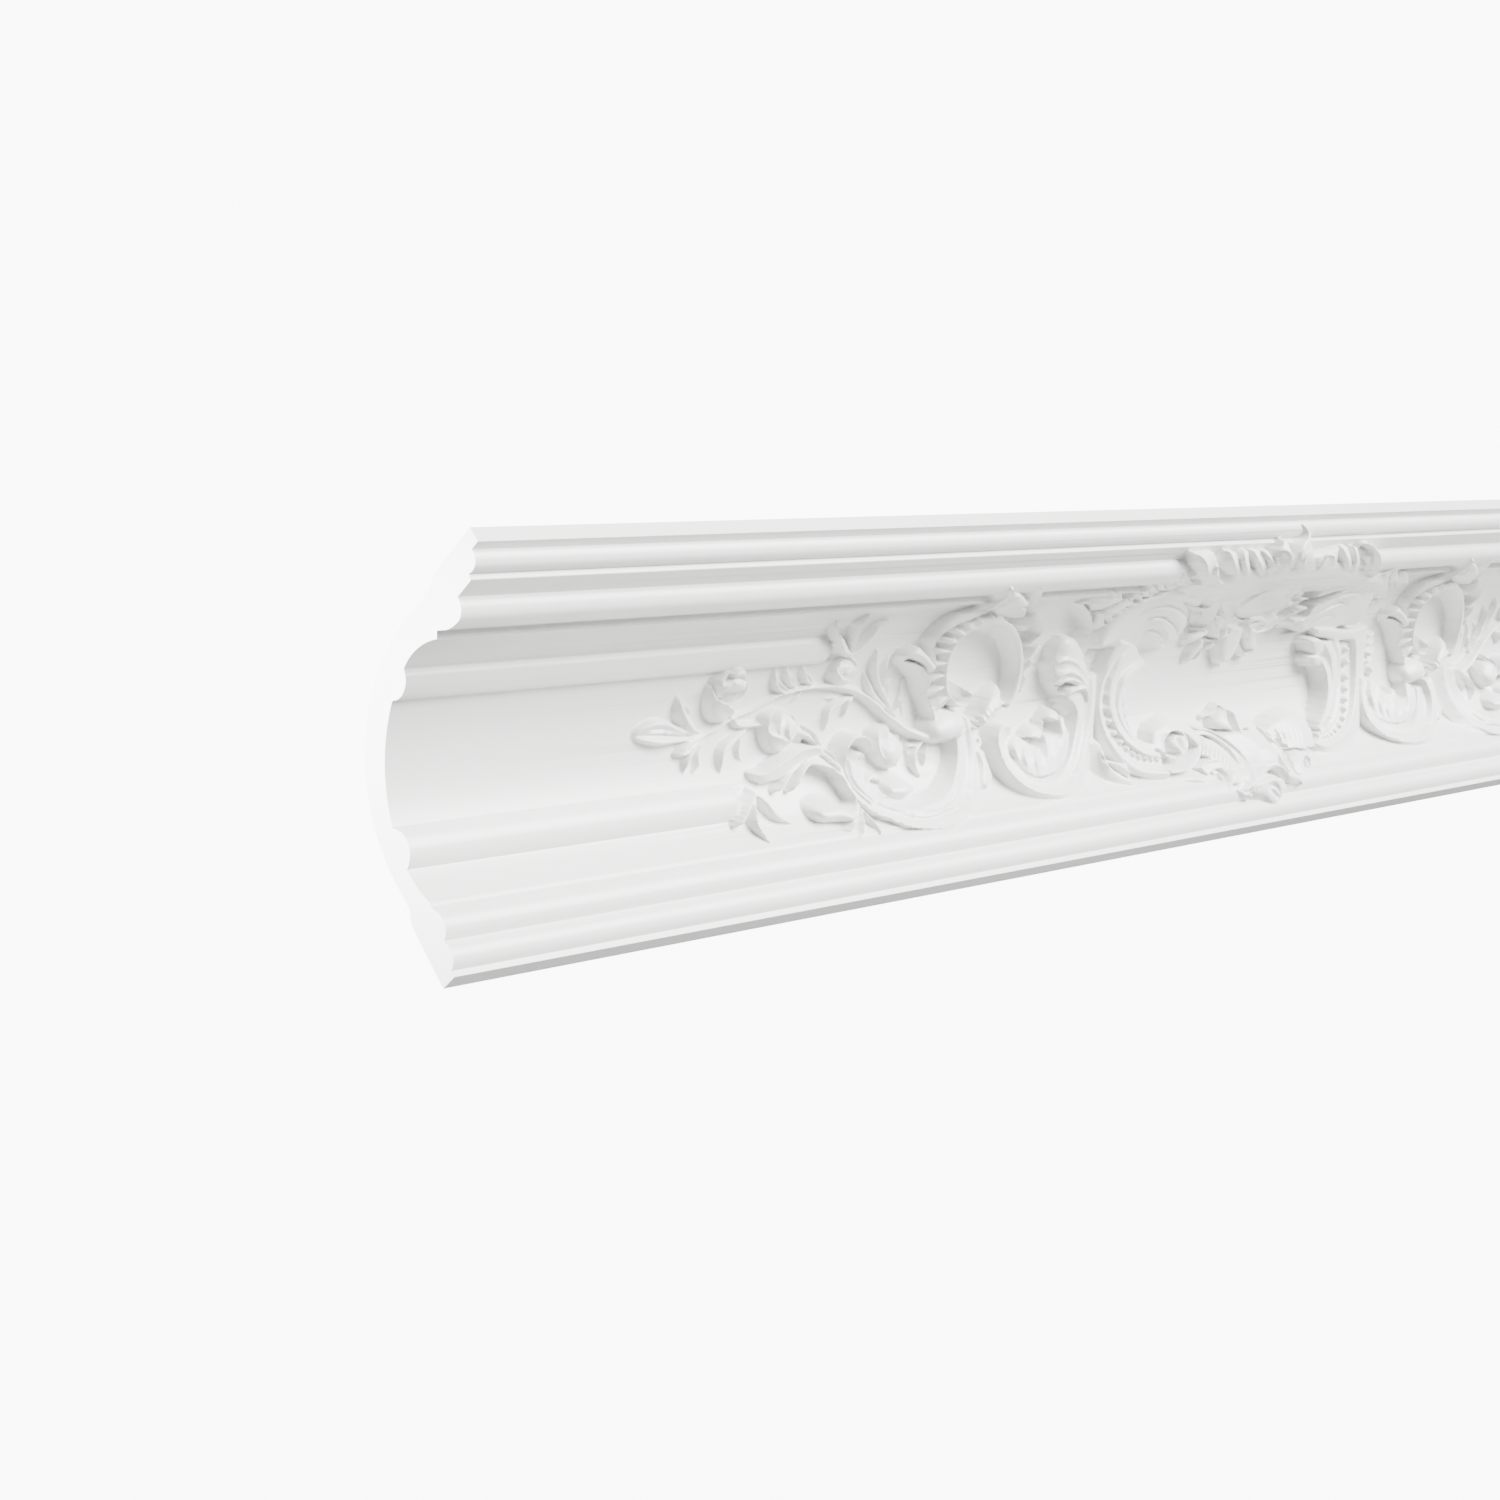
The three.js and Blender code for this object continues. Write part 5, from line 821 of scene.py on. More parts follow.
face([(450.5, -43.9, 11), (436.2, -50.4, 9), (432.3, -54.1, 6.5), (431.2, -56.2, 6)], [(450, -45.7, 15),
     (441.4, -50.8, 13.5), (435.6, -55.6, 11.5), (433.1, -58.8, 9)], [(455.2, -46, 14), (447.1, -51.2, 12),
     (443.4, -55.1, 9.5), (441.3, -58, 7.5)], bulge=-0.3)
face([(457.1, -45.9, 12), (448.4, -51.1, 10), (444, -54.9, 8), (444.1, -57.6, 6)], [(458.5, -45.7, 15),
     (449, -50.6, 14), (444.5, -55.4, 12), (446.6, -58.8, 9)], [(468.2, -44.3, 13), (457.2, -50, 12),
     (452.3, -54.9, 9.5), (452.2, -58.2, 7)], bulge=-0.2)
face([(476.1, -42.9, 12), (467.7, -47.7, 9), (459, -53.3, 7), (454.4, -57.4, 5.5)], [(472.7, -44.4, 15.5),
     (462.5, -50.1, 14), (455.8, -54.6, 12), (452.9, -58.7, 8.5)], [(477, -44.7, 14), (471, -49.6, 12.5),
     (464.2, -54.5, 10), (460.9, -57.9, 7)], bulge=-0.3)
face([(481.6, -44, 12), (477.3, -48, 10), (467.3, -52.7, 8.5), (462, -55.4, 7), (460.8, -57.8, 6)],
     [(475, -46.1, 15.5), (470.3, -50.7, 14.5), (466.5, -54.3, 12.5), (462.3, -56.8, 10.5),
     (461.3, -58.4, 9)], [(481.1, -46, 14), (479.3, -49.4, 13), (472.6, -54.3, 10.5), (468, -56.7, 9),
     (468.2, -57.9, 7)], bulge=-0.3)
face([(487.9, -43.5, 12), (478.5, -49.5, 10), (473, -54, 8), (470.4, -57.5, 5.5)], [(484.1, -46.5, 15),
     (474.9, -52.1, 13.5), (471.3, -57, 12), (474.5, -62.9, 8.5)], [(487.1, -47.9, 16), (481.8, -53.6, 15),
     (479.3, -57.4, 13), (478.6, -62.5, 8)], bulge=0.3)
line(dome, (482.6, -47.3, 0.9, 15.6), (472.9, -52.4, 1.1, 14.6), (470.2, -56.6, 1, 13.6),
     (472.6, -58.6, 1.1, 13.8), (478.7, -55.7, 1.2, 15), (484, -50.1, 1, 16))
face([(497.3, -46.5, 13), (486.5, -52.9, 11), (484.5, -57.6, 8.5), (486.6, -61.2, 5), (494.4, -64, 4),
     (492.2, -69.1, 4)], [(500.9, -46.6, 16), (489.5, -52.9, 15), (487.8, -58.1, 13), (490.2, -61.2, 11),
     (494.3, -65, 8), (491.3, -69.6, 5)], [(511.3, -47.4, 15), (506.2, -53.1, 13), (500.2, -58, 11),
     (496.8, -61.8, 9.5), (497.1, -65.8, 7), (491.6, -69.8, 5)], bulge=0.4)
line(dome, (495.6, -46.7, 0.8, 15.4), (487.3, -52, 1, 15.6), (485.6, -56.4, 1, 14.6),
     (489.1, -58.6, 0.9, 13.6))
line(dome, (504.8, -46.5, 0.9, 16.4), (494.7, -50.8, 1.1, 16.2), (492.1, -55.3, 1, 15),
     (496.8, -57.8, 0.9, 13))
face([(521.8, -45.4, 13), (515.8, -47.7, 10.5), (509.5, -51.3, 8.5)], [(515.2, -47.3, 15.4),
     (507.8, -51.1, 14.4), (503.5, -55.1, 12.6)], [(521.9, -49, 14), (518.3, -53.1, 12.5),
     (520.2, -56.7, 9.5)], [(529.9, -49.4, 13), (526.6, -54.2, 11), (527.3, -58.5, 8)], bulge=0.2)
line(dome, (509.8, -48.3, 0.8, 13.4), (513.4, -47.4, 1.1, 15.8), (513.7, -50.7, 1, 15),
     (512.7, -54.9, 1, 13.8), (519.8, -54.2, 1, 13.6), (524.7, -51.5, 0.8, 13.4))
face([(545.4, -44.3, 12), (543.1, -48.2, 9.5), (535.7, -52.9, 7.5), (532.4, -57.8, 5)], [(543.4, -46.1, 15),
     (535.5, -51.1, 13.5), (530.2, -55.2, 11.5), (528, -58.5, 8)], [(550.1, -45.7, 14), (542.1, -51.2, 12),
     (538.2, -55.2, 9.5), (535.4, -58.2, 7)], bulge=-0.2)
face([(553.4, -44, 12), (551.4, -47.9, 10), (546.5, -52.7, 8), (541.2, -57.4, 5)], [(552.8, -44.4, 15),
     (546.4, -48.6, 14), (542.4, -53.3, 12), (540.7, -57.8, 8)], [(559, -44, 14), (552.9, -48.3, 13),
     (547.8, -53, 11), (545.9, -57.1, 7.5)], bulge=-0.2)
face([(566.1, -39.4, 13), (557.7, -43.7, 11.5), (556.5, -47.7, 9.5), (553.9, -52.4, 7.5),
     (552.4, -55.8, 6)], [(567.8, -41.1, 13.5), (563.8, -44.6, 11.5), (563.5, -47.9, 10.5),
     (561, -51.9, 9.5), (560.5, -55.4, 8)], [(578.6, -41.4, 15), (574.4, -45.5, 15), (569.4, -50, 13.5),
     (563.3, -55.6, 10.5), (560.4, -58.4, 8)], bulge=-0.6)
line(dome, (553.9, -42.8, 0.9, 14.4), (561.8, -40.2, 1.2, 15.6), (572.2, -39.6, 1.3, 15.8),
     (577.8, -41.3, 1.3, 15.6), (573.1, -46.2, 1.3, 15.4), (566.3, -51.2, 1.2, 13.8),
     (559.6, -55.8, 1.1, 11.6), (551.8, -59, 1.1, 9.4), (547.7, -58, 1, 8.4), (549, -54.7, 0.8, 8))
line(dome, (564.4, -43.7, 0.8, 13.4), (564.9, -46.3, 1, 13.8), (561.3, -50.2, 1, 13),
     (557.4, -52.8, 0.8, 12))
face([(419, -40.6, 8), (413, -44.8, 7), (412.5, -48.1, 6.5)], [(413.6, -42.6, 13), (409.2, -46.2, 12),
     (410.9, -49.1, 9)], [(420.2, -43.2, 12), (416.2, -46.7, 10), (415.2, -48.8, 8)])
line(soft, (407.3, -49.5, 0.8, 11), (412.9, -46.6, 1.2, 13.4), (421.7, -43.8, 1, 13.6))
face([(410.7, -40.3, 7), (404.6, -42.9, 7), (401.9, -45.5, 6.5)], [(411, -40.4, 11), (406.6, -43.4, 11),
     (400.8, -46.4, 9.5)], [(414.9, -40.4, 12), (413.6, -42.8, 10.5), (411.1, -45.1, 8)], bulge=1)
face([(399.6, -35.1, 5), (394.5, -38.1, 5), (392.4, -40.9, 5)], [(399.5, -37.3, 10), (394, -41.5, 10),
     (394.1, -43.9, 8)], [(406.9, -39.1, 11), (402.7, -42.1, 10), (400.4, -44.5, 8)], bulge=0.3)
face([(604.9, -34.7, 8), (597.6, -38.3, 8), (595.5, -41.6, 7)], [(603.2, -35.1, 12), (597.8, -38.9, 12),
     (592.8, -42.8, 10)], [(609, -35, 11), (605.7, -38.3, 10), (601, -42, 8)], bulge=0.5)
face([(613.1, -35.7, 8), (605.4, -39.4, 8), (602.9, -42.7, 7)], [(611.3, -36.1, 12), (605.5, -39.9, 12),
     (600, -43.9, 10)], [(617.2, -36, 11), (613.6, -39.3, 10), (608.4, -43.1, 8)], bulge=0.5)
face([(625.7, -33.9, 8), (618.3, -37.5, 8), (616.4, -40.8, 7)], [(624, -34.3, 12), (618.6, -38.1, 12),
     (613.8, -42, 10)], [(629.9, -34.1, 11), (626.7, -37.5, 10), (622.1, -41.2, 8)], bulge=0.5)

# ---- shell
# A ribbed shell, a bow leaf and a pendant at the foot of the cartouche.
face([(467.3, 28.4, 5), (476.9, 30.2, 6), (483.4, 33.9, 7.4), (487, 38.6, 8.4), (487.3, 43.8, 9),
     (484.7, 48.3, 9), (477.9, 52.8, 7.5)], [(466.6, 30.8, 6), (474, 32, 7), (479, 35.2, 7.8),
     (482.3, 39.5, 8), (481.3, 44.3, 8), (478.5, 48.8, 7.6), (475.4, 52.7, 6.5)], bulge=-0.4)
line(dome, (466.1, 27.8, 0.8, 6.4), (474.8, 29.4, 1.1, 7.8), (481.4, 33.1, 1.2, 9.2),
     (486.4, 37.7, 1.2, 10), (488.1, 43, 1.3, 10.4), (485.4, 47.8, 1.3, 10.2), (478.4, 52, 1.2, 8.8),
     (472.7, 53.7, 0.9, 7))
face([(481.9, 25.6, 0), (479.7, 28.6, 1), (481.8, 29.7, 3), (485.2, 30.1, 5)], [(484.6, 23.8, 3),
     (482.1, 25.5, 5.5), (484.3, 27, 7), (486.6, 29.9, 8)], [(492.6, 19.1, 4), (490.7, 22.3, 6.6),
     (489.5, 25.6, 8), (490.2, 29.9, 9)], bulge=0.8)
line(dome, (477.1, 24.5, 0.8, 3.6), (482.7, 23.1, 1, 5), (489.9, 19, 0.9, 5.6))
line(dome, (490.2, 19, 0.7, 5.6), (491.4, 21.8, 1, 8), (488.6, 25.4, 1.1, 9.2), (488.9, 29.2, 1, 9.8),
     (492.4, 30.9, 0.7, 9.8))
line(dome, (492.5, 20.5, 0.6, 7.6), (497, 23, 0.9, 8.4), (497, 26.8, 1, 9.2), (496.3, 30.7, 0.8, 9.8))
face([(497.7, 21.7, 5), (495.7, 26.2, 7), (495, 31.2, 9)], [(504.4, 22.6, 5.4), (504.4, 25.9, 7),
     (502.3, 30.4, 8.6)], [(514.9, 27.1, 3.6), (514.6, 30, 5), (513.8, 32.9, 6)], bulge=0.3)
line(dome, (504.8, 23.2, 0.6, 6), (509.5, 26.2, 0.8, 6.4), (511.9, 28.9, 0.9, 6.8), (513.3, 32, 0.7, 7))
face([(479.5, 32.3, 7.6), (485.8, 30.9, 8.6), (494.5, 31.2, 9.4), (503.9, 31.3, 8.8), (512.3, 31.7, 7.6)],
     [(485.7, 37.3, 8), (490.8, 35.9, 9), (497.3, 34.8, 11), (504.9, 34.8, 11.6), (511.9, 35.5, 10.6)],
     [(487.2, 45.4, 8.4), (493.4, 42.6, 9.6), (499.3, 40.1, 12.4), (507.3, 39.4, 13.4), (513.1, 40, 12)],
     [(486.4, 49.3, 8), (492.1, 46.9, 9), (499, 45.1, 11), (505.3, 44.2, 12.4), (509.9, 44.3, 11.6)],
     smooth=True)
line(soft, (512.4, 32.8, 0.8, 8.6), (510.5, 36.1, 1.2, 11.6), (509.7, 39.5, 1.3, 13.4),
     (508.5, 43.6, 1, 12.6))
line(table((-1, 0.85), (-0.4, 1), (0.3, 0.8), (1, 0.6)), (475, 53.8, 1, 7.6), (481.6, 51.8, 1.8, 9.6),
     (490.8, 48, 2.2, 11.4), (502, 45.6, 2.2, 12.4), (508.1, 46.8, 2.2, 12), (511.4, 51, 2.6, 10.4),
     (519.9, 53.2, 2.4, 8.4), (521, 55.2, 1.2, 7))
line(soft, (485.7, 49, 0.8, 9.8), (494.9, 45.9, 1.2, 11.6), (503.7, 44.3, 1.2, 12.8),
     (508.3, 44.8, 0.8, 12.6))
face([(469.4, 54, 3), (472.5, 57.2, 3), (478.5, 58.5, 4)], [(469.7, 52.7, 6.4), (474.1, 54.7, 6.6),
     (479, 55.2, 7.4)], bulge=0.6)
face([(481.2, 59, 2), (490.9, 61.3, 1.5), (498, 64.5, 1), (503, 64.9, 1)], [(482.2, 55, 6.6),
     (488.5, 56.5, 6.6), (492.9, 59.9, 5.6), (498.3, 61.1, 5)], [(485.7, 52, 9), (493.2, 50.3, 10.4),
     (501.5, 50.6, 10.4), (505.8, 53.2, 9)], bulge=0.3)
line(dome, (480.3, 55, 0.9, 7.8), (484.9, 51.8, 1.1, 9.6), (493.1, 49.7, 1.2, 11), (501.2, 50.1, 1.2, 11),
     (504.9, 52.8, 1.1, 9.8), (503.4, 56.6, 1, 8), (499.1, 59.9, 0.8, 6.6))
cut(soft, (493.1, 53.8, 2.6, 1.5), (497.1, 55, 3.4, 2.5), (498.2, 57.8, 2, 1.5), wall=1.4)
line(bud, (495.7, 54.3, 1.2, 7.6), (498.2, 55.3, 2.4, 7.6), (499.6, 57.8, 1.4, 6.6))
face([(455.3, 43.7, 4), (461.9, 42, 5.6), (470.2, 41.6, 7), (473.4, 44.6, 7.4), (471, 48.3, 7),
     (465.1, 52, 5.5)], [(457.6, 47.1, 3), (463.3, 45.4, 4.4), (467.9, 45.2, 5.4), (468.4, 47.1, 5.6),
     (466.2, 49.8, 5), (462.8, 52.6, 3.6)], bulge=0.6)
line(dome, (453.3, 44, 0.7, 5), (461.3, 41.5, 1, 7), (469.3, 41, 1.1, 8.2), (473.3, 43.8, 1.2, 8.6),
     (471, 48, 1.1, 8), (464.9, 51.9, 0.9, 6.4))
face([(460.9, 47.5, 2), (466.6, 47.5, 2), (466.5, 50.4, 1), (465.3, 53.7, 0.5)], [(461.9, 46, 4.6),
     (466, 46, 5.2), (465.1, 48.5, 5), (463.6, 52.2, 4)], bulge=0.4)
line(keel, (431.1, 46.6, 0.8, 3), (442.9, 46.9, 1.6, 4.4), (450.5, 47.8, 2.2, 4.8), (454.1, 50.2, 1.8, 4),
     (455.9, 53, 0.7, 2))
face([(524.7, 31, 0), (531.4, 27.9, 0), (541.3, 24.9, 0), (552.5, 24, 0), (562.1, 26.3, 0),
     (568, 29.9, 0.5)], [(516.6, 31.7, 6.5), (522, 29.6, 8), (530, 27.4, 9), (539.3, 26.6, 9.6),
     (547.3, 28.5, 9.4), (555.9, 32, 8)], [(517.3, 33.2, 8.6), (524.3, 32.6, 10), (531.2, 32, 11),
     (538.9, 31.7, 11.4), (546.3, 33.1, 11), (554.7, 35.3, 9)], [(524, 38.4, 8), (527.2, 39.7, 9.4),
     (531.6, 40.4, 10), (536.8, 40.7, 10.4), (542.2, 41.1, 10), (551.3, 42.1, 8)], smooth=True)
rank(soft, (0.6, 0.95, 0.7), (0, 1.2, -0.2), (11.2, (523.4, 30.6), (523.9, 33.9), (524.2, 38.9)),
     (11.2, (527.4, 30.4), (527.6, 33.9), (527.4, 39.1)),
     (11.2, (531.5, 30.3), (531.3, 33.9), (530.7, 39.3)), (11.2, (535.5, 30.1), (535, 33.9), (533.9, 39.6)),
     (11.2, (539.6, 30), (538.8, 34), (537.2, 39.8)), (11.2, (543.6, 29.8), (542.5, 34), (540.5, 40)))
line(dome, (515, 30.5, 0.7, 7.6), (517.1, 34.8, 1.1, 9.4), (521.5, 38.4, 1.1, 9.6), (521.9, 42.2, 1.1, 9.4),
     (520.7, 46.3, 1, 8.6), (521.1, 49.7, 0.8, 7.6))
face([(516.8, 34.1, 5), (516.3, 38.9, 7), (517.4, 43.1, 7), (517.4, 48, 6), (520, 52.5, 5)],
     [(517.6, 32.8, 8), (521.7, 37.3, 8.6), (523, 41.2, 8.6), (521.4, 45.7, 7.8), (521.1, 49.8, 7)])
line(dome, (524.9, 40.7, 0.8, 10), (531.4, 40.2, 1, 10.8), (539, 41.2, 1, 10.8), (544.8, 43.9, 0.8, 9))
face([(527.4, 41.7, 7), (524.4, 45.2, 7), (522.9, 49.2, 6.4), (524.4, 51.8, 6)], [(531.9, 41.3, 9.6),
     (528.8, 44.4, 9), (527.2, 47.6, 8), (527.8, 50.7, 7)], [(543.4, 42.6, 9), (536.4, 45, 8.6),
     (532.4, 47.2, 8), (532, 49.8, 6.8)], bulge=-0.6)
line(soft, (525.2, 43.9, 0.5, 8.6), (528, 43.7, 0.7, 9), (531.2, 43.5, 0.4, 8.8))
line(soft, (524.9, 45.3, 0.5, 8.4), (527.8, 45, 0.7, 8.8), (530.9, 44.7, 0.4, 8.6))
line(soft, (524.4, 46.6, 0.5, 8.2), (527.3, 46.3, 0.7, 8.5), (530.4, 45.9, 0.4, 8.4))
rank(soft, (0.5, 0.7, 0.4), (0, 0.2, 0.2), (8, (524.2, 48), (527, 47.6), (529.9, 47.1)),
     (7.8, (524.1, 49.4), (526.9, 48.9), (529.7, 48.3)), (7.6, (524.2, 50.8), (527, 50.3), (529.5, 49.6)))
face([(536.5, 47.4, 3), (535.7, 50.8, 2), (539.1, 54, 1)], [(539, 44.9, 7.6), (538.8, 48, 6),
     (538.9, 52.6, 4)], bulge=0.2)
line(dome, (529.7, 45.7, 0.8, 8.6), (538.2, 44.3, 1, 8.8), (541.9, 45.5, 0.8, 8), (541, 49.9, 0.6, 5))

# ---- cabochon
# A smooth oval boss in the dished field of the cartouche.
face([(459.8, -33.9, 12), (457.5, -38.5, 13.5), (470.2, -40.3, 14), (487.5, -41.5, 14.4),
     (503.7, -40.9, 14.6), (516.9, -38.4, 14.4), (526.4, -34.2, 13.5)], [(477, -25.9, 7.6),
     (475.1, -31.7, 9), (482.6, -35.2, 11), (494.6, -37.6, 13), (506.4, -38.2, 13.6), (515.5, -36.8, 13.6),
     (522.9, -32.6, 12.4)], [(490.2, -20.3, 4), (491.7, -25, 6), (492.3, -28.9, 8.6), (497.9, -32.6, 12),
     (505, -36.1, 13.2), (512.3, -36.1, 13), (519.5, -32.2, 12)], bulge=-0.4)
face([(477, -25.9, 7.6), (493.8, -16.4, 2.5), (504.2, -13.9, 2), (509.5, -15.8, 3.4), (519.2, -18.3, 5),
     (526.7, -21.2, 6.6), (528.4, -26.7, 9), (523.6, -32.5, 12)], [(475.1, -31.7, 9), (492.6, -23.9, 6),
     (498.7, -21.4, 5.6), (504.9, -20, 5.6), (514.8, -21.2, 6.4), (520.3, -24.4, 8), (520.3, -29.8, 10),
     (517.4, -33.9, 12)], bulge=0.1)
face([(506.4, -28.9, 10.8), (506.5, -28.9, 10.8), (506.5, -28.8, 10.8), (506.5, -28.8, 10.8),
     (506.5, -28.7, 10.7), (506.4, -28.7, 10.7), (506.3, -28.7, 10.7), (506.2, -28.7, 10.7),
     (506, -28.7, 10.7), (505.9, -28.7, 10.8), (505.8, -28.8, 10.8), (505.8, -28.8, 10.8),
     (505.8, -28.9, 10.8), (505.8, -28.9, 10.9), (505.9, -29, 10.9), (506, -29, 10.9), (506.1, -29, 10.9),
     (506.2, -29, 10.9), (506.4, -28.9, 10.8)], [(512.6, -32, 11.8), (515.7, -30.5, 11.1),
     (517.4, -28.9, 10.2), (517.7, -27.3, 9.4), (516.4, -25.9, 8.6), (513.8, -24.9, 8.1),
     (510.4, -24.3, 7.9), (506.6, -24.3, 8), (502.9, -24.8, 8.3), (499.7, -25.8, 9), (497.3, -27.1, 9.7),
     (495.9, -28.7, 10.6), (495.5, -30.3, 11.4), (496.2, -31.7, 12.2), (498.1, -32.8, 12.7),
     (501, -33.5, 12.9), (504.6, -33.5, 12.8), (508.7, -33, 12.5), (512.6, -32, 11.8)],
     [(516.1, -33.7, 11.7), (520.9, -31.5, 10.5), (523.6, -29, 9.2), (524, -26.5, 7.9), (522, -24.3, 6.8),
     (518, -22.7, 6), (512.7, -21.8, 5.6), (506.9, -21.7, 5.8), (501.2, -22.5, 6.3), (496.2, -24.1, 7.3),
     (492.5, -26.2, 8.5), (490.2, -28.6, 9.8), (489.6, -31.1, 11.1), (490.8, -33.3, 12.2), (493.6, -35, 13),
     (498.1, -36, 13.4), (503.8, -36.1, 13.2), (510.1, -35.3, 12.7), (516.1, -33.7, 11.7)],
     [(516.9, -34, 11.6), (522, -31.7, 10.3), (524.9, -29, 8.9), (525.3, -26.3, 7.5), (523.2, -23.9, 6.3),
     (518.9, -22.2, 5.4), (513.2, -21.2, 5.1), (507, -21.2, 5.2), (500.8, -22.1, 5.8), (495.5, -23.7, 6.8),
     (491.4, -26, 8.1), (489, -28.6, 9.5), (488.4, -31.2, 10.9), (489.6, -33.6, 12.1), (492.7, -35.5, 13),
     (497.5, -36.5, 13.3), (503.6, -36.6, 13.2), (510.4, -35.8, 12.6), (516.9, -34, 11.6)])
line(dome, (516.9, -34, 0.9, 12.5), (522, -31.7, 0.9, 11.2), (524.9, -29, 0.9, 9.8),
     (525.3, -26.3, 0.9, 8.4), (523.2, -23.9, 0.9, 7.2), (518.9, -22.2, 0.9, 6.3), (513.2, -21.2, 0.9, 6),
     (507, -21.2, 0.9, 6.1), (500.8, -22.1, 0.9, 6.7), (495.5, -23.7, 0.9, 7.7), (491.4, -26, 0.9, 9),
     (489, -28.6, 0.9, 10.4), (488.4, -31.2, 0.9, 11.8), (489.6, -33.6, 0.9, 13), (492.7, -35.5, 0.9, 13.9),
     (497.5, -36.5, 0.9, 14.2), (503.6, -36.6, 0.9, 14.1), (510.4, -35.8, 0.9, 13.5), closed=True, wall=0.8)

# ---- curls and drips
# Small curls and drips of carving that hang below the cabochon.
face([(469.6, -15.4, 0), (464.8, -21.6, 1), (460.2, -28.2, 4), (454.4, -32.5, 8), (454.3, -35.5, 11)],
     [(469.9, -15.9, 4), (465.8, -22.1, 5), (463, -27.5, 7), (461.1, -30.4, 9), (457, -33.4, 11.5)],
     [(473.4, -16.1, 6.5), (471.8, -21.3, 8), (468.2, -26.7, 10), (463, -31.1, 11.5), (456.5, -34.5, 12)],
     bulge=0.6)
line(dome, (451.7, -30.8, 0.8, 9), (449.3, -34.3, 1, 11.6), (452, -36, 1.1, 12.6), (459, -33.5, 1.2, 12.8),
     (465.6, -28.1, 1.2, 12), (469.1, -22.8, 1.1, 10.6), (469.5, -18.6, 1, 8.6), (466.2, -17.3, 0.8, 7))
line(dome, (455.9, -29, 0.8, 8), (459.1, -28.3, 1, 9.6), (460.6, -30.1, 1, 10.6), (456.7, -33.3, 0.8, 11))
line(dome, (464.2, -20.1, 0.6, 4), (463.4, -22.5, 0.9, 6.4), (462.6, -25.1, 0.8, 7.6))
line(bud, (462.8, -12.5, 2, 4.5), (465.7, -12.8, 3.2, 6), (470.4, -14.4, 2.6, 7), (474.3, -16.1, 1.6, 7))
line(bud, (467.9, -3.7, 2.4, 4.6), (469.2, -5.5, 3.2, 5.6), (471.6, -8.5, 2.8, 6.4), (473, -11.3, 1.8, 6.6))
line(dome, (473, -2.6, 0.7, 5.6), (473.8, -6, 0.9, 6.8), (473.7, -9.9, 0.8, 7), (475.7, -12.2, 0.6, 7))
face([(481.6, -12.3, 3), (475.8, -17.7, 5), (473, -21.6, 7), (476, -23.3, 8.5)], [(480, -13.4, 7),
     (476, -17.7, 8.5), (476.8, -20.2, 9), (480.4, -21, 9)], [(485.9, -11.6, 7), (488.4, -13.7, 8.5),
     (486.4, -17.7, 9), (481.7, -21.4, 9)], bulge=0.5)
line(dome, (470.7, -21.9, 0.8, 8.4), (474.1, -23.6, 1, 9.6), (480.8, -21.1, 1.2, 10),
     (485, -16.5, 1.2, 9.8), (484.8, -12.8, 1, 9), (482, -11, 0.9, 7.6), (479.3, -11.8, 0.7, 6))
cut(soft, (480.5, -19, 1, 2), (482, -16.8, 1.8, 3), (483, -14.4, 1, 2), wall=1.2)
line(bud, (480.5, -6.7, 1.6, 4), (482.3, -7.7, 2.2, 5), (484.3, -9.2, 1.8, 6))
face([(491.9, -6.4, 0), (494.1, -1.5, 0), (499, 2.6, 0), (501.6, 3.5, 0)], [(487.2, -10.6, 7),
     (490.1, -5.5, 6.4), (492.2, -2, 6), (493.8, -0.2, 5.6)], [(489.5, -17.6, 9), (493.6, -10.4, 8.4),
     (495.4, -5.4, 7.4), (495.4, -0.8, 6)], [(500.9, -16.9, 8.5), (502.5, -10.3, 7.6), (502.1, -4.8, 6.4),
     (498.5, -0.3, 5.4)], bulge=0.5)
line(soft, (487.8, -8.8, 0.7, 7.2), (489.9, -4.8, 0.9, 6.8), (492.7, -0.9, 1, 6.2), (496.9, -0.1, 1, 6),
     (500.9, -3.7, 0.9, 6.4), (503, -9.8, 0.8, 7.4))
face([(515.9, -4.4, 2), (510.3, -9.9, 4), (505.7, -15.3, 6), (506.5, -18.5, 7.5)], [(515.7, -4.4, 5.5),
     (511.1, -9.3, 7), (508, -13.5, 8), (509.2, -15.7, 8.6)], [(523.1, -5.4, 5), (519, -9.7, 6),
     (515.2, -12.5, 7), (515.4, -14.1, 8)], bulge=0.5)
line(dome, (506.2, -9.4, 0.7, 6), (509.5, -4.9, 1, 6.4), (514.8, -2.7, 1.1, 6.4), (519.2, -4.4, 1.1, 6.6),
     (520.3, -7.7, 0.9, 6.6), (518, -9.8, 0.7, 6.6))
line(dome, (509.4, -14.5, 0.8, 8.4), (516.4, -13.7, 1, 8.6), (523.5, -15.3, 1, 9), (526.4, -18.8, 1, 9.6),
     (527.3, -21.3, 0.8, 10))
line(dome, (504.5, -14.6, 0.8, 7.6), (504.3, -18.3, 1, 9), (508.9, -20.2, 1.1, 9.6),
     (515.7, -19.8, 1.1, 9.8), (518.6, -17.1, 1, 9.4), (515.4, -15.4, 0.8, 8.6))
face([(513.1, -13, 6.5), (521.2, -12.7, 7), (527.1, -15, 8), (529.4, -19.6, 9)], [(506.3, -17.6, 8),
     (511.3, -19.2, 8.5), (517.6, -20.2, 9.5), (521.9, -22.6, 10)], bulge=-0.6)
line(bud, (526.8, -24.8, 2.2, 9), (527.4, -26.8, 3, 10.5), (531.2, -28.1, 2.4, 11), (534.5, -28.6, 1.2, 11))
line(bud, (535.1, -20.3, 1.98, 9), (536, -22.3, 2.7, 10.5), (540.1, -23.6, 2.16, 11), (543.6, -24, 1.2, 11))
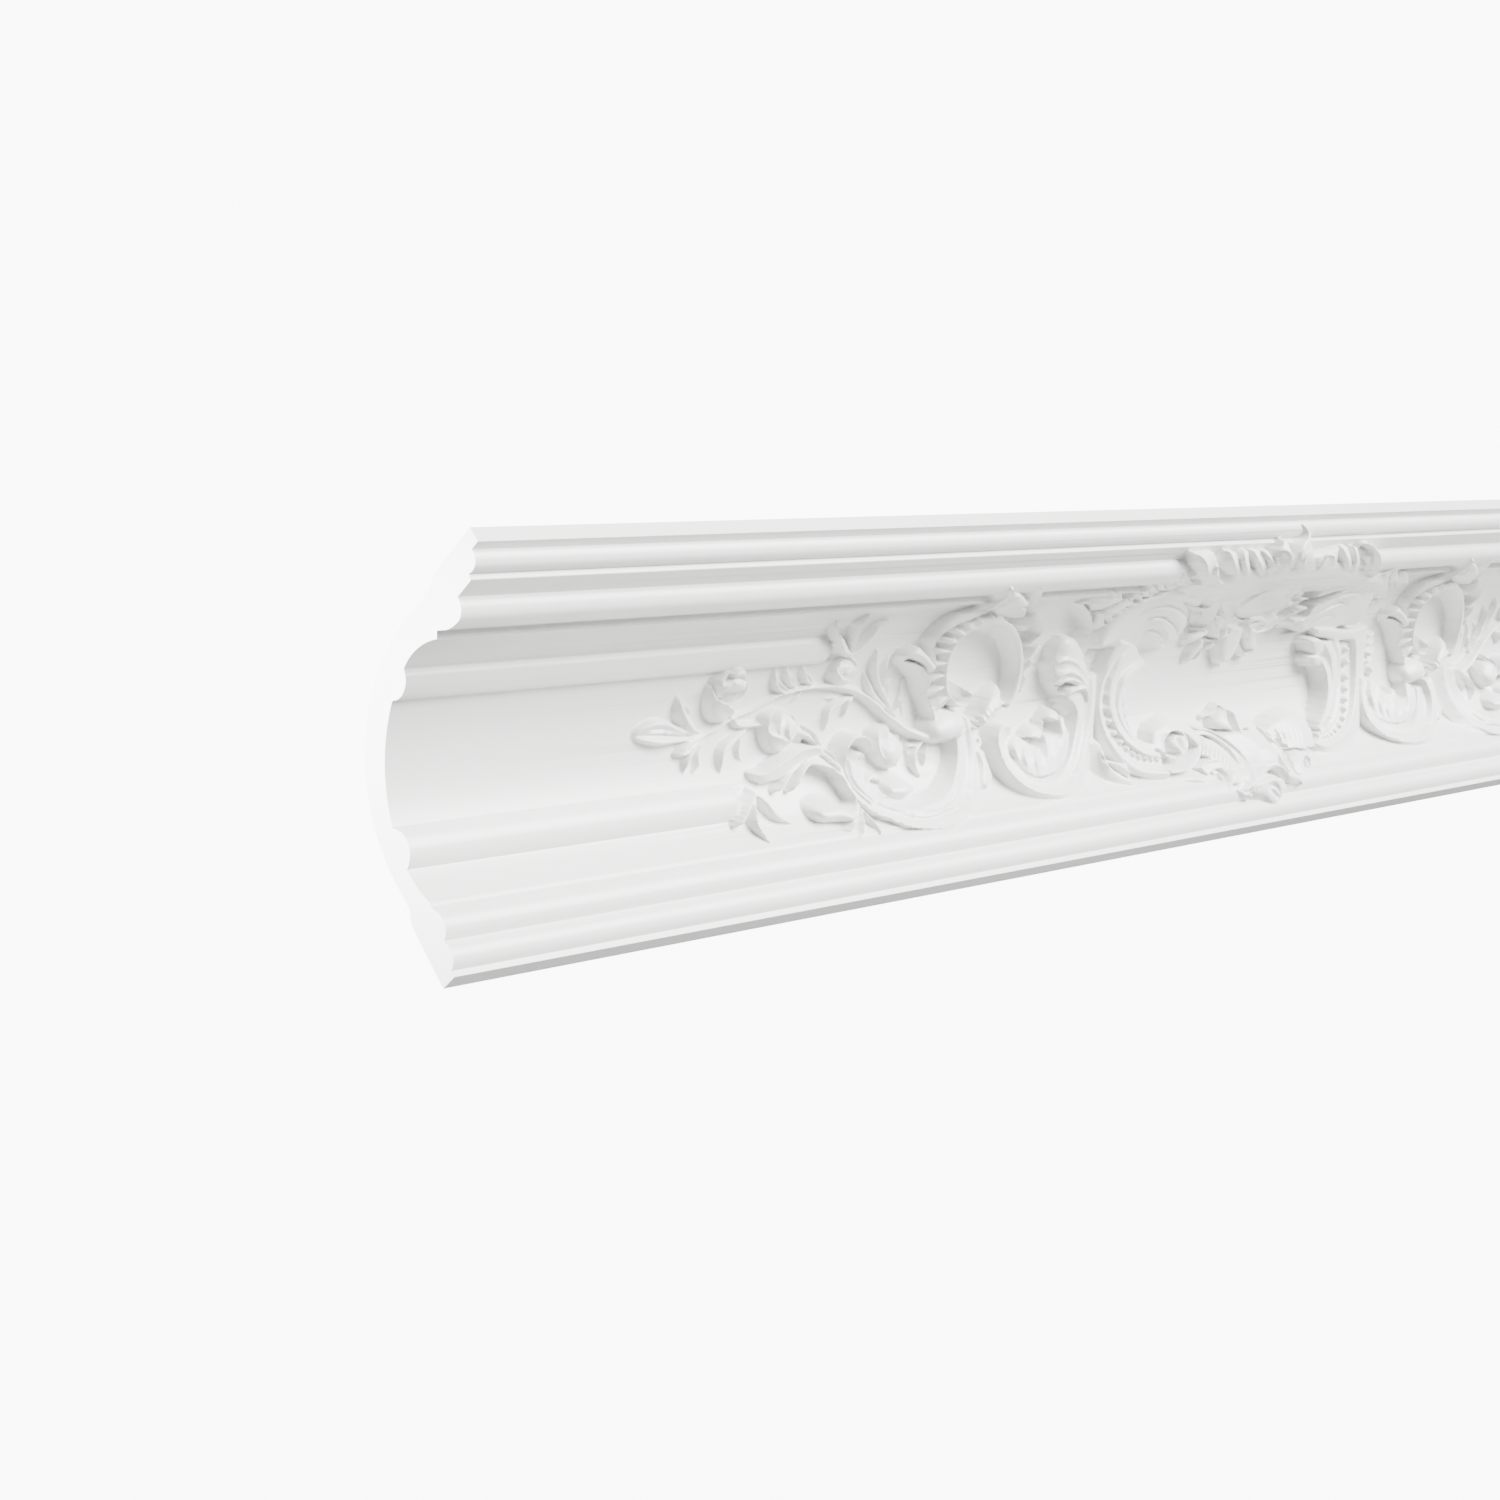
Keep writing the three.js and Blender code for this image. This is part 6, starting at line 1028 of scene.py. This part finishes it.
line(bud, (528, -28.8, 2.2, 9), (528.1, -30.9, 3, 10.5), (531.6, -32.3, 2.4, 11), (534.9, -32.7, 1.2, 11))
line(bud, (542.7, -15.9, 1.76, 9), (543.9, -17.8, 2.4, 10.5), (548.3, -19.1, 1.92, 11),
     (552, -19.5, 1.2, 11))
rank(dome, (1.2, 1.8, 1.6, 0.8), (0, 1.6, 2, 1.4),
     (11, (533, -32.3), (529.1, -34.4), (531.9, -35.1), (539.2, -34.8)),
     (11, (535.9, -27.5), (532.5, -29.5), (535.6, -30.3), (542.8, -29.9)),
     (11, (539.6, -22.7), (536.7, -24.7), (540, -25.4), (547.1, -25)),
     (11, (539.9, -16.6), (537.4, -18.6), (540.8, -19.3), (547.9, -18.8)))

# ---- mouldings
# The plain run of the cornice: lip, bead, ovolo and fillet above the cove, cavetto and two beads
# below it, and two astragals that come in from each end. It is cast in one with the carving, with
# a hollow back and two flat faces that are glued to wall and ceiling.
LENGTH, PROJECTION, DROP, MOUNT_DOWN = 1000.0, 110.0, 106.0, 93.5
ROOT_TWO = math.sqrt(2)
COVE_RADIUS, COVE_CENTRE, COVE_HALF = 58.0, 97.0, 46.0
STEP = 0.5
BAND_FROM, BAND_TO, CARVED_FROM, CARVED_TO = -73.5, 62.0, 100.0, 900.0


def arc(points, out, down, rise, steps):
    """Adds an arc to (out, down), with its middle standing off the chord by rise."""
    x0, y0 = points[-1]
    dx, dy = out - x0, down - y0
    span = math.hypot(dx, dy)
    radius = (span * span / 4 + rise * rise) / (2 * abs(rise))
    half = math.asin(min(1, span / 2 / radius))
    for i in range(1, steps + 1):
        a = -half + 2 * half * i / steps
        along_chord = 0.5 + radius * math.sin(a) / span
        height = math.copysign(1, rise) * radius * (math.cos(a) - math.cos(half))
        points.append((x0 + dx * along_chord + dy / span * height,
                       y0 + dy * along_chord - dx / span * height))


def front():
    """Front of the section from the lip to the foot, as (out from wall, down from ceiling)."""
    p = [(PROJECTION, 0), (PROJECTION, 5.8), (106.1, 5.8)]
    arc(p, 99.9, 10.8, 2.5, 14)
    p += [(99.3, 13), (90.6, 13)]
    arc(p, 86, 19.2, 1.5, 12)
    arc(p, 75.2, 14.9, 1.1, 10)
    p.append((73.4, 17))
    arc(p, 57.5, 13.1, -1.3, 14)
    arc(p, 10.4, 65, -11.9, 160)
    arc(p, 13.2, 80.5, -0.8, 12)
    p.append((12.4, 82.7))
    arc(p, 10.5, 94.4, 3.6, 18)
    arc(p, 7.4, 103.7, 2.7, 16)
    p += [(7.4, DROP), (0, DROP)]
    return p


def back():
    """Hollow back between the two glue faces, with the relief groove beside each."""
    p = [(0, 81), (2.6, 76.5), (2.6, 69)]
    arc(p, 69, 2.6, 21.6, 48)
    p += [(81.5, 2.6), (86, 0)]
    return p


def turned(points):
    """Section points as (c, n): c down across the cove, n out from the corner of the room."""
    return [((v - u) / ROOT_TWO, (v + u) / ROOT_TWO) for u, v in points]


def ground(c):
    """Ground on which the carving's heights stand: the cove, eased out beyond its two edges."""
    a = np.abs(c)
    cove = COVE_CENTRE - np.sqrt(COVE_RADIUS ** 2 - np.minimum(a, COVE_HALF) ** 2)
    beyond = 61.7 + 18.3 * (1 - np.exp(-(np.maximum(a, COVE_HALF) - COVE_HALF) * 1.3 / 18.3))
    return np.where(a <= COVE_HALF, cove, beyond)


def rounded(z):
    """Takes the sharp edges off, as the mould and the primer do."""
    for _ in range(2):
        z = np.pad(z, 2, mode="edge")
        z = (z[:-4] + 4 * z[1:-3] + 6 * z[2:-2] + 4 * z[3:-1] + z[4:]) / 16
        z = (z[:, :-4] + 4 * z[:, 1:-3] + 6 * z[:, 2:-2] + 4 * z[:, 3:-1] + z[:, 4:]) / 16
    return z


profile = np.array(turned(front()))
plain = np.interp(across, profile[:, 0], profile[:, 1])[:, None]
carved = ground(across)[:, None] + carving
share = np.clip(rounded((carved > plain + 0.08).astype(float)) * 2.5 - 0.25, 0, 1)
fine = rounded(np.maximum(carved, plain))

# rows across the cove, moved onto the arrises of the section, and columns along the carving
rows = np.arange(BAND_FROM, BAND_TO + 0.01, STEP)
row_places = np.rint((rows - across[0]) / GRID).astype(int)
for c in profile[:, 0]:
    k = np.argmin(np.abs(rows - c))
    if abs(rows[k] - c) < STEP * 0.6:
        rows[k] = c
cols = np.arange(CARVED_FROM, CARVED_TO + 0.01, STEP)
col_places = np.rint((cols - along[0]) / GRID).astype(int)
base = np.interp(rows, profile[:, 0], profile[:, 1])
part = share[np.ix_(row_places, col_places)]
surface = base[:, None] * (1 - part) + fine[np.ix_(row_places, col_places)] * part


def astragal(surface, upper, lower, end, rounding=6.0):
    """Half-round between two lines on the cove, from each end of the length to its leaf."""
    def on_cove(c):
        n = float(ground(np.array(c)))
        return (n - c) / ROOT_TWO, (n + c) / ROOT_TWO
    crown = [on_cove(upper)]
    arc(crown, *on_cove(lower), 4.8, 24)
    crown = np.array(turned(crown))
    inside = (rows >= upper) & (rows <= lower)
    bump = np.interp(rows, crown[:, 0], crown[:, 1]) - base
    bump = np.where(inside, np.maximum(bump, 0), 0)[:, None]
    for x in (cols, LENGTH - cols):
        inset = np.clip(x - (end - rounding), 0, rounding) / rounding
        fade = np.sqrt(np.clip(1 - inset ** 2, 0, 1))
        surface = np.maximum(surface, base[:, None] + bump * fade[None])
    return surface


surface = astragal(surface, -28.8, -16.2, 214)
surface = astragal(surface, 26.4, 38.7, 162)


def to_frame(x, c, n):
    """Places on the drawing in the frame: metres, x from the middle, z from the mounting point."""
    u, v = (n - c) / ROOT_TWO, (n + c) / ROOT_TWO
    return np.stack([(x - LENGTH / 2), -u, MOUNT_DOWN - v], -1) / 1000.0


# the carved band as a grid; where it runs straight along the length, long strips replace its cells
grid = np.concatenate([surface[:, :1], surface, surface[:, -1:]], axis=1)
grid_x, grid_c = np.meshgrid(np.r_[0.0, cols, LENGTH], rows)
places = [to_frame(grid_x, grid_c, grid).reshape(-1, 3)]
count = grid.size
index = np.arange(count).reshape(grid.shape)
cells = np.stack([index[:-1, :-1], index[1:, :-1], index[1:, 1:], index[:-1, 1:]], -1)
level = np.abs(np.diff(grid, axis=1)) < 1e-6
straight = level[:-1] & level[1:]
faces = cells[~straight].tolist()
near_carving = np.pad(~straight, 1, constant_values=False)
left, right = near_carving[:, :-1], near_carving[:, 1:]
corners = (left[:-1], left[1:], right[:-1], right[1:])
kept = np.logical_or.reduce(corners)
kept[:, [0, -1]] = True
inner = np.logical_and.reduce(corners)


def strip(above, below):
    """Triangles between two rows of places, taken from left to right."""
    row_step = grid.shape[1]
    i = j = 0
    while i < len(above) - 1 or j < len(below) - 1:
        if j == len(below) - 1 or (i < len(above) - 1 and above[i + 1] + row_step <= below[j + 1]):
            faces.append([int(above[i]), int(below[j]), int(above[i + 1])])
            i += 1
        else:
            faces.append([int(above[i]), int(below[j]), int(below[j + 1])])
            j += 1


for k in range(len(rows) - 1):
    turns = np.flatnonzero(np.diff(np.r_[False, straight[k], False].astype(int)))
    for start, stop in zip(turns[::2], turns[1::2] + 1):
        strip(*(index[r, start:stop][kept[r, start:stop]] for r in (k, k + 1)))


def rail(points):
    """The two ends of every straight line along the length through the section's points."""
    global count
    p = np.array(points)
    places.append(to_frame(np.repeat([0.0, LENGTH], len(p)), *np.tile(p.T, 2)))
    left = list(range(count, count + len(p)))
    count += 2 * len(p)
    return left, [k + len(p) for k in left]


lip_left, lip_right = rail([p for p in profile.tolist() if p[0] < rows[0] - 1e-6])
foot_left, foot_right = rail([p for p in profile.tolist() if p[0] > rows[-1] + 1e-6] + turned(back()))


def boards(left, right):
    """Flat strips along the whole length, between each line and the next."""
    return [[left[k], left[k + 1], right[k + 1], right[k]] for k in range(len(left) - 1)]


faces += boards(lip_left, lip_right)
faces.append([lip_left[-1]] + index[0][kept[0]].tolist() + [lip_right[-1]])
faces.append(index[-1][kept[-1]].tolist()[::-1] + [foot_left[0], foot_right[0]])
faces += boards(foot_left, foot_right)
faces.append([foot_left[-1], lip_left[0], lip_right[0], foot_right[-1]])
faces.append((lip_left + index[:, 0].tolist() + foot_left)[::-1])
faces.append(lip_right + index[:, -1].tolist() + foot_right)

mesh = bpy.data.meshes.new("cornice_length")
mesh.from_pydata(np.concatenate(places).tolist(), [], faces)
mesh.validate()
cornice = bpy.data.objects.new("cornice_length", mesh)
bpy.context.collection.objects.link(cornice)

# The cast is closed and its carved faces are thinned out to what the carving needs.
TRIANGLES = 190000
bm = bmesh.new()
bm.from_mesh(mesh)
weight = bm.verts.layers.deform.verify()
for vertex, is_inner in zip(bm.verts, inner.ravel()):
    if is_inner:
        vertex[weight][0] = 1.0
bmesh.ops.delete(bm, geom=[vertex for vertex in bm.verts if not vertex.link_faces], context="VERTS")
bmesh.ops.recalc_face_normals(bm, faces=bm.faces)
bm.to_mesh(mesh)
bm.free()
cornice.vertex_groups.new(name="carved")
thinning = cornice.modifiers.new("thin out", "DECIMATE")
thinning.ratio = TRIANGLES / sum(len(p.vertices) - 2 for p in mesh.polygons)
thinning.vertex_group = "carved"
bpy.context.view_layer.objects.active = cornice
cornice.select_set(True)
bpy.ops.object.modifier_apply(modifier=thinning.name)
bpy.ops.object.shade_smooth_by_angle(angle=math.radians(40))

# Normals of the carved band are those of the full grid, so that the thinned faces shade smoothly.
# A face takes them if it lies on the grid and leans the same way, or nearly so where it is a sliver.
OFF_GRID, SLIVER, IN_LINE, ROUGHLY_IN_LINE = 0.4, 0.7, 0.9, 0.4
slope_c, slope_x = np.gradient(surface, rows, cols)


def read(block, name, kind, width=1):
    """One attribute of all items of a mesh block, as an array."""
    values = np.empty(len(block) * width, kind)
    block.foreach_get(name, values)
    return values.reshape(-1, width) if width > 1 else values


spot = read(mesh.vertices, "co", float, 3) * 1000
u, v = -spot[:, 1], MOUNT_DOWN - spot[:, 2]
spot_c, spot_n, spot_x = (v - u) / ROOT_TWO, (u + v) / ROOT_TWO, spot[:, 0] + LENGTH / 2
row_at = np.clip(np.interp(spot_c, rows, np.arange(len(rows))), 0, len(rows) - 1.001)
col_at = np.clip(np.interp(spot_x, cols, np.arange(len(cols))), 0, len(cols) - 1.001)
row, col = row_at.astype(int), col_at.astype(int)
row_at, col_at = row_at - row, col_at - col


def on_grid(g):
    """Value of a grid at every vertex of the mesh."""
    upper = g[row, col] * (1 - col_at) + g[row, col + 1] * col_at
    lower = g[row + 1, col] * (1 - col_at) + g[row + 1, col + 1] * col_at
    return upper * (1 - row_at) + lower * row_at


gx, gc = -on_grid(slope_x), -on_grid(slope_c)
true_normal = np.stack([gx, (gc - 1) / ROOT_TWO, (-gc - 1) / ROOT_TWO], -1)
true_normal /= np.linalg.norm(true_normal, axis=1)[:, None]
in_band = (spot_c > rows[0] + 0.2) & (spot_c < rows[-1] - 0.2)
in_band &= np.abs(on_grid(surface) - spot_n) < OFF_GRID
corner = read(mesh.corner_normals, "vector", "f", 3)
of_vertex = read(mesh.loops, "vertex_index", "i")
sides = read(mesh.polygons, "loop_total", "i")
flat = np.repeat(read(mesh.polygons, "normal", "f", 3), sides, 0)
first = np.cumsum(sides) - sides
following = np.arange(len(of_vertex)) + 1
following[first + sides - 1] = first
edge = np.linalg.norm(spot[of_vertex] - spot[of_vertex[following]], axis=1)
width = 2e6 * read(mesh.polygons, "area", "f") / np.maximum.reduceat(edge, first)
thin = np.repeat(width < SLIVER, sides)
lean = (flat * true_normal[of_vertex]).sum(1)
smooth_here = in_band[of_vertex] & ((lean > IN_LINE) | (thin & (lean > ROUGHLY_IN_LINE)))
mesh.normals_split_custom_set(np.where(smooth_here[:, None], true_normal[of_vertex], corner).tolist())


# The foam has a factory primer, a white water-based coat sprayed on. It hides the foam's colour and
# leaves an even satin skin, pale grey in the hollows and with a soft light line on every edge.
def linear(hexa):
    """sRGB hex as linear colour."""
    v = [int(hexa[i:i + 2], 16) / 255 for i in (1, 3, 5)]
    return [x / 12.92 if x <= 0.04045 else ((x + 0.055) / 1.055) ** 2.4 for x in v] + [1]


def finish_of(name, settings):
    """Material of one even finish, with its values on the shader's own sockets."""
    material = bpy.data.materials.new(name)
    material.use_nodes = True
    for socket, value in settings.items():
        material.node_tree.nodes["Principled BSDF"].inputs[socket].default_value = value
    return material


primer = finish_of("factory primer on polyurethane",
                   {"Base Color": linear("#e8e8e6"), "Roughness": 0.32, "IOR": 1.5})
mesh.materials.append(primer)
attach(cornice, "root")
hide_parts("cornice_moulding")

# ---- floor, backdrop, light and camera
# A plain pale floor well below the cornice and a lit sheet of paper behind it. A wide soft light
# comes level from the front and a little from the right, and a small lamp lights the cut end.
KEY_FROM, KEY_WIDTH, KEY_STRENGTH = (0.5, -0.86, 0.02), 0.8, 18
LAMP_AT, LAMP_TOWARDS, LAMP_SIDE, LAMP_POWER = (-0.86, 0.24, 0.26), (-0.5, -0.05, 0.04), 0.2, 20
CAMERA_AT = Vector((-1.0364, -0.6104, -0.2942))
RIGHT = Vector((0.68878, -0.55619, -0.46501))
UP = Vector((0.08289, -0.57679, 0.81267))
FORWARD = Vector((0.72022, 0.59829, 0.35118))
LENS, SENSOR, BACKDROP_AWAY = 61.97, 36, 8.0

bpy.ops.mesh.primitive_plane_add(size=5, location=(0, 0, -0.9))
floor = bpy.context.object
floor.name = "floor"
floor.data.materials.append(finish_of("pale floor", {"Base Color": linear("#b8b8b8"), "Roughness": 0.9}))

world = bpy.data.worlds.new("studio")
world.use_nodes = True
world.node_tree.nodes["Background"].inputs["Color"].default_value = linear("#ffffff")
world.node_tree.nodes["Background"].inputs["Strength"].default_value = 0.13
bpy.context.scene.world = world

camera = bpy.data.objects.new("camera", bpy.data.cameras.new("camera"))
bpy.context.collection.objects.link(camera)
camera.data.lens = LENS
camera.data.sensor_width = SENSOR
camera.data.clip_start = 0.01
axes = [(RIGHT[i], UP[i], -FORWARD[i], CAMERA_AT[i]) for i in range(3)]
camera.matrix_world = Matrix(axes + [(0, 0, 0, 1)])
bpy.context.scene.camera = camera

end_lamp = bpy.data.objects.new("end lamp", bpy.data.lights.new("end lamp", "AREA"))
end_lamp.data.size = LAMP_SIDE
end_lamp.data.energy = LAMP_POWER
end_lamp.location = LAMP_AT
towards_end = Vector(LAMP_TOWARDS) - Vector(LAMP_AT)
end_lamp.rotation_euler = towards_end.to_track_quat("-Z", "Y").to_euler()
bpy.context.collection.objects.link(end_lamp)

key = bpy.data.objects.new("key", bpy.data.lights.new("key", "SUN"))
key.data.energy = KEY_STRENGTH
key.data.angle = KEY_WIDTH
key.rotation_euler = Vector(KEY_FROM).to_track_quat("Z", "Y").to_euler()
bpy.context.collection.objects.link(key)

bpy.ops.mesh.primitive_plane_add(size=5)
backdrop = bpy.context.object
backdrop.name = "backdrop"
backdrop.location = CAMERA_AT + FORWARD * BACKDROP_AWAY
backdrop.rotation_euler = camera.matrix_world.to_euler()
backdrop.data.materials.append(finish_of("lit backdrop paper", {
    "Base Color": linear("#ffffff"), "Emission Color": linear("#ffffff"), "Emission Strength": 9.0}))
